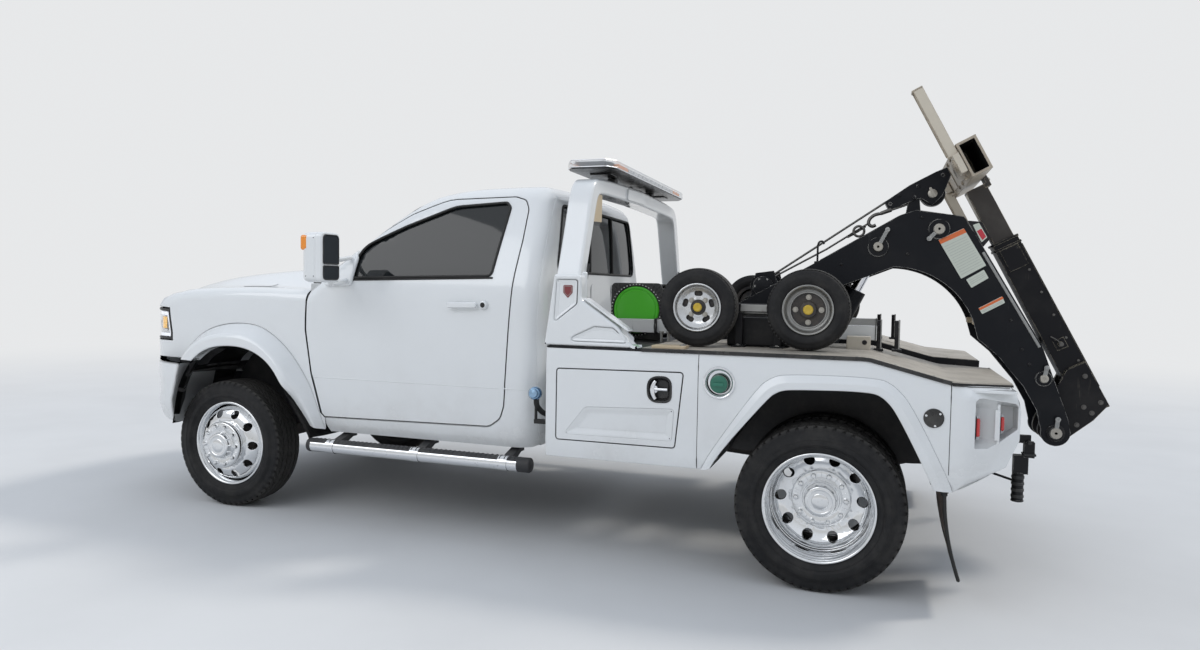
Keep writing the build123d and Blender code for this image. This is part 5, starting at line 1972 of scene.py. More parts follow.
@dataclass(frozen=True)
class Onto:
    """Lays outlines of a flat plane onto a form, along the plane's normal."""

    form: Form
    plane: Flat
    lift: float = 0.0

    def __call__(self, uv: Array, depth: Array) -> Array:
        """Point on the form over (u, v), sunk by a depth along the plane's normal.

        Args:
            uv: Positions on the plane.
            depth: How deep each is sunk.

        Returns:
            The points in space.
        """
        start = self.plane(uv, np.zeros(len(uv)))
        way = self.plane(uv[:1], np.array([-1.0])) - self.plane(uv[:1], np.array([0.0]))
        return self.form.reach(start, way) - (depth - self.lift)[:, None] * way


def dense(points: Sequence[Point2], step: float = 30.0) -> Array:
    """Open line through points with more points between them.

    Args:
        points: Points of the line.
        step: Longest distance between two points.

    Returns:
        All points.
    """
    pts = np.array(points, float)
    out = [pts[0]]
    for a, b in zip(pts[:-1], pts[1:]):
        count = max(1, int(math.ceil(float(np.linalg.norm(b - a)) / step)))
        out.extend(a + (b - a) * k / count for k in range(1, count + 1))
    return np.array(out)


def grown_loop(loop: Array, gap: float) -> Array:
    """Loop moved outwards by a gap."""
    return loop + outward(loop) * gap


def cut_loop(loop: Array, start: Point2, end: Point2) -> Array:
    """Part of a loop from the point nearest to a start, along its direction, to the one nearest to an end.

    Args:
        loop: Points of the loop.
        start: The start.
        end: The end.

    Returns:
        The points between.
    """
    first = int(np.argmin(np.linalg.norm(loop - np.array(start), axis=1)))
    last = int(np.argmin(np.linalg.norm(loop - np.array(end), axis=1)))
    turned_loop = np.roll(loop, -first, 0)
    return turned_loop[: (last - first) % len(loop) + 1]


def seam(place: Place, loop: Array, radius: float, lift: float = 0.0, finish: int = 0) -> Shape:
    """Round cord along a closed outline on a surface, such as a window seal."""
    path = place(loop, np.full(len(loop), -lift))
    return swept(circle((0, 0), radius, 8), path, finish=finish, loop=True)


DOOR = rounded(
    [(577, 1400), (577, 1150), (620, 880), (692, 640), (712, 622), (1840, 643), (1905, 690), (1928, 760),
     (1952, 1180), (1980, 1700), (1978, 1890), (1950, 1945), (1880, 1966), (1440, 1958), (1200, 1868),
     (720, 1590)],
    [30, 300, 300, 20, 14, 70, 60, 90, 300, 150, 55, 40, 60, 260, 260, 60], 24)
WINDOW = rounded(
    [(862, 1476), (1828, 1497), (1862, 1900), (1832, 1932), (1500, 1912), (1200, 1797), (925, 1672)],
    [30, 34, 26, 26, 240, 240, 90], 24)
REAR_CUT = 2112.0


REAR_PLANE = Flat.rear(1950.0)


@dataclass
class Cab:
    """Cab skin, doors, glass, seals, handles and towing mirrors."""

    palette: Palette
    form: CabForm = field(default_factory=CabForm)

    def ring(self, x: float, low: float, high: float, count: int) -> Array:
        """Points round the form at one distance behind the front axle, between two angles from the top.

        Args:
            x: The distance behind the axle.
            low: First angle.
            high: Last angle.
            count: Number of points.

        Returns:
            The points.
        """
        a = np.linspace(low, high, count)
        origin = np.stack([np.full(count, x), np.zeros(count), np.full(count, 1250.0)], 1)
        return self.form.reach(origin, np.stack([np.zeros(count), -np.sin(a), np.cos(a)], 1))

    def on_side(self, points: Array, y: float = 0.0) -> Array:
        """Side-view points laid on the driver's side."""
        origin = np.stack([points[:, 0], np.full(len(points), y), points[:, 1]], 1)
        return self.form.reach(origin, np.array([0.0, -1.0, 0.0]))

    def wrap(self) -> Shape:
        """Roof, pillars and body sides in one skin.

        Returns:
            The shape.
        """
        rear = self.ring(REAR_CUT, 0.0, 2.21, 64)
        rear = rear[rear[:, 2] >= 530]
        bay = grown_loop(DOOR, 5.0)
        opening = cut_loop(bay, (705, 616), (571, 1404))
        sill = dense([(REAR_CUT, 528), (745, 528), (700, 604)])
        foot = dense([(566, 1410), (566, 1470)])
        side_line = self.on_side(np.concatenate([sill, opening, foot]))
        across = np.linspace(-925, 0, 24)
        top = np.stack([np.full(24, 568.0), across, np.full(24, 1100.0)], 1)
        cowl = self.form.reach(top, np.array([0.0, 0.0, 1.0]))
        left = self.form.chart(np.concatenate([rear, side_line, cowl]))
        right = left[-2:0:-1] * np.array([1.0, -1.0])
        outline = anticlockwise(np.concatenate([left, right]))
        shield = rounded([(-840, 1585), (840, 1585), (700, 1945), (-700, 1945)], [50, 50, 70, 70], 26)
        hole = anticlockwise(self.form.from_end(shield, 1350.0, -1.0))
        made = panel(outline, [hole], self.form, 34, 4, 34)
        for flip in (1.0, -1.0):
            line = self.form.from_side(np.stack([np.linspace(1925, 2076, 12), np.full(12, 862.0)], 1))
            path = self.form(line * np.array([1.0, flip]), np.full(12, 1.2))
            made.join(tube(path, 3.4, 8))
        return made

    def rear_wall(self) -> Shape:
        """Back panel with its ribs.

        Returns:
            The shape.
        """
        rear = self.ring(REAR_CUT, -2.21, 2.21, 127)
        rear = rear[rear[:, 2] >= 530][:, 1:]
        floor_line = dense([(rear[-1][0], 529), (rear[0][0], 529)])[1:-1]
        outline = anticlockwise(np.concatenate([rear, floor_line]))
        place = Onto(self.form, REAR_PLANE)
        window = rounded([(-760, 1530), (760, 1530), (655, 1925), (-655, 1925)], [60, 60, 50, 50], 26)
        made = panel(outline, [window], place, 30, 1.5, 40)
        for y in (-640, -420, -200, 200, 420, 640):
            made.join(panel(slot((y, 1150), (620, 60), 90), [], Onto(self.form, REAR_PLANE, 5.0), 6, 4))
        made.join(panel(slot((0, 800), (1500, 60)), [], Onto(self.form, REAR_PLANE, 5.0), 6, 4))
        return made

    def door(self) -> Shape:
        """Driver's door skin with its window opening, handle and inner panel.

        Returns:
            The shape.
        """
        outline = anticlockwise(self.form.from_side(DOOR))
        hole = anticlockwise(self.form.from_side(WINDOW))
        made = panel(outline, [hole], self.form, 40, 4, 30)
        inner = anticlockwise(self.form.from_side(grown_loop(DOOR, -34.0)))
        inner_hole = anticlockwise(self.form.from_side(grown_loop(WINDOW, 6.0)))

        sunk = Sunk(self.form, 41)
        made.join(panel(inner, [inner_hole], sunk, 22, 6, 60, finish=1))
        made.join(seam(self.form, hole, 8.0, 1.0, 2))
        side = Onto(self.form, Flat.side(0.0))
        bowl = rounded([(1600, 1300), (1786, 1304), (1790, 1356), (1598, 1352)], 22, 20)
        made.join(panel(bowl, [], Onto(self.form, Flat.side(0.0), 1.5), 4, 1.4))
        pull = rounded([(1574, 1311), (1762, 1315), (1766, 1349), (1572, 1344)], 14, 16)
        made.join(panel(pull, [], Onto(self.form, Flat.side(0.0), 34.0), 16, 7, 20))
        for x in (1592, 1742):
            made.join(rod(tuple(side(np.array([[x, 1330.0]]), np.array([2.0]))[0]),
                          tuple(side(np.array([[x, 1330.0]]), np.array([-22.0]))[0]), 12))
        end = side(np.array([[1800.0, 1332.0]]), np.array([2.0]))[0]
        made.join(turned([(-2, 26), (14, 25), (22, 20), (24, 15)], tuple(end), (0, -1, 0), 28, 0))
        made.join(turned([(22, 15.5), (26, 14), (26.5, 0)], tuple(end), (0, -1, 0), 24, 2))
        crease = self.form.from_side(np.stack([np.linspace(640, 1900, 60), np.full(60, 862.0)], 1))
        made.join(tube(self.form(crease, np.full(60, 1.2)), 3.4, 8))
        belt = self.form.from_side(np.array([[868.0, 1463.0], [1838.0, 1486.0]]))
        line = belt[0] + np.linspace(0, 1, 34)[:, None] * (belt[1] - belt[0])
        path = self.form(line, np.full(len(line), -2.0))
        return made.join(tube(path, 5.5, 8, finish=2))

    def glass(self) -> tuple[Shape, Shape]:
        """Door pane, and windshield with the rear pane.

        Returns:
            The pane of the door, and the other two.
        """
        hole = anticlockwise(self.form.from_side(grown_loop(WINDOW, 6.0)))

        pane = Sunk(self.form, 10)
        door = panel(hole, [], pane, 5, 1, 60)
        shield = rounded([(-848, 1576), (848, 1576), (708, 1953), (-708, 1953)], [54, 54, 74, 74], 30)
        front = panel(anticlockwise(self.form.from_end(shield, 1350.0, -1.0)), [], pane, 6, 1, 60)
        window = rounded([(-768, 1522), (768, 1522), (663, 1933), (-663, 1933)], [64, 64, 54, 54], 30)
        front.join(panel(window, [], Onto(self.form, REAR_PLANE, -10.0), 5, 1, 80))
        return door, front

    def seals(self) -> Shape:
        """Seals of the windshield and rear window, and the wipers.

        Returns:
            The shape.
        """
        shield = rounded([(-840, 1585), (840, 1585), (700, 1945), (-700, 1945)], [50, 50, 70, 70], 26)
        made = seam(self.form, anticlockwise(self.form.from_end(shield, 1350.0, -1.0)), 7.0, -3.0)
        window = rounded([(-760, 1530), (760, 1530), (655, 1925), (-655, 1925)], [60, 60, 50, 50], 26)
        made.join(seam(Onto(self.form, REAR_PLANE), window, 8.0, 0.0))
        rear = Onto(self.form, REAR_PLANE, -5.0)
        for y in (-225, 225):
            bar = np.linspace((y, 1532), (y * 0.98, 1922), 12)
            made.join(tube(rear(bar, np.zeros(12)), 9.0, 8))
        frit = rounded([(-800, 1622), (800, 1622), (674, 1912), (-674, 1912)], [60, 60, 80, 80], 26)
        outer = anticlockwise(self.form.from_end(shield, 1350.0, -1.0))
        inner = anticlockwise(self.form.from_end(frit, 1350.0, -1.0))

        band = Sunk(self.form, 9.2)
        made.join(panel(outer, [inner], band, 0.8, 0.2, 50, back=False))
        for foot, tip in (((-560, 1575), (-20, 1650)), ((120, 1572), (700, 1640))):
            line = np.linspace(foot, tip, 16)
            base = self.form.from_end(line, 1350.0, -1.0)
            lift = np.interp(np.arange(16), [0, 3, 12, 15], [-2, 16, 10, 4])
            path = self.form(base, -lift)
            made.join(tube(path, 5.0, 8))
            blade = np.linspace((tip[0] - 330, tip[1] - 22), (tip[0] + 90, tip[1] + 14), 20)
            wiper = self.form(self.form.from_end(blade, 1350.0, -1.0), np.full(20, 2.0))
            made.join(swept(np.array([(-3, -6), (3, -6), (5, 4), (-5, 4)], float), wiper,
                            np.array([-0.6, 0.0, 0.8]), smooth=False))
        return made

    def gaps(self) -> Shape:
        """Dark rubber behind one door's shut line, and the pillar that the door hangs on.

        Returns:
            The shape.
        """
        loop = anticlockwise(self.form.from_side(grown_loop(DOOR, 3.0)))
        path = self.form(loop, np.full(len(loop), 16.0))
        made = swept(circle((0, 0), 8.5, 8), path, loop=True)
        # The hinge pillar is in the darker grey white, a painted shade of the body paint in the door jamb
        made.join(block((566, -955, 600), (640, -900, 1440), 8, 1))
        return made

    def mirror(self) -> Shape:
        """Towing mirror of the driver's side.

        Returns:
            The shape.
        """
        made = block((792, -1318, 1446), (914, -1150, 1733), 38, 0, 6)
        frame = rounded([(-1318, 1446), (-1150, 1446), (-1150, 1733), (-1318, 1733)], 36, 20)
        made.join(panel(frame, [], Flat.rear(934), 46, 10, finish=0))
        upper = rounded([(-1302, 1552), (-1166, 1552), (-1166, 1717), (-1302, 1717)], [12, 12, 26, 26], 20)
        lower = rounded([(-1302, 1462), (-1166, 1462), (-1166, 1540), (-1302, 1540)], [26, 26, 10, 10], 20)
        for loop in (upper, lower):
            made.join(panel(loop, [], Flat.rear(935.5), 4, 1.5, finish=2))
            made.join(seam(Flat.rear(935.5), loop, 3.0, 0.5, 1))
        made.join(block((785, -1319.5, 1628), (840, -1262, 1716), 16, 3, 4))
        for z, radius in ((1442, 16), (1577, 14)):
            made.join(tube([(868, -960, z + 22), (872, -1060, z + 6), (876, -1165, z)], radius, 16, 60))
        foot = rounded([(700, 1424), (905, 1428), (915, 1600), (868, 1652), (760, 1582)],
                       [26, 30, 30, 20, 60], 20)
        made.join(panel(foot, [], Onto(CabForm(), Flat.side(0.0), 22.0), 26, 12, 30))
        return made

    def interior(self) -> Shape:
        """Floor, tunnel, front wall and back wall inside the cab.

        Returns:
            The shape.
        """
        made = block((600, -960, 820), (2100, 960, 846), 6, 0)
        made.join(block((590, -150, 846), (1500, 150, 980), 40, 0, 4))
        made.join(block((566, -930, 600), (586, 930, 1470), 6, 0))
        made.join(block((1500, -140, 850), (1900, 140, 1130), 40, 0, 4))
        made.join(block((2085, -900, 850), (2112, 900, 1500), 8, 1))
        return made

    def build(self) -> None:
        """Write all pieces."""
        p = self.palette
        skin = self.wrap().join(self.rear_wall())
        skin.piece("cab_skin", [p["body_white"]], "chassis", "body_white", ["cab_shell"])
        self.seals().piece("cab_seals", [p["seal_black"]], "chassis", "trim_black")
        self.interior().piece("cab_lining", [p["trim_black"], p["roof_liner"]], "chassis", "trim_black")
        door_pane, rest = self.glass()
        rest.piece("cab_panes", [p["glass"]], "chassis", "glass", ["cab_glass"])
        door, mirror = self.door(), self.mirror()
        finishes = [p["body_white"], p["trim_black"], p["seal_black"]]
        for side in Side:
            body = f"cab_door_{side.word}"
            door.on(side).piece(f"door_skin_{side.word}", finishes, body, "body_white", [body])
            door_pane.on(side).piece(f"door_pane_{side.word}", [p["glass"]], body, "glass",
                                     [f"door_glass_{side.word}"])
            mirror.on(side).piece(f"mirror_{side.word}", [p["body_white"], p["trim_black"], p["mirror"],
                                                         p["lamp_amber"]], body, "body_white")
            self.gaps().on(side).piece(f"door_gap_{side.word}", [p["seal_black"], p["liner_white"]],
                                       "chassis",
                                       "trim_black")


# Front end


@dataclass
class BumperForm(Form):
    """Outside of the front bumper, charted by the angle round an upright line and the height."""

    middle: Point3 = (-300.0, 0.0, 757.0)
    bow: Callable[[Array], Array] = through([
        (-1, -948), (300, -940), (600, -905), (760, -862), (850, -782), (950, -672), (1050, -562),
        (1100, -486), (1125, -410), (1140, -250)])

    def field(self, p: Array) -> Array:
        """Value at points.

        Args:
            p: The points.

        Returns:
            Negative inside, positive outside.
        """
        x, y, z = p[:, 0], np.abs(p[:, 1]), p[:, 2]
        crease = 10 * ease((z - 800) / 25) + 8 * ease((690 - z) / 25) - 30 * ease((640 - z) / 90)
        front = self.bow(y) - crease - x
        return meet(front * 0.7, y - 1128 - crease * 0.3, 20.0)

    def __call__(self, uv: Array, depth: Array) -> Array:
        """Point at (angle in thousandths, height), sunk by a depth.

        Args:
            uv: Positions on the surface.
            depth: How deep each is sunk.

        Returns:
            The points in space.
        """
        angle = uv[:, 0] / 1000
        way = np.stack([-np.cos(angle), np.sin(angle), np.zeros(len(uv))], 1)
        start = np.stack([np.full(len(uv), -300.0), np.zeros(len(uv)), uv[:, 1]], 1)
        return self.reach(start, way) - depth[:, None] * way

    def chart(self, points: Array) -> Array:
        """Chart position of points."""
        return np.stack([1000 * np.arctan2(points[:, 1], -300.0 - points[:, 0]), points[:, 2]], 1)


@dataclass
class Nose:
    """Hood, fenders with flares, bumper, grille and headlamps."""

    palette: Palette
    form: NoseForm = field(default_factory=NoseForm)

    def trace(self, *runs: tuple[str, Sequence[Point2]]) -> Array:
        """Lay lines on the form.

        Args:
            runs: Way of looking ("side", "top" or "front") and the points as seen that way.

        Returns:
            Chart positions along all lines.
        """
        spots = []
        for kind, points in runs:
            line = dense(points, 22.0)
            a, b, n = line[:, 0], line[:, 1], len(line)
            start, way = {
                "side": (np.stack([a, np.zeros(n), b], 1), (0.0, -1.0, 0.0)),
                "top": (np.stack([a, b, np.full(n, 900.0)], 1), (0.0, 0.0, 1.0)),
                "front": (np.stack([np.full(n, -60.0), a, b], 1), (-1.0, 0.0, 0.0)),
            }[kind]
            spots.append(self.form.reach(start, np.array(way)))
        return self.form.chart(np.concatenate(spots))

    def flare(self) -> Shape:
        """Driver's arch flare: a sloping upper half and an upright lower half.

        Returns:
            The shape.
        """
        brow, lip = self.form.brow, self.form.lip[self.form.lip[:, 1] > 546]
        keep = [evenly(line[(line[:, 0] > -200) | (line[:, 1] > 932)], 150) for line in (brow, lip)]
        rows = []
        height = (84 + 34 * ease((keep[1][:, 1] - 560) / 260)) * (1 - 0.3 * ease((keep[1][:, 0] - 470) / 80))
        for t, rise in ((0.0, -0.06), (0.02, 0.04), (0.42, 0.86), (0.5, 0.96), (0.6, 1.0), (0.95, 1.0),
                        (1.0, 0.96), (1.0, 0.4)):
            line = keep[0] * (1 - t) + keep[1] * t
            start = np.stack([line[:, 0], np.zeros(150), line[:, 1]], 1)
            skin = self.form.reach(start, np.array([0.0, -1.0, 0.0]))
            flat = np.minimum(skin[:, 1], -1000.0) if t else skin[:, 1]
            rows.append(np.stack([line[:, 0], flat - height * rise, line[:, 1]], 1))
        made = Shape()
        for low, high in ((0, 2), (1, 3), (2, 5), (4, 6), (5, 7), (6, 8)):
            made.join(ruled(rows[low:high][::-1]))
        for k in (0, -1):
            end = np.array([row[k] for row in rows])
            made.add(end, [tuple(range(8)), tuple(range(8))[::-1]])
        return made

    def fender(self) -> Shape:
        """Driver's fender with its flare.

        Returns:
            The shape.
        """
        arch = self.form.brow[::-1]
        arch = arch[(arch[:, 0] > -200) | (arch[:, 1] > 936)]
        outline = self.trace(
            ("side", [(570, 1396), (570, 1150), (613, 880), (684, 646), (722, 614), (728, 548)]),
            ("side", [tuple(p) for p in arch]),
            ("side", [(-374, 933), (-700, 933)]),
            ("front", [(-900, 933), (-656, 933), (-656, 1047), (-900, 1047)]),
            ("side", [(-740, 1047), (-520, 1047), (-520, 1100), (-552, 1262), (-600, 1266), (-690, 1268)]),
            ("top", [(-600, -905), (-480, -887), (500, -887), (562, -905)]),
        )
        made = panel(grown_loop(anticlockwise(outline), -1.5), [], self.form, 26, 4, 26)
        return made.join(self.flare())

    def hood(self) -> Shape:
        """Hood with its raised middle and blank side plates.

        Returns:
            The shape.
        """
        half = self.trace(
            ("top", [(552, 0), (552, -860), (530, -887), (-480, -887), (-600, -905)]),
            ("side", [(-690, 1268)]),
            ("front", [(-900, 1268), (-656, 1262), (-640, 1250), (0, 1250)]),
        )
        right = half[-2:0:-1] * np.array([1.0, -1.0])
        outline = anticlockwise(np.concatenate([half, right]))
        made = panel(grown_loop(outline, -2.5), [], self.form, 24, 5, 30)
        plate = rounded([(-100, -738), (148, -742), (124, -802), (-112, -798)], 20, 14)
        loop = self.trace(("top", [tuple(p) for p in plate]))
        for sign in (1.0, -1.0):
            made.join(panel(anticlockwise(loop * np.array([1.0, sign])), [], Sunk(self.form, -4), 5, 2, 20))
        return made

    def liners(self) -> Shape:
        """Dark inner arches of the driver's side, and the engine bay's wall.

        Returns:
            The shape.
        """
        line = self.form.lip
        line = line[line[:, 1] > 500]
        made = Shape()
        rows = []
        way = unit(line - np.array([120.0, 600.0]))
        # The front wall stands forward, clear of the turned tyre, except next to the skin
        clear = 30.0 * ease((-line[:, :1] - 160) / 120)
        for y, grow in ((-1126, 0.0), (-1080, 0.0), (-1000, 14.0), (-800, 20.0), (-600, 22.0)):
            moved = line + way * (grow + clear * (y > -1060))
            rows.append(np.stack([moved[:, 0], np.full(len(line), float(y)), moved[:, 1]], 1))
        quads = grid_faces(len(rows), len(line), closed=False)
        made.add(np.concatenate(rows), quads + [q[::-1] for q in quads])
        wall = anticlockwise(np.concatenate([line, [[650.0, 500.0], [-380.0, 500.0]]]))
        made.join(panel(wall, [], Flat.side(-600), 6, 1))
        made.join(block((-840, -640, 600), (-420, -600, 1230), 8))
        return made

    def bumper(self) -> Shape:
        """Body-coloured bumper with its dark pocket, step pads and round lamps.

        Returns:
            The shape.
        """
        form = BumperForm()
        edge = [(-318.0, 912.0), (-352.0, 804.0), (-386.0, 675.0), (-376.0, 576.0), (-366.0, 530.0)]
        spots = form.reach(np.array([(x, 0.0, z) for x, z in edge]), np.array([0.0, -1.0, 0.0]))
        end = [tuple(p) for p in form.chart(spots)]
        low = form.chart(np.array([[-560.0, -1050.0, 566.0], [-850.0, -780.0, 590.0]]))
        half = end + [tuple(p) for p in low]
        top = form.chart(np.array([[-560.0, -1050.0, 922.0], [-862.0, -760.0, 923.0]]))
        other = [(-u, v) for u, v in half[::-1]]
        crown = [(-u, v) for u, v in top] + [tuple(p) for p in top[::-1]]
        outline = rounded(half + other + crown,
                          [18, 90, 90, 60, 24, 200, 200, 200, 200, 24, 60, 90, 90, 18, 80, 80,
                                                 80, 80], 26)
        pocket = form.chart(np.array([[-960.0, -500.0, 690.0], [-960.0, 500.0, 800.0]]))
        x0, x1 = pocket[0, 0], pocket[1, 0]
        holes = [rounded([(x0, 690), (x1, 690), (x1, 800), (x0, 800)], 24, 22)]
        lamps = []
        for y in (-740.0, 740.0):
            spot = form.chart(np.array([[-868.0, y, 745.0]]))[0]
            lamps.append(circle((spot[0], spot[1]), 52, 32))
        made = panel(anticlockwise(outline), holes + lamps, form, 60, 14, 34, steps=4)
        # The bumper's return, running inboard, is in the darker grey white, a painted shade of the body paint
        rim = form.reach(np.array([(x + 8, 0.0, z) for x, z in edge]),
                         np.array([0.0, -1.0, 0.0]))
        back = rim + np.array([[-14.0, 330.0, 0.0]])
        for sign in (1.0, -1.0):
            hand = np.array([1.0, sign, 1.0])
            made.join(ruled([rim * hand, back * hand], 4)).join(ruled([back * hand, rim * hand], 4))

        deep = Sunk(form, 84)
        made.join(panel(grown_loop(holes[0], 14), [], deep, 8, 2, 60, finish=1))
        for z in (715, 745, 775):
            line = np.stack([np.linspace(x0, x1, 40), np.full(40, float(z))], 1)
            path = form(line, np.full(40, 60.0))
            made.join(swept(np.array([(-3, -12), (3, -12), (4, 8), (-4, 8)], float), path,
                            np.array([-1.0, 0, 0]), finish=1, smooth=False))
        for loop in lamps:
            middle = loop.mean(0)

            def lens(uv: Array, depth: Array, m: Array = middle) -> Array:
                """Slightly domed lens surface."""
                r = np.hypot(*(uv - m).T) / 52
                return form(uv, depth + 26 + 14 * r**2)

            made.join(panel(grown_loop(loop, 1), [], lens, 12, 2, 12, finish=2))
            made.join(seam(form, loop, 5, -4, 1))
        for low, high in ((-620.0, -300.0), (300.0, 620.0)):
            u = np.linspace(*form.chart(np.array([[-930.0, low, 900.0], [-930.0, high, 900.0]]))[:, 0], 20)
            for depth in (18, 34, 50):
                path = form(np.stack([u, np.full(20, 924.0)], 1), np.full(20, float(depth)))
                made.join(tube(path, 3.0, 6, finish=1))
        for y in (-400, 400):
            made.join(tube([(-760, y, 640), (-900, y, 640), (-935, y, 612), (-905, y, 580), (-860, y, 590)],
                           12, 12, 40, 3))
        return made

    def grille(self) -> Shape:
        """Dark frame with bars, over a black core.

        Returns:
            The shape.
        """
        place = Onto(self.form, Flat.front(-300.0), 4.0)
        outer = rounded([(-646, 938), (646, 938), (640, 1246), (-640, 1246)], 26, 26)
        inner = rounded([(-596, 985), (596, 985), (590, 1204), (-590, 1204)], 22, 26)
        made = panel(outer, [inner], place, 60, 9, 60, steps=4)
        made.join(seam(place, inner, 4.0, 1.0, 1))
        for z in np.linspace(1018, 1172, 5):
            line = np.stack([np.linspace(-600, 600, 40), np.full(40, z)], 1)
            path = place(line, np.full(40, 26.0))
            bar = np.array([(-8, -30), (-11, -4), (-7, 6), (7, 6), (11, -4), (8, -30)], float)
            made.join(swept(bar, path, np.array([-1.0, 0, 0.0]), finish=0))
            made.join(tube(place(line, np.full(40, 17.0)), 2.6, 6, finish=1))
        for u in (-300, 0, 300):
            line = np.stack([np.full(12, float(u)), np.linspace(985, 1204, 12)], 1)
            path = place(line, np.full(12, 34.0))
            made.join(tube(path, 7, 8))
        made.join(block((-800, -640, 930), (-780, 640, 1240), 6, 2))
        for z in range(950, 1230, 12):
            made.join(block((-806, -600, z), (-799, 600, z + 3), 1, 2, 1))
        return made

    def lamp(self) -> Shape:
        """Headlamp of the driver's side.

        Returns:
            The shape.
        """
        outline = self.trace(
            ("front", [(-662, 1053), (-900, 1053)]),
            ("side", [(-740, 1053), (-530, 1053), (-530, 1100), (-560, 1256), (-690, 1262)]),
            ("front", [(-900, 1262), (-662, 1256)]),
        )
        outline = anticlockwise(outline)

        made = panel(outline, [grown_loop(outline, -16)], Sunk(self.form, 2), 50, 5, 30)
        made.join(panel(grown_loop(outline, -3), [], Sunk(self.form, 62), 5, 1, 40))
        made.join(panel(grown_loop(outline, -15), [], Sunk(self.form, 7), 3, 1, 30, finish=1))
        guide = self.trace(
            ("front", [(-700, 1226), (-900, 1232)]),
            ("side", [(-735, 1232), (-620, 1230), (-600, 1210), (-580, 1110), (-590, 1086), (-640, 1080),
                      (-735, 1080)]),
            ("front", [(-900, 1080), (-700, 1086)]),
        )
        path = self.form(guide, np.full(len(guide), 18.0))
        made.join(tube(path, 4.0, 8, finish=4))
        made.join(panel(grown_loop(outline, -19), [grown_loop(outline, -43)], Sunk(self.form, 12), 9, 3, 26,
                        steps=4, finish=2))
        amber = anticlockwise(self.trace(("side", [(-622, 1126), (-618, 1206), (-690, 1208), (-694, 1124),
                                                   (-622, 1126)]))[:-1])
        made.join(panel(amber, [], Sunk(self.form, 22), 12, 3, 30, finish=3))
        grid = anticlockwise(self.trace(("side", [(-614, 1108), (-610, 1122), (-700, 1122), (-702, 1106),
                                                  (-614, 1108)]))[:-1])
        made.join(panel(grid, [], Sunk(self.form, 20), 8, 2, 30, finish=4))
        for y, z, radius in ((-735.0, 1155.0, 46.0), (-850.0, 1155.0, 42.0)):
            start = np.array([[-60.0, y, z]])
            spot = self.form.reach(start, np.array([[-1.0, 0, 0]]))[0] + np.array([58.0, 0, 0])
            made.join(turned([(0, radius + 8), (24, radius + 6), (24, radius), (8, radius * 0.86), (12, 0)],
                             tuple(spot), (-1, -0.12, 0), 32, 4))
            made.join(turned([(20, radius), (34, radius * 0.7), (40, 0)], tuple(spot), (-1, -0.12, 0), 32, 1))
        return made

    def cowl(self) -> Shape:
        """Black grille strip at the foot of the windshield.

        Returns:
            The shape.
        """
        place = Onto(CabForm(), Flat.plan(1000.0), 3.0)
        outline = rounded([(574, -840), (652, -800), (652, 800), (574, 840)], 10, 30)
        made = panel(outline, [], place, 5, 2, 40)
        for y in range(-720, 721, 40):
            line = np.linspace((588.0, y), (640.0, y), 6)
            made.join(tube(place(line, np.full(6, -1.0)), 3, 6))
        return made

    def build(self) -> None:
        """Write all pieces."""
        p = self.palette
        self.hood().piece("hood_skin", [p["body_white"]], "hood", "body_white", ["hood"])
        fenders = self.fender().both()
        fenders.piece("fender_skins", [p["body_white"]], "chassis", "body_white", ["front_fenders"])
        self.liners().both().piece("arch_liners", [p["trim_black"]], "chassis", "trim_black")
        self.bumper().piece("bumper_skin",
                            [p["body_white"], p["trim_black"], p["lamp_clear"], p["frame_black"],
                                             p["liner_white"]],
                            "chassis", "body_white", ["front_bumper"])
        self.grille().piece("grille_bars", [p["smooth_black"], p["chrome"], p["seal_black"]], "chassis",
                            "grille_chrome", ["grille"])
        self.lamp().both().piece("headlamp_units", [p["smooth_black"], p["head_clear"], p["lamp_white"],
                                                    p["lamp_yellow"], p["chrome"]], "chassis", "lamp_clear",
                                 ["headlamps"])
        self.cowl().piece("cowl_grille", [p["trim_black"]], "chassis", "trim_black")


# Tow body

CORNER_X = 4305.0
CORNER_TURN = math.atan2(130.0, 228.0)
TOP_LINE = ((2200, 1123), (3870, 1123), (4222, 1036), (4505, 1022), (4600, 1019))
DECK_LINE = ((2200, 1135), (3850, 1135), (3890, 1131), (4205, 1049), (4240, 1042), (4505, 1030), (4600, 1026))
TOOL_DOOR = rounded([(2337, 1015), (3009, 1025), (2971, 649), (2336, 647)], 16, 1e4)
RECESS = ((4335, 752), (4335, 962), (4352, 975), (4370, 976), (4508, 950), (4520, 938), (4520, 836),
          (4438, 776), (4392, 752))
REAR_EDGE = ((4505, 1022), (4522, 985), (4533, 914), (4530, 783), (4475, 665), (4251, 552))
ARCH_RIM = ((3108, 552), (3150, 640), (3375, 973), (3440, 1025), (3505, 1046), (3919, 1050), (3990, 1020),
            (4068, 936), (4235, 600), (4250, 552))
ARCH_HOLE = ((3152, 500), (3152, 585), (3428, 927), (3475, 962), (3530, 975), (3887, 985), (3950, 960),
             (4010, 888), (4176, 554), (4180, 500))


def level(line: Sequence[Point2], x: Array) -> Array:
    """Height of a side-view line."""
    return np.interp(x, [p[0] for p in line], [p[1] for p in line])


def along(line: Sequence[Point2]) -> Array:
    """Side-view points with their distance turned into the length along the body's outside.

    Args:
        line: Points as (distance behind the front axle, height).

    Returns:
        The points as (length, height).
    """
    pts = np.array(line, float)
    past = np.maximum(pts[:, 0] - CORNER_X, 0)
    return np.stack([pts[:, 0] + past * (1 / math.cos(CORNER_TURN) - 1), pts[:, 1]], 1)


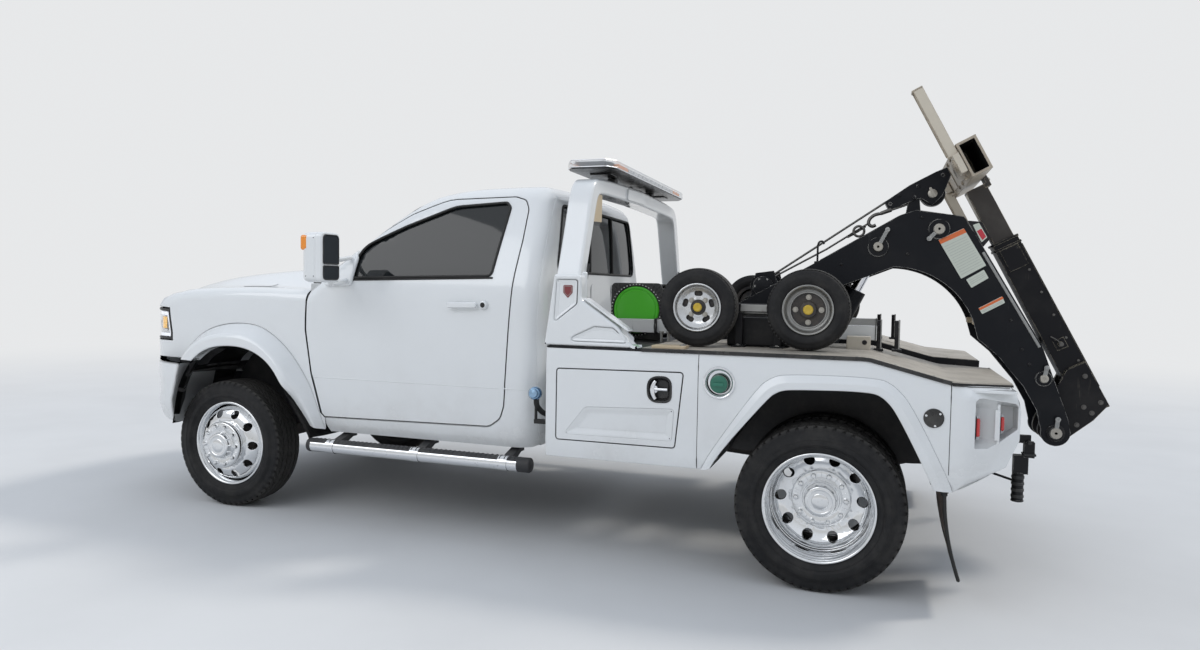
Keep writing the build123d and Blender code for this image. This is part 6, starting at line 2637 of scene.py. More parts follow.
def ruled(rows: Sequence[Array], finish: int = 0, loop: bool = False, sharp: bool = False) -> Shape:
    """Skin laid through rows of points with the same count.

    Args:
        rows: The rows, in order.
        finish: Index of the material.
        loop: Whether each row closes.
        sharp: Whether each pair of rows gets faces of its own, with a crease between.

    Returns:
        The skin.
    """
    made = Shape()
    if sharp:
        for a, b in zip(rows, rows[1:]):
            made.join(ruled([a, b], finish, loop))
        return made
    return made.add(np.concatenate(rows), grid_faces(len(rows), len(rows[0]), loop), finish)


def pressed(loop: Array, place: Place, width: float, sink: float, finish: int = 0,
            cell: float = 60.0) -> Shape:
    """Pressed field of a sheet: a sloping border and a flat floor.

    Args:
        loop: Outline of the field.
        place: Surface of the sheet.
        width: Width of the border.
        sink: How deep the floor lies.
        finish: Index of the material.
        cell: Spacing of the floor's points.

    Returns:
        The field.
    """
    steps = [(0.0, 0.0), (0.12, 0.04), (0.3, 0.22), (0.7, 0.78), (0.88, 0.96), (1.0, 1.0)]
    rows = [place(grown_loop(loop, -width * t), np.full(len(loop), sink * s)) for t, s in steps]

    floor = panel(grown_loop(loop, -width), [], Sunk(place, sink), 3, 0.5, cell, steps=1, finish=finish)
    return ruled(rows, finish, True).join(floor)


@dataclass(frozen=True)
class BodySkin:
    """Outside of the tow body, charted by the length along it in plan and the height."""

    lift: float = 0.0

    def __call__(self, uv: Array, depth: Array) -> Array:
        """Point at (length, height), sunk by a depth.

        Args:
            uv: Positions on the surface.
            depth: How deep each is sunk.

        Returns:
            The points in space.
        """
        u, z = uv[:, 0], uv[:, 1]
        past = u - CORNER_X
        round_off = 25.0
        bend = np.where(past > round_off, past, np.maximum(past + round_off, 0) ** 2 / (4 * round_off))
        turn = CORNER_TURN * np.clip((past + round_off) / (2 * round_off), 0, 1)
        x = u - bend * (1 - math.cos(CORNER_TURN))
        y = -1215 + bend * math.sin(CORNER_TURN)
        band = np.clip((z - level(TOP_LINE, x) + 64) / 64, 0, 1)
        lean = band * (8 + 26 * ease((u - 4240) / 60))
        under = 10 * ease((600 - z) / 60)
        off = self.lift - depth - lean - under
        return np.stack([x + np.sin(turn) * off, y - np.cos(turn) * off, z], 1)


@dataclass
class TowBody:
    """Side bodies with lockers, arches, fuel filler and the lamp corners, and the tool doors."""

    palette: Palette
    skin: BodySkin = field(default_factory=BodySkin)

    def outer(self) -> Shape:
        """Outer skin of the driver's side with its arch.

        Returns:
            The shape.
        """
        rim = soften(ARCH_RIM)
        rear = along(REAR_EDGE)
        outline = np.concatenate([
            dense([(2275, 552), (3108, 552)], 90)[:-1], rim,
            dense([(4250, 552), tuple(rear[-1] + (4, 0))], 60)[1:], rear[::-1][1:],
            along(dense([(4505, 1022), (4222, 1036), (3870, 1123), (2275, 1123)], 90).tolist())[1:],
            dense([(2275, 1123), (2275, 552)], 90)[1:-1]])
        recess = rounded(along(RECESS).tolist(), 8, 20)
        filler = circle((3190, 986), 62, 40)
        door = rounded(grown_loop(TOOL_DOOR, 5).tolist(), 0, 60)
        made = panel(anticlockwise(outline), [recess, filler, door], self.skin, 6, 3, 42)
        # The lamp recess's walls and back walls are in the darker grey white, a painted shade of the body
        # paint
        wall = [self.skin(recess, np.full(len(recess), 3.0))]
        flat = self.skin(recess, np.zeros(len(recess)))
        step = flat[:, 0] > 4440
        deep = np.stack([flat[:, 0], np.where(step, -1040.0, -1140.0), flat[:, 2].clip(792, 930)], 1)
        deep[:, 0] = np.where(step, deep[:, 0] - 14, deep[:, 0])
        wall += [wall[0] * 0.5 + deep * 0.5, deep]
        made.join(ruled(wall, 1, True, True))
        for x0, x1, y in ((4335, 4440, -1140), (4440, 4512, -1040)):
            made.join(block((x0, y, 778), (x1, y + 8, 945), 2, 1))
        made.join(block((4428, -1144, 770), (4440, -1036, 950), 3))
        made.join(block((4418, -1150, 786), (4440, -1130, 926), 4))
        return made

    def flare(self) -> Shape:
        """Rim of the wheel arch: a sloping outer half and a flat inner half.

        Returns:
            The shape.
        """
        outside, inside = evenly(soften(ARCH_RIM), 96), soften(ARCH_HOLE)
        inside = evenly(inside[inside[:, 1] >= 552], 96)
        rows = [(0.0, -1214.0), (0.03, -1218.5), (0.46, -1234.0), (0.52, -1235.5), (0.95, -1234.5),
                (1.0, -1231.0), (1.0, -1170.0)]
        lines = []
        for t, y in rows:
            line = outside * (1 - t) + inside * t
            lines.append(np.stack([line[:, 0], np.full(96, y), line[:, 1]], 1))
        made = Shape()
        for outer, inner in zip(lines, lines[1:]):
            made.join(ruled([inner, outer]))
        for k in (0, -1):
            made.add(np.array([line[k] for line in lines]), [(0, 1, 2, 3, 4, 5, 6), (6, 5, 4, 3, 2, 1, 0)])
        return made

    def inside(self) -> Shape:
        """Closed walls behind the skin: front, rear, inner side, locker and arch tunnel.

        Returns:
            The shape.
        """
        made = block((2276, -1206, 553), (2282, -640, 1122), 2)
        made.join(block((2276, -646, 553), (3110, -640, 1122), 2))
        # The wall at the arch's front edge is in the darker grey white, a painted shade of the body paint
        made.join(block((3080, -1206, 553), (3086, -640, 1122), 2, 1))
        made.join(block((2276, -1206, 553), (3104, -640, 559), 2))
        made.join(block((2276, -1206, 1114), (3900, -640, 1121), 2))
        # The frame inside the tool door's opening is in the darker grey white, a painted shade of the body
        # paint
        frame = rounded([(2320, 632), (3030, 632), (3030, 1040), (2320, 1040)], 20, 60)
        made.join(panel(frame, [TOOL_DOOR], Flat.side(-1190), 4, 1, finish=1))
        hole = soften(ARCH_HOLE)
        hole = evenly(hole[hole[:, 1] >= 552], 60)
        ends = [np.stack([hole[:, 0], np.full(60, y), hole[:, 1]], 1) for y in (-1228.0, -1000.0, -645.0)]
        made.join(ruled(ends, 2)).join(ruled(ends[::-1], 2))
        back = anticlockwise(np.concatenate([hole, [[4100.0, 552.0], [3200.0, 552.0]]]))
        made.join(panel(back, [], Flat.side(-642), 5, 1, finish=2))
        edge = self.skin(along(evenly(soften(REAR_EDGE, 2), 40).tolist()), np.full(40, 4.0))
        inner = edge.copy()
        inner[:, 1] = -640
        made.join(ruled([inner, edge])).join(ruled([edge, inner]))
        made.join(block((4262, -1180, 1000), (4500, -640, 1014), 3))
        made.join(block((4251, -1200, 553), (4262, -640, 1010), 3))
        return made

    def fittings(self) -> Shape:
        """Fuel filler, round cover and seams of the driver's side.

        Returns:
            The shape.
        """
        made = turned([(-34, 40), (-30, 60), (-6, 62), (2, 64), (7, 68), (9, 72), (8, 77), (3, 80), (0, 80)],
                      (3190, -1215, 986), (0, -1, 0), 56, 1)
        made.join(turned([(-34, 0), (-34, 61)], (3190, -1215, 986), (0, -1, 0), 40, 0))
        made.join(turned([(-32, 44), (-24, 45), (-12, 43), (-9, 38), (-10, 0)], (3186, -1215, 978),
                         (0, -1, 0), 40, 2))
        made.join(block((3158, -1228, 971), (3214, -1222, 986), 3, 2))
        made.join(turned([(-32, 60), (-4, 61)], (3190, -1215, 986), (0, -1, 0), 40, 0))
        for k in range(6):
            a = math.radians(60 * k + 20)
            made.join(turned([(0, 4), (1.4, 3.4), (2, 0)],
                             (3190 + 73 * math.cos(a), -1223, 986 + 73 * math.sin(a)), (0, -1, 0), 10, 3))
        made.join(turned([(0, 44), (4, 43), (6, 38), (6, 0)], (4162, -1215, 880), (0, -1, 0), 40, 0))
        for k in range(3):
            a = math.radians(120 * k + 40)
            made.join(turned([(6, 6), (9, 5), (10, 0)],
                             (4162 + 34 * math.cos(a), -1215, 880 + 34 * math.sin(a)), (0, -1, 0), 12, 3))
        return made.join(self.seams())

    def seams(self) -> Shape:
        """Sheet joints of the driver's side.

        Returns:
            The shape.
        """
        made = Shape()
        for x, low in ((3086.0, 556.0), (4231.0, 628.0)):
            line = np.stack([np.full(30, x), np.linspace(low, level(TOP_LINE, np.array([x]))[0] - 3, 30)], 1)
            made.join(swept(circle((0, 0), 2.4, 6), self.skin(line, np.full(30, 1.4))))
        line = evenly(np.array([(4236, 1030.0), (4300, 1026.0), (4499, 1018.0)]), 20)
        path = self.skin(along(line.tolist()), np.full(20, -0.5))
        return made.join(swept(circle((0, 0), 2.0, 6), path))

    def door(self) -> Shape:
        """Tool door with its pressed field, gasket and latch.

        Returns:
            The shape.
        """
        trap = rounded([(2379, 677), (2957, 682), (2966, 842), (2496, 824)], [14, 16, 16, 40], 40)
        latch = rounded([(2830, 872), (2952, 874), (2950, 1003), (2828, 998)], [56, 40, 50, 58], 20)
        made = panel(rounded(TOOL_DOOR.tolist(), 0, 70), [trap, grown_loop(latch, -8)], self.skin, 14, 3, 60)
        made.join(pressed(trap, self.skin, 36, 9))
        made.join(panel(grown_loop(TOOL_DOOR, 2.6), [grown_loop(TOOL_DOOR, -1.0)], BodySkin(-1.0), 16, 1,
                        finish=1))
        made.join(panel(grown_loop(latch, 4), [grown_loop(latch, -7)], BodySkin(4.0), 8, 3, finish=2))
        made.join(pressed(grown_loop(latch, -6), BodySkin(1.5), 14, 22, 2))
        arc = arc_points((2872, 980), (2856, 936), (2872, 888), 14)
        bar = np.stack([arc[:, 0], np.full(14, -1219.0), arc[:, 1]], 1)
        size = 9 + 4 * np.sin(np.linspace(0, math.pi, 14))
        rings = np.stack([circle((0, 0), 1, 12) * s for s in size])
        made.join(swept(rings, bar, finish=3))
        made.join(tube([(2862, -1217, 937), (2900, -1219, 938), (2932, -1216, 938)], 8.5, 12, 0, 3))
        made.join(turned([(0, 22), (16, 20), (20, 15), (21, 0)], (2864, -1203, 937), (0, -1, 0), 28, 3))
        return made

    def lamps(self) -> Shape:
        """Rear lamps of the driver's side.

        Returns:
            The shape.
        """
        made = Shape()
        for x, y0, y1, z0, z1 in ((4335, -1188, -1152, 790, 900), (4440, -1128, -1096, 815, 905)):
            made.join(block((x + 1, y0 + 4, z0 + 4), (x + 6, y1 - 4, z1 - 4), 2, 0))
            made.join(block((x + 5, y0 + 5, z0 + 14), (x + 20, y1 - 5, z1 - 14), 6, 1, 4))
            for a, b in ((z0 + 2, z0 + 13), (z1 - 13, z1 - 2)):
                made.join(block((x + 3, y0 + 4, a), (x + 18, y1 - 4, b), 4, 2, 3))
            ribs = range(int(z0) + 20, int(z1) - 18, 9)
            for z in ribs:
                made.join(block((x + 19, y0 + 8, z), (x + 21.5, y1 - 8, z + 4), 1, 1, 1))
        return made

    def flap(self) -> Shape:
        """Mud flap behind the driver's rear wheels with its rail.

        Returns:
            The shape.
        """
        made = Shape()
        line = arc_points((4218, 552), (4238, 345), (4288, 152), 18)
        for x_off, flip in ((-6.0, False), (6.0, True)):
            rows = [np.stack([line[:, 0] + x_off + 3 * np.sin(line[:, 1] / 60 + y / 90), np.full(18, y),
                              line[:, 1]], 1)
                    for y in np.linspace(-1196, -712, 16)]
            made.join(ruled(rows[::-1] if flip else rows, 0))
        for y in (-1198, -710):
            path = np.stack([line[:, 0], np.full(18, float(y)), line[:, 1]], 1)
            made.join(tube(path, 8, 8, finish=1))
        made.join(tube([(4288, -1198, 152), (4288, -710, 152)], 8, 8, finish=1))
        made.join(block((4206, -1200, 528), (4232, -705, 556), 4, 1))
        for y in range(-1150, -700, 100):
            made.join(hexagon((4232, y, 540), (1, 0, 0), 16, 8, 2))
        return made

    def coupling(self) -> Shape:
        """Bright hose coupling with its black hose between the cab and the driver's body.

        Returns:
            The shape.
        """
        made = turned([(0, 20), (4, 34), (20, 36), (26, 30), (40, 30), (44, 24), (60, 22), (64, 0)],
                      (2176, -1112, 864), (0.1, -1, 0.1), 32, 0)
        made.join(turned([(24, 37), (30, 37)], (2176, -1112, 864), (0.1, -1, 0.1), 32, 0))
        made.join(tube([(2180, -1120, 858), (2184, -1130, 800), (2190, -1040, 740), (2230, -960, 730)], 15,
                       14, 50, 1))
        made.join(block((2168, -1128, 700), (2274, -1100, 724), 4, 1))
        made.join(block((2168, -1120, 700), (2182, -1104, 880), 4, 1))
        return made

    def build(self) -> None:
        """Write all pieces."""
        p = self.palette
        body = self.outer().join(self.flare()).join(self.inside())
        metal = [p["smooth_black"], p["chrome"], p["cap_green"], p["rim_alloy"]]
        for side in Side:
            body.on(side).piece(f"body_skin_{side.word}",
                                [p["body_white"], p["liner_white"], p["trim_black"]],
                                "chassis", "body_white", [f"body_side_{side.word}"])
            self.door().on(side).piece(f"tool_door_skin_{side.word}",
                                       [p["body_white"], p["seal_black"], p["smooth_black"], p["chrome"]],
                                       f"tool_door_{side.word}", "body_white", [f"tool_door_{side.word}"])
        self.fittings().both().piece("body_fittings", metal, "chassis", "trim_black")
        self.lamps().both().piece("tail_lamp_bars", [p["smooth_black"], p["lamp_red"], p["lamp_clear"]],
                                  "chassis",
                                  "lamp_red", ["tail_lamps"])
        self.flap().both().piece("mud_flap_sheets", [p["flap_rubber"], p["seal_black"], p["dull_grey"]],
                                 "chassis",
                                 "flap_rubber", ["mud_flaps"])
        self.coupling().piece("hose_coupling", [p["blue_steel"], p["seal_black"]], "chassis", "trim_black")


# Pylon, light bar and deck


@dataclass(frozen=True)
class DeckSkin:
    """Top of the deck, seen from above: level, then sloping down to the rear."""

    lift: float = 0.0

    def __call__(self, uv: Array, depth: Array) -> Array:
        """Point at (distance, side), sunk by a depth."""
        return np.stack([uv[:, 0], uv[:, 1], level(DECK_LINE, uv[:, 0]) + self.lift - depth], 1)


@dataclass
class Deck:
    """Deck plate with its tread strips, bolts and black edging."""

    palette: Palette
    strips: tuple[Point2, ...] = ((-1200.0, -268.0),)

    def edge(self, x: Array) -> Array:
        """Side of the deck's outer edge at a distance, as a positive number."""
        corner = 1208 - (x - CORNER_X) * math.tan(CORNER_TURN) - 6
        return np.minimum(1208.0, corner) - 26 * ease((x - 4240) / 60)

    def plate(self) -> Shape:
        """Plate with the boom's slot, and the folded edges of the slot.

        Returns:
            The shape.
        """
        x = np.array([2276.0, 2780, 3400, 3850, 3890, 4000, 4100, 4205, 4240, 4270, 4300, 4360, 4420, 4500])
        side = np.stack([x, -self.edge(x)], 1)
        slot_x = x[x > 3001][::-1]
        inner = np.stack([slot_x, np.full(len(slot_x), -258.0)], 1)
        half = np.concatenate([side, inner, [[3000.0, -258.0]]])
        outline = np.concatenate([half, (half * np.array([1, -1]))[::-1]])
        made = panel(anticlockwise(outline), [], DeckSkin(), 11, 2, 70, finish=0)
        for sign in (-1, 1):
            path = np.stack([inner[:, 0], np.full(len(inner), sign * 252.0),
                             level(DECK_LINE, inner[:, 0]) - 24], 1)
            made.join(swept(np.array([(-5, -26), (5, -26), (5, 28), (-5, 28)], float), path,
                            np.array([0, 0, 1.0]), finish=1, smooth=False))
        return made

    def tread(self) -> Shape:
        """Tread strips with their bolts, on both sides.

        Returns:
            The shape.
        """
        made = Shape()
        path_x = np.array([2792.0, 3100, 3450, 3850, 3870, 3890, 4000, 4100, 4205, 4222, 4240, 4300, 4360,
                           4420, 4496])
        rise = np.array([0.0, 0, 1.0])
        for low, high in self.strips:
            path = np.stack([path_x, np.zeros(len(path_x)), level(DECK_LINE, path_x)], 1)
            outer = np.maximum(low, -self.edge(path_x) + 2)
            top, bevel = 6.0, 3.0
            rows = []
            for a, b in zip(outer, np.full(len(outer), high)):
                rows.append([(-a, 0.0), (-a - bevel, top), (-b + bevel, top), (-b, 0.0)])
            made.join(swept(np.array(rows), path, rise, closed=False, finish=0, capped=False, smooth=False))
            for x in range(2830, 4500, 166):
                z = float(level(DECK_LINE, np.array([float(x)]))[0]) + 5
                for y in (low + 14, high - 14):
                    if -y < self.edge(np.array([float(x)]))[0] - 10:
                        made.join(turned([(0, 6.5), (2, 6), (3.5, 3), (4, 0)], (x, y, z), (0, 0, 1), 10, 1))
        edge_x = np.concatenate([np.linspace(2790, 3850, 12), [3890.0, 4000, 4100, 4205, 4232]])
        path = np.stack([edge_x, -self.edge(edge_x) - 2, level(DECK_LINE, edge_x) + 1], 1)
        made.join(swept(rounded([(-5, -13), (5, -13), (5, 5), (-5, 5)], 2, 1e3), path,
                        np.array([0, 0, 1.0]), finish=2))
        made.join(block((2838, -1190, 1141), (3010, -1092, 1156), 3, 3))
        for y in (-1162, -1122):
            made.join(hexagon((2990, y, 1156), (0, 0, 1), 15, 8, 1))
        return made

    def build(self) -> None:
        """Write all pieces."""
        p = self.palette
        self.plate().piece("deck_plate", [p["frame_black"], p["frame_black"]], "chassis", "deck_alloy",
                           ["deck"])
        self.tread().both().piece("deck_tread",
                                  [p["deck_strip"], p["dull_grey"], p["smooth_black"], p["label_beige"]],
                                  "chassis", "deck_alloy")


@dataclass
class Pylon:
    """Arch behind the cab with its base boxes and light bar."""

    palette: Palette
    half_outer: tuple[Point2, ...] = ((1195, 1150), (1195, 1330), (1160, 1450), (1108, 1572), (1036, 1760),
                                      (978, 1930), (930, 2012), (846, 2058), (0, 2078))
    half_inner: tuple[Point2, ...] = ((1100, 1150), (1100, 1340), (1064, 1450), (1010, 1572), (938, 1756),
                                      (884, 1900), (846, 1956), (780, 1972), (0, 1982))

    def arch(self) -> Shape:
        """The bent beam, its bracket plate and its blank plates.

        Returns:
            The shape.
        """
        outer, inner = (soften(line, 3) for line in (self.half_outer, self.half_inner))
        sides = [np.concatenate([line * np.array([-1, 1]), line[::-1][1:]]) for line in (outer, inner)]
        loop = anticlockwise(np.concatenate([sides[0], sides[1][::-1]]))
        made = panel(loop, [], Flat.rear(2428), 136, 16, steps=5)
        made.join(panel(rounded([(-340, 1984), (-330, 2052), (30, 2062), (40, 1990)], 12), [],
                        Flat.rear(2438), 14, 4))
        made.join(block((2296, -790, 1986), (2424, 790, 1990), 2))
        for sign in (-1, 1):
            path = [(2436, sign * y, z) for y, z in ((1106, 1360), (1066, 1460), (1020, 1568))]
            made.join(tube(path, 6, 8, 30, 2))
        made.join(panel(rounded([(-896, 1806), (-756, 1812), (-752, 1966), (-860, 1966)], 8), [],
                        Flat.rear(2412), 4, 1, finish=1))
        made.join(tube([(2350, -380, 2066), (2350, -380, 2104)], 9, 10, 0, 2))
        for y in (-120, 90, 260):
            made.join(tube([(2360, y, 2080), (2380, y + 30, 2092), (2372, y + 90, 2084),
                            (2400, y + 120, 2070)], 7, 8,
                           20, 2))
        for y in (-415, 415):
            made.join(block((2322, y - 42, 2064), (2398, y + 42, 2074), 4, 2))
            made.join(block((2336, y - 30, 2072), (2384, y + 30, 2101), 4, 2))
        return made

    def base(self) -> Shape:
        """Box at the driver's foot of the arch, with pressed fields, blank shield and bevelled end plate.

        Returns:
            The shape.
        """
        corners = [(2255, 1136), (2276, 1276), (2308, 1508), (2459, 1508), (2462, 1378), (2560, 1312),
                   (2660, 1244), (2736, 1154), (2780, 1136)]
        upper = rounded([(2328, 1478), (2440, 1478), (2436, 1356), (2314, 1262)], [8, 14, 20, 10])
        lower = rounded([(2380, 1164), (2536, 1238), (2634, 1234), (2712, 1178), (2700, 1164)],
                        [16, 20, 14, 10, 8])
        skin = Flat.side(-1206)
        made = panel(rounded(corners, [6, 60, 14, 22, 30, 60, 60, 30, 4], 40), [upper, lower], skin, 96,
                     14, steps=5)
        made.join(pressed(upper, skin, 16, 4.5)).join(pressed(lower, skin, 14, 3.5))
        shield = rounded([(2361, 1452), (2413, 1452), (2413, 1412), (2387, 1384), (2361, 1412)],
                         [8, 8, 10, 6, 10])
        made.join(panel(shield, [], Flat.side(-1205), 5, 2.4, steps=4, finish=3))
        rim = rounded([(2367, 1446), (2407, 1446), (2407, 1415), (2387, 1394), (2367, 1415)], [6, 6, 8, 5, 8])
        made.join(seam(Flat.side(-1205), rim, 1.0, 0.2, 5))
        made.join(block((2436, -1136, 1300), (2464, -1108, 1524), 12, 0, 5))
        slope = Flat((2470, -1160, 1384), (0, 1, 0), (0.83, 0, -0.558))
        made.join(panel(rounded([(-40, 6), (40, 6), (40, 298), (-40, 298)], 10), [], slope, 8, 3))
        made.join(panel(rounded([(-30, 196), (30, 196), (30, 286), (-30, 286)], 12), [],
                        Flat((2473, -1160, 1389), (0, 1, 0), (0.83, 0, -0.558)), 5, 2))
        for along_slope in (60, 180):
            spot = slope(np.array([[0.0, along_slope]]), np.array([-1.0]))[0]
            made.join(hexagon(tuple(spot), (0.558, 0, 0.83), 16, 7, 4))
        return made

    def bar(self) -> Shape:
        """Flat light bar: clear shell, dark base and lamp modules.

        Returns:
            The shape.
        """
        plan = rounded([(2216, -790), (2262, -872), (2466, -872), (2510, -790), (2510, 790), (2466, 872),
                        (2262, 872), (2216, 790)], 22, 60)
        made = panel(plan, [], Flat.plan(2150), 40, 9, steps=4, finish=0)
        made.join(panel(grown_loop(plan, -7), [], Flat.plan(2113), 10, 3, finish=1))
        made.join(panel(grown_loop(plan, -34), [], Flat.plan(2147), 5, 2, finish=2))
        for sign in (-1, 1):
            made.join(seam(Flat.plan(2151 if sign > 0 else 2112), grown_loop(plan, -6 if sign > 0 else -1),
                           3.2, 0.0, 3))
        for k in range(-7, 8):
            y = k * 98.0
            for x0, x1 in ((2228, 2260), (2466, 2498)):
                amber = abs(k) in (6, 7)
                made.join(block((x0, y - 42, 2115), (x1, y + 42, 2143), 4, 4 if amber else 5))
                for step in range(-2, 3):
                    made.join(block((x1 - 2 if x0 > 2400 else x0 - 2, y + step * 16 - 6, 2120),
                                    (x1 + 2 if x0 > 2400 else x0 + 2, y + step * 16 + 6, 2138), 2,
                                    4 if amber else 3, 1))
        made.join(block((2300, -800, 2114), (2430, 800, 2134), 4, 1))
        for y in (-600, 600):
            made.join(block((2300, y - 60, 2096), (2430, y + 60, 2103), 3, 1))
        return made

    def build(self) -> None:
        """Write all pieces."""
        p = self.palette
        finishes = [p[name]
                    for name in ("body_white", "label_beige", "smooth_black", "shield_red", "dull_grey",
                                         "label_grey")]
        whole = self.arch().join(self.base().both())
        whole.piece("pylon_skin", finishes, "chassis", "body_white", ["pylon_arch"])
        self.bar().piece("light_bar_shell",
                         [p["lamp_clear"], p["smooth_black"], p["liner_white"], p["chrome"],
                                             p["lamp_amber"], p["bar_lens"]], "chassis", "light_bar",
                                             ["light_bar"])


@dataclass
class DeckLoad:
    """Hose reel, dolly frames and what stands on the deck."""

    palette: Palette
    centre: Point2 = (2559.0, 1313.0)

    def reel(self) -> Shape:
        """Black reel box with its green disc.

        Returns:
            The shape.
        """
        x0, x1, z0, z1 = 2402, 2716, 1137, 1472
        box = rounded([(x0, z0), (x1, z0), (x1, z1), (x0, z1)], 34, 60)
        disc = circle(self.centre, 141, 72)
        made = panel(box, [disc], Flat.side(-536), 14, 4, steps=3)
        made.join(panel(grown_loop(box, -4), [], Flat.side(-345), 12, 3))
        for k in range(48):
            a = 2 * math.pi * k / 48
            reach = 1.0 / max(abs(math.cos(a)) / 148, abs(math.sin(a)) / 150)
            c, s = math.cos(a), math.sin(a)
            if reach > 172:
                made.join(tube([(self.centre[0] + 162 * c, -538, self.centre[1] + 162 * s),
                                (self.centre[0] + (reach - 8) * c, -538, self.centre[1] + (reach - 8) * s)],
                                3.4, 6))
            made.join(turned([(0, 3.6), (1.6, 3.2), (2, 0)],
                             (self.centre[0] + 151 * c, -536, self.centre[1] + 151 * s), (0, -1, 0), 8, 2))
        for x in (x0 + 8, x1 - 14):
            made.join(block((x, -530, z0 + 30), (x + 6, -348, z1 - 30), 2))
        for z in (z0 + 8, z1 - 14):
            made.join(block((x0 + 30, -530, z), (x1 - 30, -348, z + 6), 2))
        profile = [(-14, 141), (2, 138), (6, 132), (6, 126), (3, 124), (3, 120), (7, 116), (9, 60),
                   (8, 30), (8, 0)]
        made.join(turned(profile, (self.centre[0], -532, self.centre[1]), (0, -1, 0), 80, 1, 20))
        coil = []
        for turn in np.linspace(0, 9 * 2 * math.pi, 9 * 28):
            coil.append((self.centre[0] + 112 * math.cos(turn), -520 + 150 * turn / (9 * 2 * math.pi),
                         self.centre[1] + 112 * math.sin(turn)))
        made.join(tube(coil, 8, 7, finish=0))
        return made

    def frames(self) -> Shape:
        """Driver's dolly beam with its axles, uprights, black box and straps.

        Returns:
            The shape.
        """
        made = block((2958, -866, 1325), (3652, -818, 1369), 7, 0, 3)
        made.join(block((3230, -872, 1329), (3380, -866, 1365), 2, 1))
        for x in DOLLY_AXLES:
            made.join(rod((x, -822, DOLLY_Z), (x, -952, DOLLY_Z), 18, 24, 1))
            made.join(turned([(0, 46), (18, 44), (20, 30), (26, 28)], (x, -866, DOLLY_Z), (0, -1, 0), 28, 0))
            made.join(block((x - 30, -870, 1317), (x + 30, -814, 1377), 6))
        for x in (3200, 3400):
            made.join(block((x, -860, 1136), (x + 40, -824, 1330), 5))
            made.join(block((x - 16, -876, 1136), (x + 56, -808, 1150), 3))
            for dy in (-868, -816):
                made.join(hexagon((x + 20, dy, 1150), (0, 0, 1), 14, 7, 1))
        made.join(block((3150, -812, 1143), (3480, -706, 1296), 12, 0, 3))
        made.join(block((3160, -700, 1300), (3470, -660, 1318), 5, 1))
        made.join(tube([(3160, -770, 1322), (3470, -770, 1322)], 15, 14, 0, 1))
        made.join(tube([(2990, -812, 1380), (3040, -780, 1398), (3120, -700, 1380), (3160, -640, 1300)], 9,
                       8, 30, 2))
        return made

    def hardware(self) -> Shape:
        """Hook, strap, uprights and chain box by the driver's dolly bar.

        Returns:
            The shape.
        """
        made = Shape()
        for x in (3908, 3998):
            made.join(block((x, -604, 1137), (x + 22, -570, 1292), 4))
            made.join(block((x + 18, -606, 1137), (x + 26, -568, 1296), 2, 1))
            made.join(block((x - 12, -616, 1130), (x + 36, -558, 1142), 3))
        made.join(block((2700, -648, 1180), (2716, -552, 1270), 4, 2))
        made.join(tube([(2708, -650, 1236), (2712, -672, 1222), (2716, -668, 1192), (2720, -648, 1186)], 7,
                       8, 12, 2))
        for x in (2560, 2760, 2800):
            made.join(tube([(x, -700, 1138), (x, -700, 1200)], 8, 10, finish=1))
            made.join(turned([(0, 14), (10, 14), (12, 10), (12, 0)], (x, -700, 1190), (0, 0, 1), 14, 1))
        for x in (2340, 2360, 3900, 3916):
            made.join(block((x, -642, 1183), (x + 4, -558, 1266), 1, 2, 1))
        made.join(block((3760, -700, 1137), (3880, -660, 1210), 6, 3))
        made.join(turned([(0, 13), (2, 12), (2, 0)], (3850, -700, 1178), (0, -1, 0), 16, 0))
        return made

    def build(self) -> None:
        """Write all pieces."""
        p = self.palette
        self.reel().piece("hose_reel_unit", [p["smooth_black"], p["reel_green"], p["label_white"]], "chassis",
                          "reel_green", ["hose_reel"])
        frames = self.frames().both()
        frames.piece("dolly_racks", [p["frame_black"], p["dull_grey"], p["seal_black"]], "chassis",
                     "frame_black", ["dolly_frames"])
        self.hardware().both().piece("deck_hardware", [p["frame_black"], p["dull_grey"], p["seal_black"],
                                                       p["claw_steel"]], "chassis", "frame_black")


# Boom and wheel lift

STINGER_FOOT = np.array([5058.0, 0.0, 807.0])
STINGER_SPIN = np.array([[-0.46175, 0.0, -0.88701], [0.0, 1.0, 0.0], [0.88701, 0.0, -0.46175]])


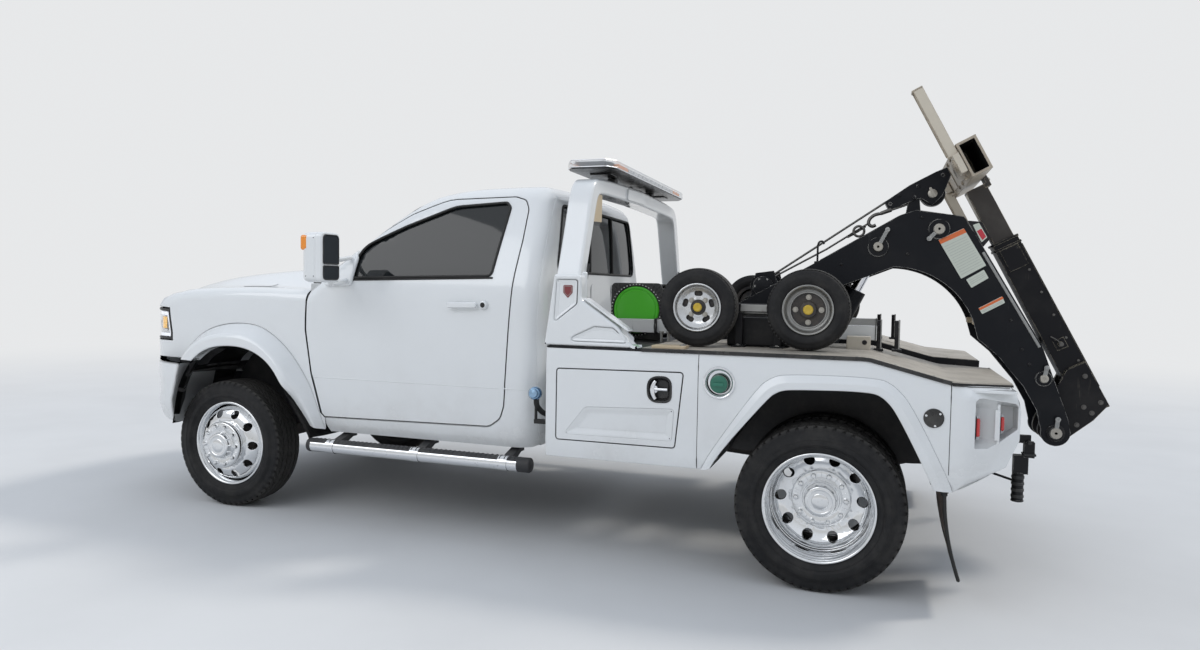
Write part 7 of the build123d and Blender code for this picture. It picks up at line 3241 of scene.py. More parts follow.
@dataclass
class Lift:
    """Pins, labels, ropes and fittings of the boom, the winch, the sheave head and the wheel lift."""

    palette: Palette
    plate: float = 200.0
    pivot: float = 1519.0
    pins: tuple[tuple[Point2, float, Point2], ...] = (
        ((3901, 1700), 27.0, (3949, 1797)), ((4221, 1799), 30.0, (4170, 1745)),
        ((4771, 986), 22.0, (4782, 1046)), ((4838, 694), 30.0, (4845, 770)))

    def pin(self, centre: Point2, radius: float, keeper: Point2) -> Shape:
        """Pin head with its washer, keeper bar and bolt on the driver's side.

        Args:
            centre: Middle of the pin, seen from the side.
            radius: Radius of the pin.
            keeper: Where the keeper's bolt is.

        Returns:
            The pin head.
        """
        x, z = centre
        y = -self.plate
        made = turned([(-2, radius + 17), (5, radius + 16), (7, radius + 13), (7, radius)], (x, y, z),
                      (0, -1, 0), 36, 1)
        made.join(turned([(5, radius), (21, radius), (24, radius - 3), (24, 8), (22, 6), (22, 0)], (x, y, z),
                         (0, -1, 0), 36, 0))
        run = np.array(keeper, float) - np.array(centre, float)
        angle = math.degrees(math.atan2(run[1], run[0]))
        length = float(np.linalg.norm(run))
        middle = np.array(centre) + run * 0.62
        bar = slot(tuple(middle), (length * 0.95, 21), angle)
        made.join(panel(bar, [], Flat.side(y - 20), 9, 2.5, finish=2))
        made.join(hexagon((keeper[0], y - 20, keeper[1]), (0, -1, 0), 15, 8, 2))
        made.join(block((keeper[0] - 11, y - 14, keeper[1] - 11),
                        (keeper[0] + 11, y + 1, keeper[1] + 11), 3, 1))
        return made

    def label(self, corners: Sequence[Point2], band: float, ink: int, stripe: Sequence[float] = ()) -> Shape:
        """Blank plate with a coloured header along its first edge.

        Args:
            corners: The four corners.
            band: Height of the header, or 0 for none.
            ink: Index of the header's material.
            stripe: Thin lines, as shares of the way from the first edge.

        Returns:
            The plate.
        """
        pts = np.array(corners, float)
        made = panel(rounded(corners, 5), [], Flat.side(-self.plate - 1.4), 1.4, 0.5, steps=1, finish=3)
        down = unit(pts[3] - pts[0])
        if band:
            head = [pts[0] + down * 2, pts[1] + down * 2, pts[1] + down * band, pts[0] + down * band]
            made.join(panel(rounded(head, 2), [], Flat.side(-self.plate - 1.9), 0.5, 0.2, steps=1,
                            finish=ink))
        for share in stripe:
            a, b = pts[0] + (pts[3] - pts[0]) * share, pts[1] + (pts[2] - pts[1]) * share
            a, b = a + (b - a) * 0.08, b - (b - a) * 0.08
            line = [a, b, b + down * 1.6, a + down * 1.6]
            made.join(panel(rounded(line, 0), [], Flat.side(-self.plate - 1.8), 0.4, 0.1, steps=1,
                            finish=6))
        return made

    def plates(self) -> Shape:
        """What is fixed on the outer face of the driver's boom plate.

        Returns:
            The shape.
        """
        made = Shape()
        for pin in self.pins:
            made.join(self.pin(*pin))
        made.join(self.label([(4218, 1739), (4347, 1803), (4467, 1597), (4343, 1522)], 28, 4,
                             np.linspace(0.2, 0.92, 13).tolist()))
        made.join(self.label([(4368, 1518), (4456, 1574), (4482, 1528), (4397, 1472)], 0, 4,
                             (0.25, 0.45, 0.65)))
        made.join(self.label([(4436, 1361), (4552, 1429), (4568, 1393), (4456, 1328)], 15, 4, (0.6, 0.78)))
        rim = rounded([(4362, 1846), (4438, 1838), (4486, 1748), (4446, 1694)], 8)
        made.join(panel(rim, [], Flat.side(-self.plate + 8), 8, 2, finish=1))
        made.join(panel(rounded([(4393, 1821), (4424, 1832), (4468, 1752), (4440, 1724)], 4), [],
                        Flat.side(-self.plate + 6.6), 1.4, 0.4, steps=1, finish=3))
        made.join(panel(rounded([(4414, 1786), (4436, 1800), (4462, 1756), (4444, 1736)], 4), [],
                        Flat.side(-self.plate + 5.8), 0.8, 0.2, steps=1, finish=5))
        band = evenly(np.array([(4461.0, 1676.0), (4757.0, 1163.0)]), 40)
        path = np.stack([band[:, 0] - 12, np.full(40, -self.plate - 1.0), band[:, 1] - 7], 1)
        made.join(swept(rounded([(-8, 0), (8, 0), (5, 4), (-5, 4)], 1, 1e3), path,
                        np.array([0, -1.0, 0]), finish=2))
        made.join(block((4412, -182, 1268), (4446, -144, 1300), 6, 7, 3))
        for x, z in ((4130, 1865), (4060, 1660), (4600, 1300), (4660, 1140), (4700, 1060), (3700, 1600),
                     (3500, 1480)):
            made.join(turned([(0, 9), (5, 8), (8, 4), (8, 0)], (x, -self.plate, z), (0, -1, 0), 14, 1))
        weld = np.array([(3000, 1300), (3580, 1622), (4012, 1877), (4098, 1907), (4346, 1867), (4403, 1774)],
                        float)
        path = np.stack([weld[:, 0], np.full(len(weld), -self.plate + 13.0), weld[:, 1] - 2], 1)
        made.join(tube(path[1:], 5, 6, 20, 1))
        return made

    def ropes(self) -> Shape:
        """Taut wire ropes, their guide, hook, chain and ring on the boom's top.

        Returns:
            The shape.
        """
        made = tube([(3262, -60, 1514), (3935, -30, 1972), (4100, -18, 2062)], 6.5, 8)
        made.join(tube([(3262, 70, 1514), (3600, 62, 1700), (3838, 40, 1852)], 6.0, 8))
        made.join(tube([(4128, -14, 1990), (4040, -30, 1950), (3962, -46, 1922)], 6.0, 8))
        made.join(turned([(0, 0), (0, 13), (60, 11), (72, 7), (72, 0)], (3966, -44, 1926),
                         (-0.93, -0.1, -0.36), 16, 1))
        hook = [(3900, -56, 1902), (3874, -58, 1896), (3846, -58, 1872), (3840, -58, 1842), (3862, -58, 1826),
                (3884, -58, 1836)]
        made.join(tube(hook, 10, 12, 24, 1))
        for k in range(6):
            centre = np.array([3812.0 - 15 * k, -50 + 5 * k, 1822.0 - 9 * k])
            flat = Flat(tuple(centre), (0.86, 0, 0.5), (0, 0.7, 0.7) if k % 2 else (0, -0.7, 0.7))
            loop = slot((0, 0), (32, 20), 0)
            made.join(swept(circle((0, 0), 3.6, 8), flat(loop, np.zeros(len(loop))), finish=1, loop=True))
        ring = circle((3790, 1798), 30, 32)
        made.join(swept(circle((0, 0), 7.5, 10), np.stack([ring[:, 0], np.full(32, -86.0), ring[:, 1]], 1),
                        finish=1, loop=True))
        made.join(tube([(3558, -92, 1606), (3558, -92, 1716), (3566, -92, 1738), (3588, -92, 1740),
                        (3594, -92, 1722)],
                       6, 10, 16, 2))
        made.join(block((3540, -104, 1590), (3576, -80, 1620), 4, 2))
        made.join(tube([(3120, 150, 1320), (3300, 160, 1420), (3700, 165, 1640), (4010, 160, 1820),
                        (4330, 150, 1800), (4440, 140, 1640), (4700, 130, 1170), (4790, 120, 960)], 9,
                        8, 120, 3))
        return made

    def winch(self) -> Shape:
        """Rope wound on the winch drum, with its end covers.

        Returns:
            The shape.
        """
        turns = [(-112, 48)]
        for k in range(17):
            turns += [(-110 + k * 13.2, 60), (-103.5 + k * 13.2, 64), (-97 + k * 13.2, 60)]
        turns += [(112, 48)]
        made = turned(turns, (3250, 0, 1465), (0, 1, 0), 40, 0, 60)
        for sign in (-1, 1):
            made.join(turned([(0, 50), (12, 62), (24, 60), (30, 30), (31, 0)], (3250, sign * 157, 1465),
                             (0, sign, 0), 36, 1))
            for k in range(6):
                a = math.radians(60 * k)
                made.join(hexagon((3250 + 48 * math.cos(a), sign * 178, 1465 + 48 * math.sin(a)),
                                  (0, sign, 0), 12, 6, 2))
        return made

    def head(self) -> Shape:
        """Grooved sheave and bolts of the rope head.

        Returns:
            The shape.
        """
        made = turned([(-24, 14), (-24, 56), (-20, 66), (-14, 69), (-6, 60), (6, 60), (14, 69), (20, 66),
                       (24, 56), (24, 14)], (4189, 0, 2015), (0, 1, 0), 48, 0, 40)
        for sign in (-1, 1):
            made.join(turned([(0, 26), (10, 25), (13, 18), (13, 0)], (4189, sign * 44, 2015),
                             (0, sign, 0), 28, 1))
            made.join(panel(slot((4189, 2022), (64, 17), 120), [], Flat.side(-58 if sign < 0 else 50), 8, 2,
                            finish=1))
            for x, z in ((3960, 1960), (4010, 2010), (4110, 2060), (4240, 2120), (4090, 1996)):
                made.join(hexagon((x, sign * 44, z), (0, sign, 0), 14, 7, 0))
        return made

    def in_line(self, shape: Shape) -> Shape:
        """Shape drawn along the wheel lift's tube, turned into its folded place."""
        return shape.moved(STINGER_SPIN, STINGER_FOOT)

    def stinger(self) -> Shape:
        """Collar, wear strips, plates and bolts of the outer tube.

        Returns:
            The shape.
        """
        made = Shape()
        ring = rounded([(-76, -76), (76, -76), (76, 76), (-76, 76)], 12, 60)
        hole = rounded([(-60, -60), (60, -60), (60, 60), (-60, 60)], 6, 60)
        for s in (1024.0, 1060.0):
            made.join(panel(ring, [hole], Flat((s, 0, 0), (0, 1, 0), (0, 0, 1)), 14, 3))
        for y in (-60, 60):
            made.join(block((120, y - 14, -73), (1000, y + 14, -69.5), 1.5, 1))
        for s in range(150, 1000, 140):
            for y in (-70.5, 70.5):
                made.join(turned([(0, 8), (4, 7), (6, 0)], (s, y, -40), (0, math.copysign(1, y), 0), 12, 1))
        made.join(block((380, -73, -30), (440, -69.5, 30), 2))
        made.join(rod((410, -72, 0), (410, -104, 0), 12, 20, 1))
        made.join(tube([(410, -100, 0), (440, -104, 10), (470, -100, 30)], 4, 8, 10, 1))
        for y in (-76, 76):
            made.join(block((880, min(y, y * 0.93), -52), (1010, max(y, y * 0.93), 52), 2))
        made = self.in_line(made)
        for x, z in ((4990, 830), (5030, 800), (4960, 730), (4900, 680), (5070, 860), (4990, 1000)):
            for sign in (-1, 1):
                made.join(hexagon((x, sign * 94, z), (0, sign, 0), 15, 8, 1))
        made.join(tube([(4560, 120, 1390), (4700, 110, 1230), (4840, 60, 1130), (4700, 20, 1420)], 8,
                       8, 60, 2))
        return made

    def slide(self) -> Shape:
        """Rubbed strips and bolts on the inner tube and its tongue.

        Returns:
            The shape.
        """
        made = Shape()
        for z in (-57.5, 57.5):
            low, high = sorted((z, z * 0.985))
            made.join(block((1090, -44, low), (1380, 44, high), 0.4, 1, 1))
        for s in (1405, 1450):
            for y in (-38, 38):
                made.join(hexagon((s, y, -78), (0, 0, -1), 16, 8, 0))
        made.join(turned([(0, 40), (8, 39), (11, 34), (11, 0)], (self.pivot, 0, -78), (0, 0, -1), 32, 0))
        return self.in_line(made)

    def bar(self) -> Shape:
        """Rims, gussets and stops of the crossbar.

        Returns:
            The shape.
        """
        made = Shape()
        rim = rounded([(-97, -53), (97, -53), (97, 53), (-97, 53)], 8, 60)
        hole = rounded([(-84, -40), (84, -40), (84, 40), (-84, 40)], 5, 60)
        for y in (-499.0, 507.0):
            flat = Flat((self.pivot, y, 0), (1, 0, 0), (0, 0, 1))
            made.join(panel(rim, [hole], flat, 8, 2, finish=1))
        for y0, y1 in ((-496, -62), (62, 496)):
            for s in (-85.6, 85.0):
                made.join(block((self.pivot + s, y0, -40), (self.pivot + 0.6 + s, y1, 40), 0.1, 2, 1))
            for z in (-41.0, 40.4):
                made.join(block((self.pivot - 84, y0, z), (self.pivot + 84, y1, z + 0.6), 0.1, 2, 1))
        for sign in (-1, 1):
            made.join(turned([(0, 40), (6, 39), (8, 34), (8, 24)], (self.pivot, sign * 455, 53),
                             (0, 0, 1), 28, 0))
            made.join(block((1452, min(sign * 140, sign * 330), 53),
                            (1586, max(sign * 140, sign * 330), 58), 3, 0))
            made.join(rod((1440, sign * 380, 50), (1440, sign * 380, 78), 9, 16, 0))
            for s in (1445, 1593):
                made.join(hexagon((s, sign * 90, 53), (0, 0, 1), 18, 10, 0))
        return self.in_line(made)

    def claw(self, way: float) -> Shape:
        """Lips, bolt and end stop of one claw, drawn about the crossbar's middle.

        Args:
            way: 1 for the left claw, -1 for the right one.

        Returns:
            The claw's details.
        """
        y = -455 * way
        made = Shape()
        for side_y in (y - 34, y + 28):
            low, high = sorted((self.pivot + way * 60, self.pivot + way * 455))
            made.join(block((low, side_y, 106), (high, side_y + 6, 112), 2.5, 1))
        low, high = sorted((self.pivot + way * 447, self.pivot + way * 457))
        made.join(block((low, y - 36, 58), (high, y + 36, 116), 3, 1))
        made.join(turned([(0, 34), (10, 33), (14, 26), (14, 0)], (self.pivot, y, 92), (0, 0, 1), 28, 1))
        for k in range(5):
            s = self.pivot + way * (120 + 70 * k)
            made.join(block((s - 3, y - 24, 66), (s + 3, y + 24, 71), 1.5, 1))
        return self.in_line(made)

    def build(self) -> None:
        """Write all pieces."""
        p = self.palette
        labels = [p["label_white"], p["label_orange"], p["label_red"], p["label_grey"], p["label_beige"]]
        self.plates().both().piece("boom_fittings",
                                   [p["pin_grey"], p["frame_black"], p["plate_grey"], *labels], "boom",
                                   "boom_black")
        self.ropes().piece("boom_ropes",
                           [p["wire_rope"], p["hook_iron"], p["frame_black"], p["seal_black"]], "boom",
                           "rod_chrome")
        self.winch().piece("winch_drum_rope",
                           [p["wire_rope"], p["boom_black"], p["dull_grey"], p["seal_black"]], "boom",
                           "boom_black")
        self.head().piece("sheave_wheel", [p["boom_black"], p["pin_grey"]], "boom", "boom_black")
        self.stinger().piece("stinger_fittings", [p["stinger_black"], p["hook_iron"], p["seal_black"]],
                             "stinger_outer", "boom_black")
        self.slide().piece("slide_fittings", [p["pin_grey"], p["claw_steel"]], "stinger_slide", "claw_steel")
        self.bar().piece("crossbar_fittings", [p["bar_beige"], p["claw_steel"], p["seal_black"]], "crossbar",
                         "claw_steel")
        for name, way in (("claw_left", 1.0), ("claw_right", -1.0)):
            self.claw(way).piece(f"{name}_lips", [p["claw_steel"], p["bar_beige"]], name, "claw_steel")


# Seats and dashboard


@dataclass
class Seats:
    """Two seats with padded cushions, backs and head restraints, swelled by cloth simulation."""

    palette: Palette
    y: float = -470.0
    voxel: float = 0.011
    cap: float = 0.016

    def pad(self, outline: Sequence[Point2], half: float, edge: float) -> Shape:
        """Closed rounded form of a pad, from its side view and half width."""
        flat = Flat.side(self.y - half)
        return panel(rounded(outline, edge, 60), [], flat, 2 * half, edge * 0.8, cell=60, steps=3)

    def swell(self, pad: Shape, name: str) -> tuple[Array, list[tuple[int, ...]]]:
        """Run the cloth simulation on a pad.

        Args:
            pad: The pad before it swells.
            name: Name for the working object.

        Returns:
            Points in millimetres and faces of the swollen pad.
        """
        mesh = bpy.data.meshes.new(name)
        mesh.from_pydata((np.concatenate(pad.points) * MM).tolist(), [], pad.faces)
        work = bpy.data.objects.new(name, mesh)
        bpy.context.scene.collection.objects.link(work)
        remesh = work.modifiers.new("remesh", "REMESH")
        remesh.mode = "VOXEL"
        remesh.voxel_size = self.voxel
        solid = bpy.data.meshes.new_from_object(work.evaluated_get(bpy.context.evaluated_depsgraph_get()))
        work.modifiers.clear()
        work.data = solid
        before = np.array([tuple(v.co) for v in solid.vertices])
        after = before
        cloth = work.modifiers.new("cloth", "CLOTH")
        cloth.settings.quality = 4
        cloth.settings.use_pressure = True
        cloth.settings.uniform_pressure_force = 4.0
        cloth.settings.effector_weights.gravity = 0.0
        cloth.collision_settings.use_collision = False
        cloth.point_cache.frame_end = 20
        for frame in range(1, 21):
            bpy.context.scene.frame_set(frame)
        shown = work.evaluated_get(bpy.context.evaluated_depsgraph_get()).data
        after = np.array([tuple(v.co) for v in shown.vertices])
        bpy.context.scene.frame_set(1)
        work.modifiers.clear()
        step = after - before
        length = np.linalg.norm(step, axis=1, keepdims=True)
        step *= np.minimum(1.0, self.cap / np.maximum(length, 1e-9))
        faces = [tuple(p.vertices) for p in solid.polygons]
        points = (before + step) / MM
        bpy.data.objects.remove(work)
        return points, faces

    def piping(self, outline: Sequence[Point2], half: float, edge: float, grow: float) -> Shape:
        """Sewn piping round both sides of a pad.

        Args:
            outline: Side view of the pad.
            half: Half of the pad's width.
            edge: Radius of its corners.
            grow: How far outside the outline the piping runs.

        Returns:
            The piping.
        """
        made = Shape()
        loop = rounded(outline, edge, 30)
        for y in (self.y - half * 0.93, self.y + half * 0.93):
            path = Flat.side(y)(grown_loop(loop, grow), np.zeros(len(loop)))
            made.join(swept(circle((0, 0), 3.2, 6), path, finish=1, loop=True))
        return made

    def build(self) -> None:
        """Write the pads of both seats and their frames."""
        p = self.palette
        plans = (
            ("seat_cushion", ((1336, 1022), (1336, 1104), (1560, 1112), (1806, 1086), (1806, 1022)),
             232.0, 36.0),
            ("seat_back", ((1806, 1096), (1962, 1618), (2054, 1618), (1946, 1040), (1836, 1026)),
             226.0, 36.0),
            ("seat_head", ((1996, 1678), (1996, 1822), (2056, 1822), (2058, 1678)), 116.0, 24.0),
        )
        bpy.context.scene.frame_set(1)
        stands_for = ["seats"]
        for name, outline, half, edge in plans:
            points, faces = self.swell(self.pad(outline, half, edge), name)
            made = Shape().add(points, faces).join(self.piping(outline, half, edge, 7.0))
            for side in Side:
                piece = made.on(side).piece(f"{name}_{side.word}", [p["seat_cloth"], p["trim_black"]],
                                            "chassis",
                                            "seat_cloth", stands_for)
                stands_for = []
        frames = Shape()
        frames.join(block((1380, self.y - 196, 852), (1760, self.y + 196, 1012), 20, 0, 3))
        frames.join(block((1800, self.y - 260, 1000), (1880, self.y - 244, 1090), 8, 0))
        frames.join(rod((1840, self.y - 262, 1040), (1840, self.y - 244, 1040), 26, 24, 0))
        frames.join(tube([(1900, self.y + 236, 1060), (1960, self.y + 262, 1240), (1760, self.y + 262, 1262),
                          (1700, self.y + 262, 1262)], 18, 12, 30, 0))
        for offset in (-45, 45):
            frames.join(rod((2026, self.y + offset, 1600), (2026, self.y + offset, 1700), 7, 12, 1))
        frames.both().piece("seat_frames", [p["trim_black"], p["dull_grey"]], "chassis", "trim_black")


@dataclass
class Dashboard:
    """Dashboard with its dials, vents, blank screen, wheel, stalks and pedals."""

    palette: Palette

    def top(self) -> Shape:
        """Padded top and front of the dashboard.

        Returns:
            The shape.
        """
        profile = rounded([(588, 1090), (588, 1448), (760, 1474), (1000, 1452), (1040, 1400), (1036, 1320),
                           (930, 1130)], [10, 20, 60, 40, 30, 60, 60], 40)
        made = panel(profile, [], Flat.side(-858), 1716, 24, steps=3)
        made.join(panel(rounded([(900, 1440), (1052, 1450), (1052, 1470), (960, 1496), (890, 1484)], 12), [],
                        Flat.side(-640), 340, 12, steps=3))
        for y in (-760, -150, 90, 760):
            made.join(block((1026, y - 60, 1352), (1050, y + 60, 1402), 10, 1, 3))
            for k in range(-3, 4):
                made.join(block((1046, y - 54, 1374 + k * 6), (1054, y + 54, 1376 + k * 6), 1, 0, 1))
        made.join(block((1030, -140, 1210), (1056, 100, 1330), 10, 2, 3))
        for y in (-110, -60, 20, 70):
            made.join(turned([(0, 18), (16, 16), (18, 12), (18, 0)], (1020, y, 1180), (1, 0, 0), 20, 1))
        made.join(block((1020, 200, 1170), (1036, 700, 1300), 14, 0, 3))
        for y in (-560, -380):
            made.join(turned([(0, 62), (6, 60), (6, 52), (2, 50)], (1040, y, 1425), (0.94, 0, -0.34), 36, 2))
            made.join(turned([(2, 51), (2, 0)], (1040, y, 1425), (0.94, 0, -0.34), 36, 1))
        for y in (-560, -430):
            made.join(tube([(860, y, 1190), (880, y, 1060), (960, y, 960)], 9, 8, 40, 1))
            made.join(block((948, y - 40, 940), (966, y + 40, 990), 6, 1))
        return made

    def wheel(self) -> Shape:
        """Steering wheel on its column, with stalks.

        Returns:
            The shape.
        """
        way = np.array([math.cos(math.radians(25)), 0.0, math.sin(math.radians(25))])
        centre = np.array([1000.0, -470.0, 1350.0]) + way * 212
        right, up = np.array([0.0, 1.0, 0.0]), np.cross(way, np.array([0.0, 1.0, 0.0]))
        turn = np.linspace(0, 2 * math.pi, 56, endpoint=False)
        rim = centre + 183 * (np.cos(turn)[:, None] * right + np.sin(turn)[:, None] * up)
        made = swept(circle((0, 0), 13, 12), rim, loop=True)
        made.join(turned([(-40, 40), (-12, 64), (4, 66), (12, 58), (16, 30), (16, 0)], tuple(centre),
                         tuple(way), 36))
        for angle in (0.0, 90.0, 180.0):
            a = math.radians(angle)
            out = math.cos(a) * right - math.sin(a) * up * (1 if up[2] > 0 else -1)
            made.join(tube([tuple(centre + out * 40), tuple(centre + out * 110 - way * 6),
                            tuple(centre + out * 178)],
                           11, 8, 30))
        made.join(turned([(0, 44), (150, 34), (170, 30)], (1000, -470, 1350), tuple(way), 28))
        for sign in (-1, 1):
            made.join(tube([(1120, -470, 1404), (1130, -470 + sign * 90, 1420),
                            (1150, -470 + sign * 190, 1430)], 7, 8,
                           40, 1))
        return made

    def build(self) -> None:
        """Write the pieces."""
        p = self.palette
        self.top().join(self.wheel()).piece("dashboard_skin",
                                            [p["trim_black"], p["smooth_black"], p["dull_grey"]],
                                            "chassis", "trim_black", ["dashboard"])


# Steps and what hangs below


@dataclass
class Under:
    """Step bar ends and brackets, and the fittings of the frame rails and axles."""

    palette: Palette
    bar_y: float = -1105.0
    bar_z: float = 464.0

    def steps(self) -> Shape:
        """Black end caps, tread pads and bracket bolts of the driver's step bar.

        Returns:
            The shape.
        """
        made = Shape()
        for x, way in ((690, -1), (2135, 1)):
            made.join(turned([(-20, 40.8), (0, 41), (8, 39), (15, 30), (18, 14), (18, 0)],
                             (x, self.bar_y, self.bar_z), (way, 0, 0), 40, 1))
        turn = np.radians(np.linspace(34, 136, 15))
        rows = [np.stack([np.full(15, at), self.bar_y - 41.8 * np.cos(turn),
                          self.bar_z + 41.8 * np.sin(turn)], 1)
                for at in (706.0, 2078.0)]
        made.join(ruled(rows[::-1], 1))
        for k in range(46):
            places = [(728 + 29.5 * k, self.bar_y - 42 * math.cos(t), self.bar_z + 42 * math.sin(t))
                      for t in np.radians(np.linspace(44, 126, 8))]
            made.join(tube(places, 2.4, 6, 0, 1))
        made.join(turned([(-62, 41.4), (4, 41.6), (10, 38)], (2135, self.bar_y, self.bar_z),
                         (1, 0, 0), 40, 1))
        for z in (424, 456, 488, 520):
            made.join(turned([(0, 27.5), (3, 30), (13, 30), (16, 27.5)], (4598, -635, z), (0, 0, 1), 28, 1))
        made.join(turned([(0, 27.5), (0, 30), (5, 30), (7, 27), (7, 0)], (4598, -635, 412),
                         (0, 0, -1), 28, 1))
        made.join(block((4612, -668, 640), (4672, -604, 652), 5, 1))
        made.join(rod((4640, -672, 706), (4640, -600, 706), 9, 16, 1))
        for x in (820, 1400, 1960):
            arm = rounded([(-1076, 439), (-1076, 491), (-941, 529.5), (-898.5, 529.5), (-898.5, 498.5),
                           (-939, 498.5)], 2)
            made.join(panel(arm, [], Flat.rear(x + 51.3), 52.6, 1, finish=1))
            made.join(turned([(-3, 41.9), (53, 41.9)], (x, self.bar_y, self.bar_z), (1, 0, 0), 40, 0))
            for z in (512, 540):
                made.join(hexagon((x + 25, -936, z), (0, -1, 0), 17, 9, 2))
        return made

    def rails(self) -> Shape:
        """Rivets and lines along the driver's rail.

        Returns:
            The shape.
        """
        made = Shape()
        for x in range(-600, 4400, 210):
            for z in (655, 785):
                made.join(turned([(0, 9), (4, 8), (8, 4), (8, 0)], (x, -431, z), (0, -1, 0), 12, 0))
        made.join(tube([(-500, -398, 800), (900, -398, 806), (1700, -398, 806), (3300, -398, 806),
                        (3560, -300, 700), (3640, -140, 560)], 6, 8, 60, 2))
        made.join(tube([(-300, -392, 640), (900, -392, 634), (1500, -392, 634), (2600, -392, 634)], 8,
                       8, 40, 3))
        return made

    def axles(self) -> Shape:
        """Brake lines on both axles and cover bolts on the rear axle.

        Returns:
            The shape.
        """
        made = Shape()
        for k in range(12):
            a = math.radians(30 * k)
            made.join(hexagon((3670 + 132, 128 * math.cos(a), 405 + 128 * math.sin(a)), (1, 0, 0), 15, 8, 0))
        for sign in (-1, 1):
            made.join(tube([(3670, sign * 140, 470), (3664, sign * 300, 466), (3660, sign * 520, 460),
                            (3640, sign * 640, 430)], 5, 8, 30, 1))
            made.join(tube([(10, sign * 300, 470), (0, sign * 560, 470), (-40, sign * 680, 500)], 6,
                           8, 30, 2))
        return made

    def build(self) -> None:
        """Write the pieces."""
        p = self.palette
        self.steps().both().piece("step_fittings", [p["chrome"], p["trim_black"], p["dull_grey"]], "chassis",
                                  "step_chrome")
        self.rails().both().piece("rail_fittings", [p["axle_iron"], p["dull_grey"], p["seal_black"],
                                                    p["exhaust_steel"]], "chassis", "frame_black")
        self.axles().piece("axle_fittings", [p["dull_grey"], p["exhaust_steel"], p["seal_black"]], "chassis",
                           "axle_iron")


# Camera, light and floor


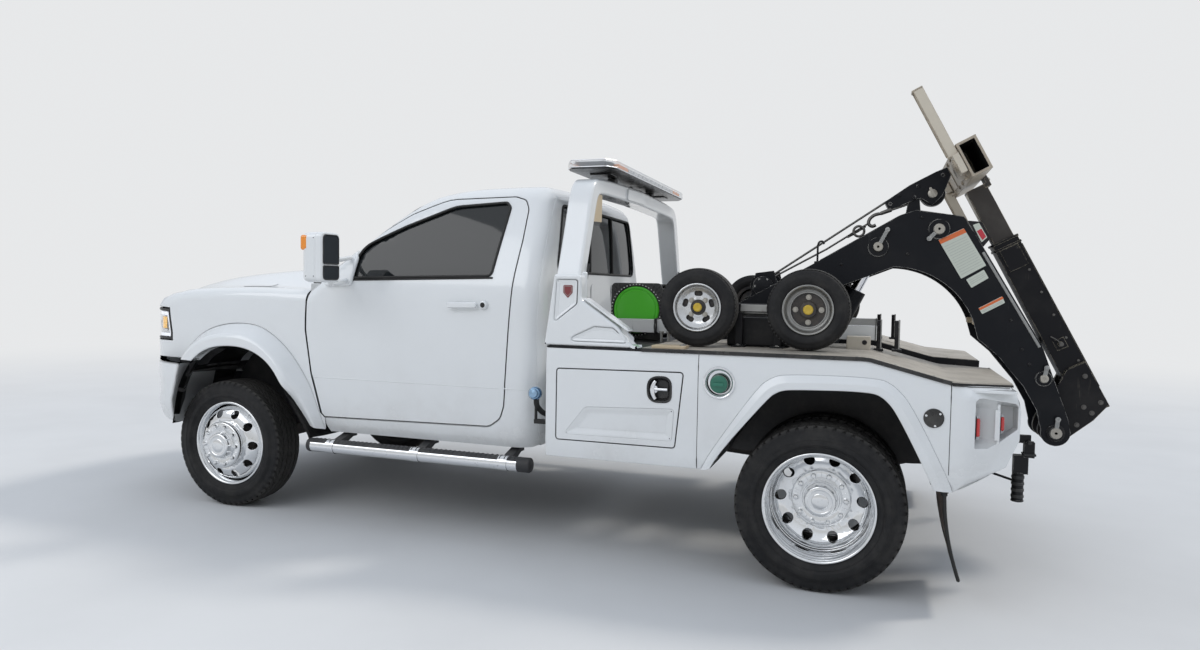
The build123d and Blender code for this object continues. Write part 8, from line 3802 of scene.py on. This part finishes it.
@dataclass(frozen=True)
class Studio:
    """Camera at the photo's place, soft light and a plain pale floor."""

    eye: Point3 = (1.8384, -5.0696, 1.4434)
    yaw: float = -0.3345
    pitch: float = -0.0473
    roll: float = 0.0159
    lens: float = 23.96
    backdrop: Colour = (0.80, 0.81, 0.82)
    floor_colour: Colour = (0.66, 0.66, 0.655)
    mirrored: float = 0.6

    def camera(self) -> None:
        """Place the camera."""
        ahead = np.array([math.sin(self.yaw) * math.cos(self.pitch),
                          math.cos(self.yaw) * math.cos(self.pitch), math.sin(self.pitch)])
        right = np.array([math.cos(self.yaw), -math.sin(self.yaw), 0.0])
        up = np.cross(right, ahead)
        c, s = math.cos(self.roll), math.sin(self.roll)
        columns = np.stack([c * right + s * up, -s * right + c * up, -ahead], 1)
        data = bpy.data.cameras.new("camera")
        data.lens = self.lens
        data.sensor_width = 36.0
        data.sensor_fit = "HORIZONTAL"
        data.clip_end = 400.0
        made = bpy.data.objects.new("camera", data)
        made.matrix_world = Matrix.Translation(self.eye) @ Matrix(columns.tolist()).to_4x4()
        bpy.context.scene.collection.objects.link(made)
        bpy.context.scene.camera = made

    def lamps(self) -> None:
        """Add the sun and one large soft lamp."""
        sun = bpy.data.lights.new("sun", "SUN")
        sun.energy = 1.15
        sun.angle = math.radians(10.0)
        sun.color = (1.0, 0.96, 0.90)
        made = bpy.data.objects.new("sun", sun)
        made.rotation_euler = Vector((0.62, 0.50, 0.80)).to_track_quat("Z", "Y").to_euler()
        bpy.context.scene.collection.objects.link(made)
        soft = bpy.data.lights.new("soft", "AREA")
        soft.energy = 170.0
        soft.shape = "RECTANGLE"
        soft.size, soft.size_y = 9.0, 4.0
        made = bpy.data.objects.new("soft", soft)
        made.location = (-4.0, -7.0, 6.5)
        made.rotation_euler = Vector((-4.0, -7.0, 5.2)).to_track_quat("Z", "Y").to_euler()
        bpy.context.scene.collection.objects.link(made)

    def world(self) -> None:
        """Sky light that brightens upwards, behind it a plain pale backdrop."""
        world = bpy.data.worlds.new("world")
        bpy.context.scene.world = world
        r = Recipe(world)
        way = r.node("ShaderNodeTexCoord", out="Generated")
        height = r.node("ShaderNodeSeparateXYZ", None, {0: way}, "Z")
        sky = r.mix((0.30, 0.31, 0.31), (0.72, 0.79, 0.90), height.ramp(-0.05, 0.65))
        rays = [r.node("ShaderNodeLightPath", None, None, f"Is {kind} Ray")
                for kind in ("Camera", "Glossy", "Transmission")]
        shown = r.mix(sky, self.backdrop, rays[0].above(rays[1] * self.mirrored).above(rays[2]))
        light = r.node("ShaderNodeBackground", None, {"Color": shown, "Strength": 1.0}, "Background")
        r.node("ShaderNodeOutputWorld", None, {"Surface": light}, None)

    def floor(self) -> None:
        """Add a pale floor that fades into the backdrop."""
        r = Recipe("floor")
        x, y = r.axis("x"), r.axis("y")
        far = ((x * x + y * y) ** 0.5).ramp(4.5, 17.0)
        cloud = r.noise(0.8, 4.0).ramp(0.3, 0.8)
        colour = r.mix(self.floor_colour, tuple(c * 0.93 for c in self.floor_colour), cloud)
        lit = r.node("ShaderNodeBsdfPrincipled", None, {"Base Color": colour, "Roughness": 0.75}, "BSDF")
        glow = r.node("ShaderNodeEmission", None, {"Color": (*self.backdrop, 1.0), "Strength": 1.0},
                      "Emission")
        both = r.node("ShaderNodeMixShader", None, {0: far, 1: lit, 2: glow}, "Shader")
        r.node("ShaderNodeOutputMaterial", None, {"Surface": both}, None)
        mesh = bpy.data.meshes.new("floor")
        rim = circle((0, 0), 90.0, 96)
        mesh.from_pydata([(p[0], p[1], 0.0) for p in rim.tolist()], [], [tuple(range(96))])
        mesh.materials.append(r.material)
        made = bpy.data.objects.new("floor", mesh)
        bpy.context.scene.collection.objects.link(made)

    def build(self) -> None:
        """Set up everything."""
        self.camera()
        self.lamps()
        self.world()
        self.floor()
        view = bpy.context.scene.view_settings
        view.view_transform = "Standard"


DRESSES = (
    Dress("frame_rails", "frame_black"),
    Dress("engine_block", "engine_iron", 6.0),
    Dress("drive_shaft", "axle_iron"),
    Dress("exhaust", "exhaust_steel"),
    Dress("fuel_tank", "frame_black", 8.0),
    Dress("leaf_springs", "axle_iron"),
    Dress("front_axle", "axle_iron", 4.0),
    Dress("rear_axle", "axle_iron", 3.0),
    Dress("knuckle_left", "axle_iron", 3.0),
    Dress("knuckle_right", "axle_iron", 3.0),
    Dress("step_bars", "chrome", 1.5),
    Dress("deck_frame", "frame_black"),
    Dress("dolly_bars", "dolly_bar_white", 5.0),
    Dress("boom_pedestal", "boom_black", 3.0),
    Dress("boom", "boom_black", 3.0),
    Dress("winch", "boom_black", 2.0),
    Dress("sheave_head", "boom_black", 3.0),
    Dress("lift_cylinder", "boom_black", 2.5),
    Dress("lift_rod", "rod_chrome", 1.5),
    Dress("stinger_outer", "stinger_black", 3.0),
    Dress("stinger_slide", "slide_worn", 3.0),
    Dress("crossbar", "bar_beige", 3.0),
    Dress("claw_left", "claw_steel", 2.5),
    Dress("claw_right", "claw_steel", 2.5),
)

PARTS = (Seats, Dashboard, RoadWheels, DollyWheels, Cab, Nose, TowBody, Deck, Pylon, DeckLoad, Lift, Under)


def main() -> None:
    """Build the truck's looks on the frame."""
    logging.basicConfig(level=logging.INFO, format="%(name)s %(message)s")
    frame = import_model()
    palette = Palette().fill()
    dress(frame, palette, DRESSES)
    for part in PARTS:
        LOG.info("building %s", part.__name__)
        part(palette).build()
    Studio().build()


if __name__ == "__main__":
    main()
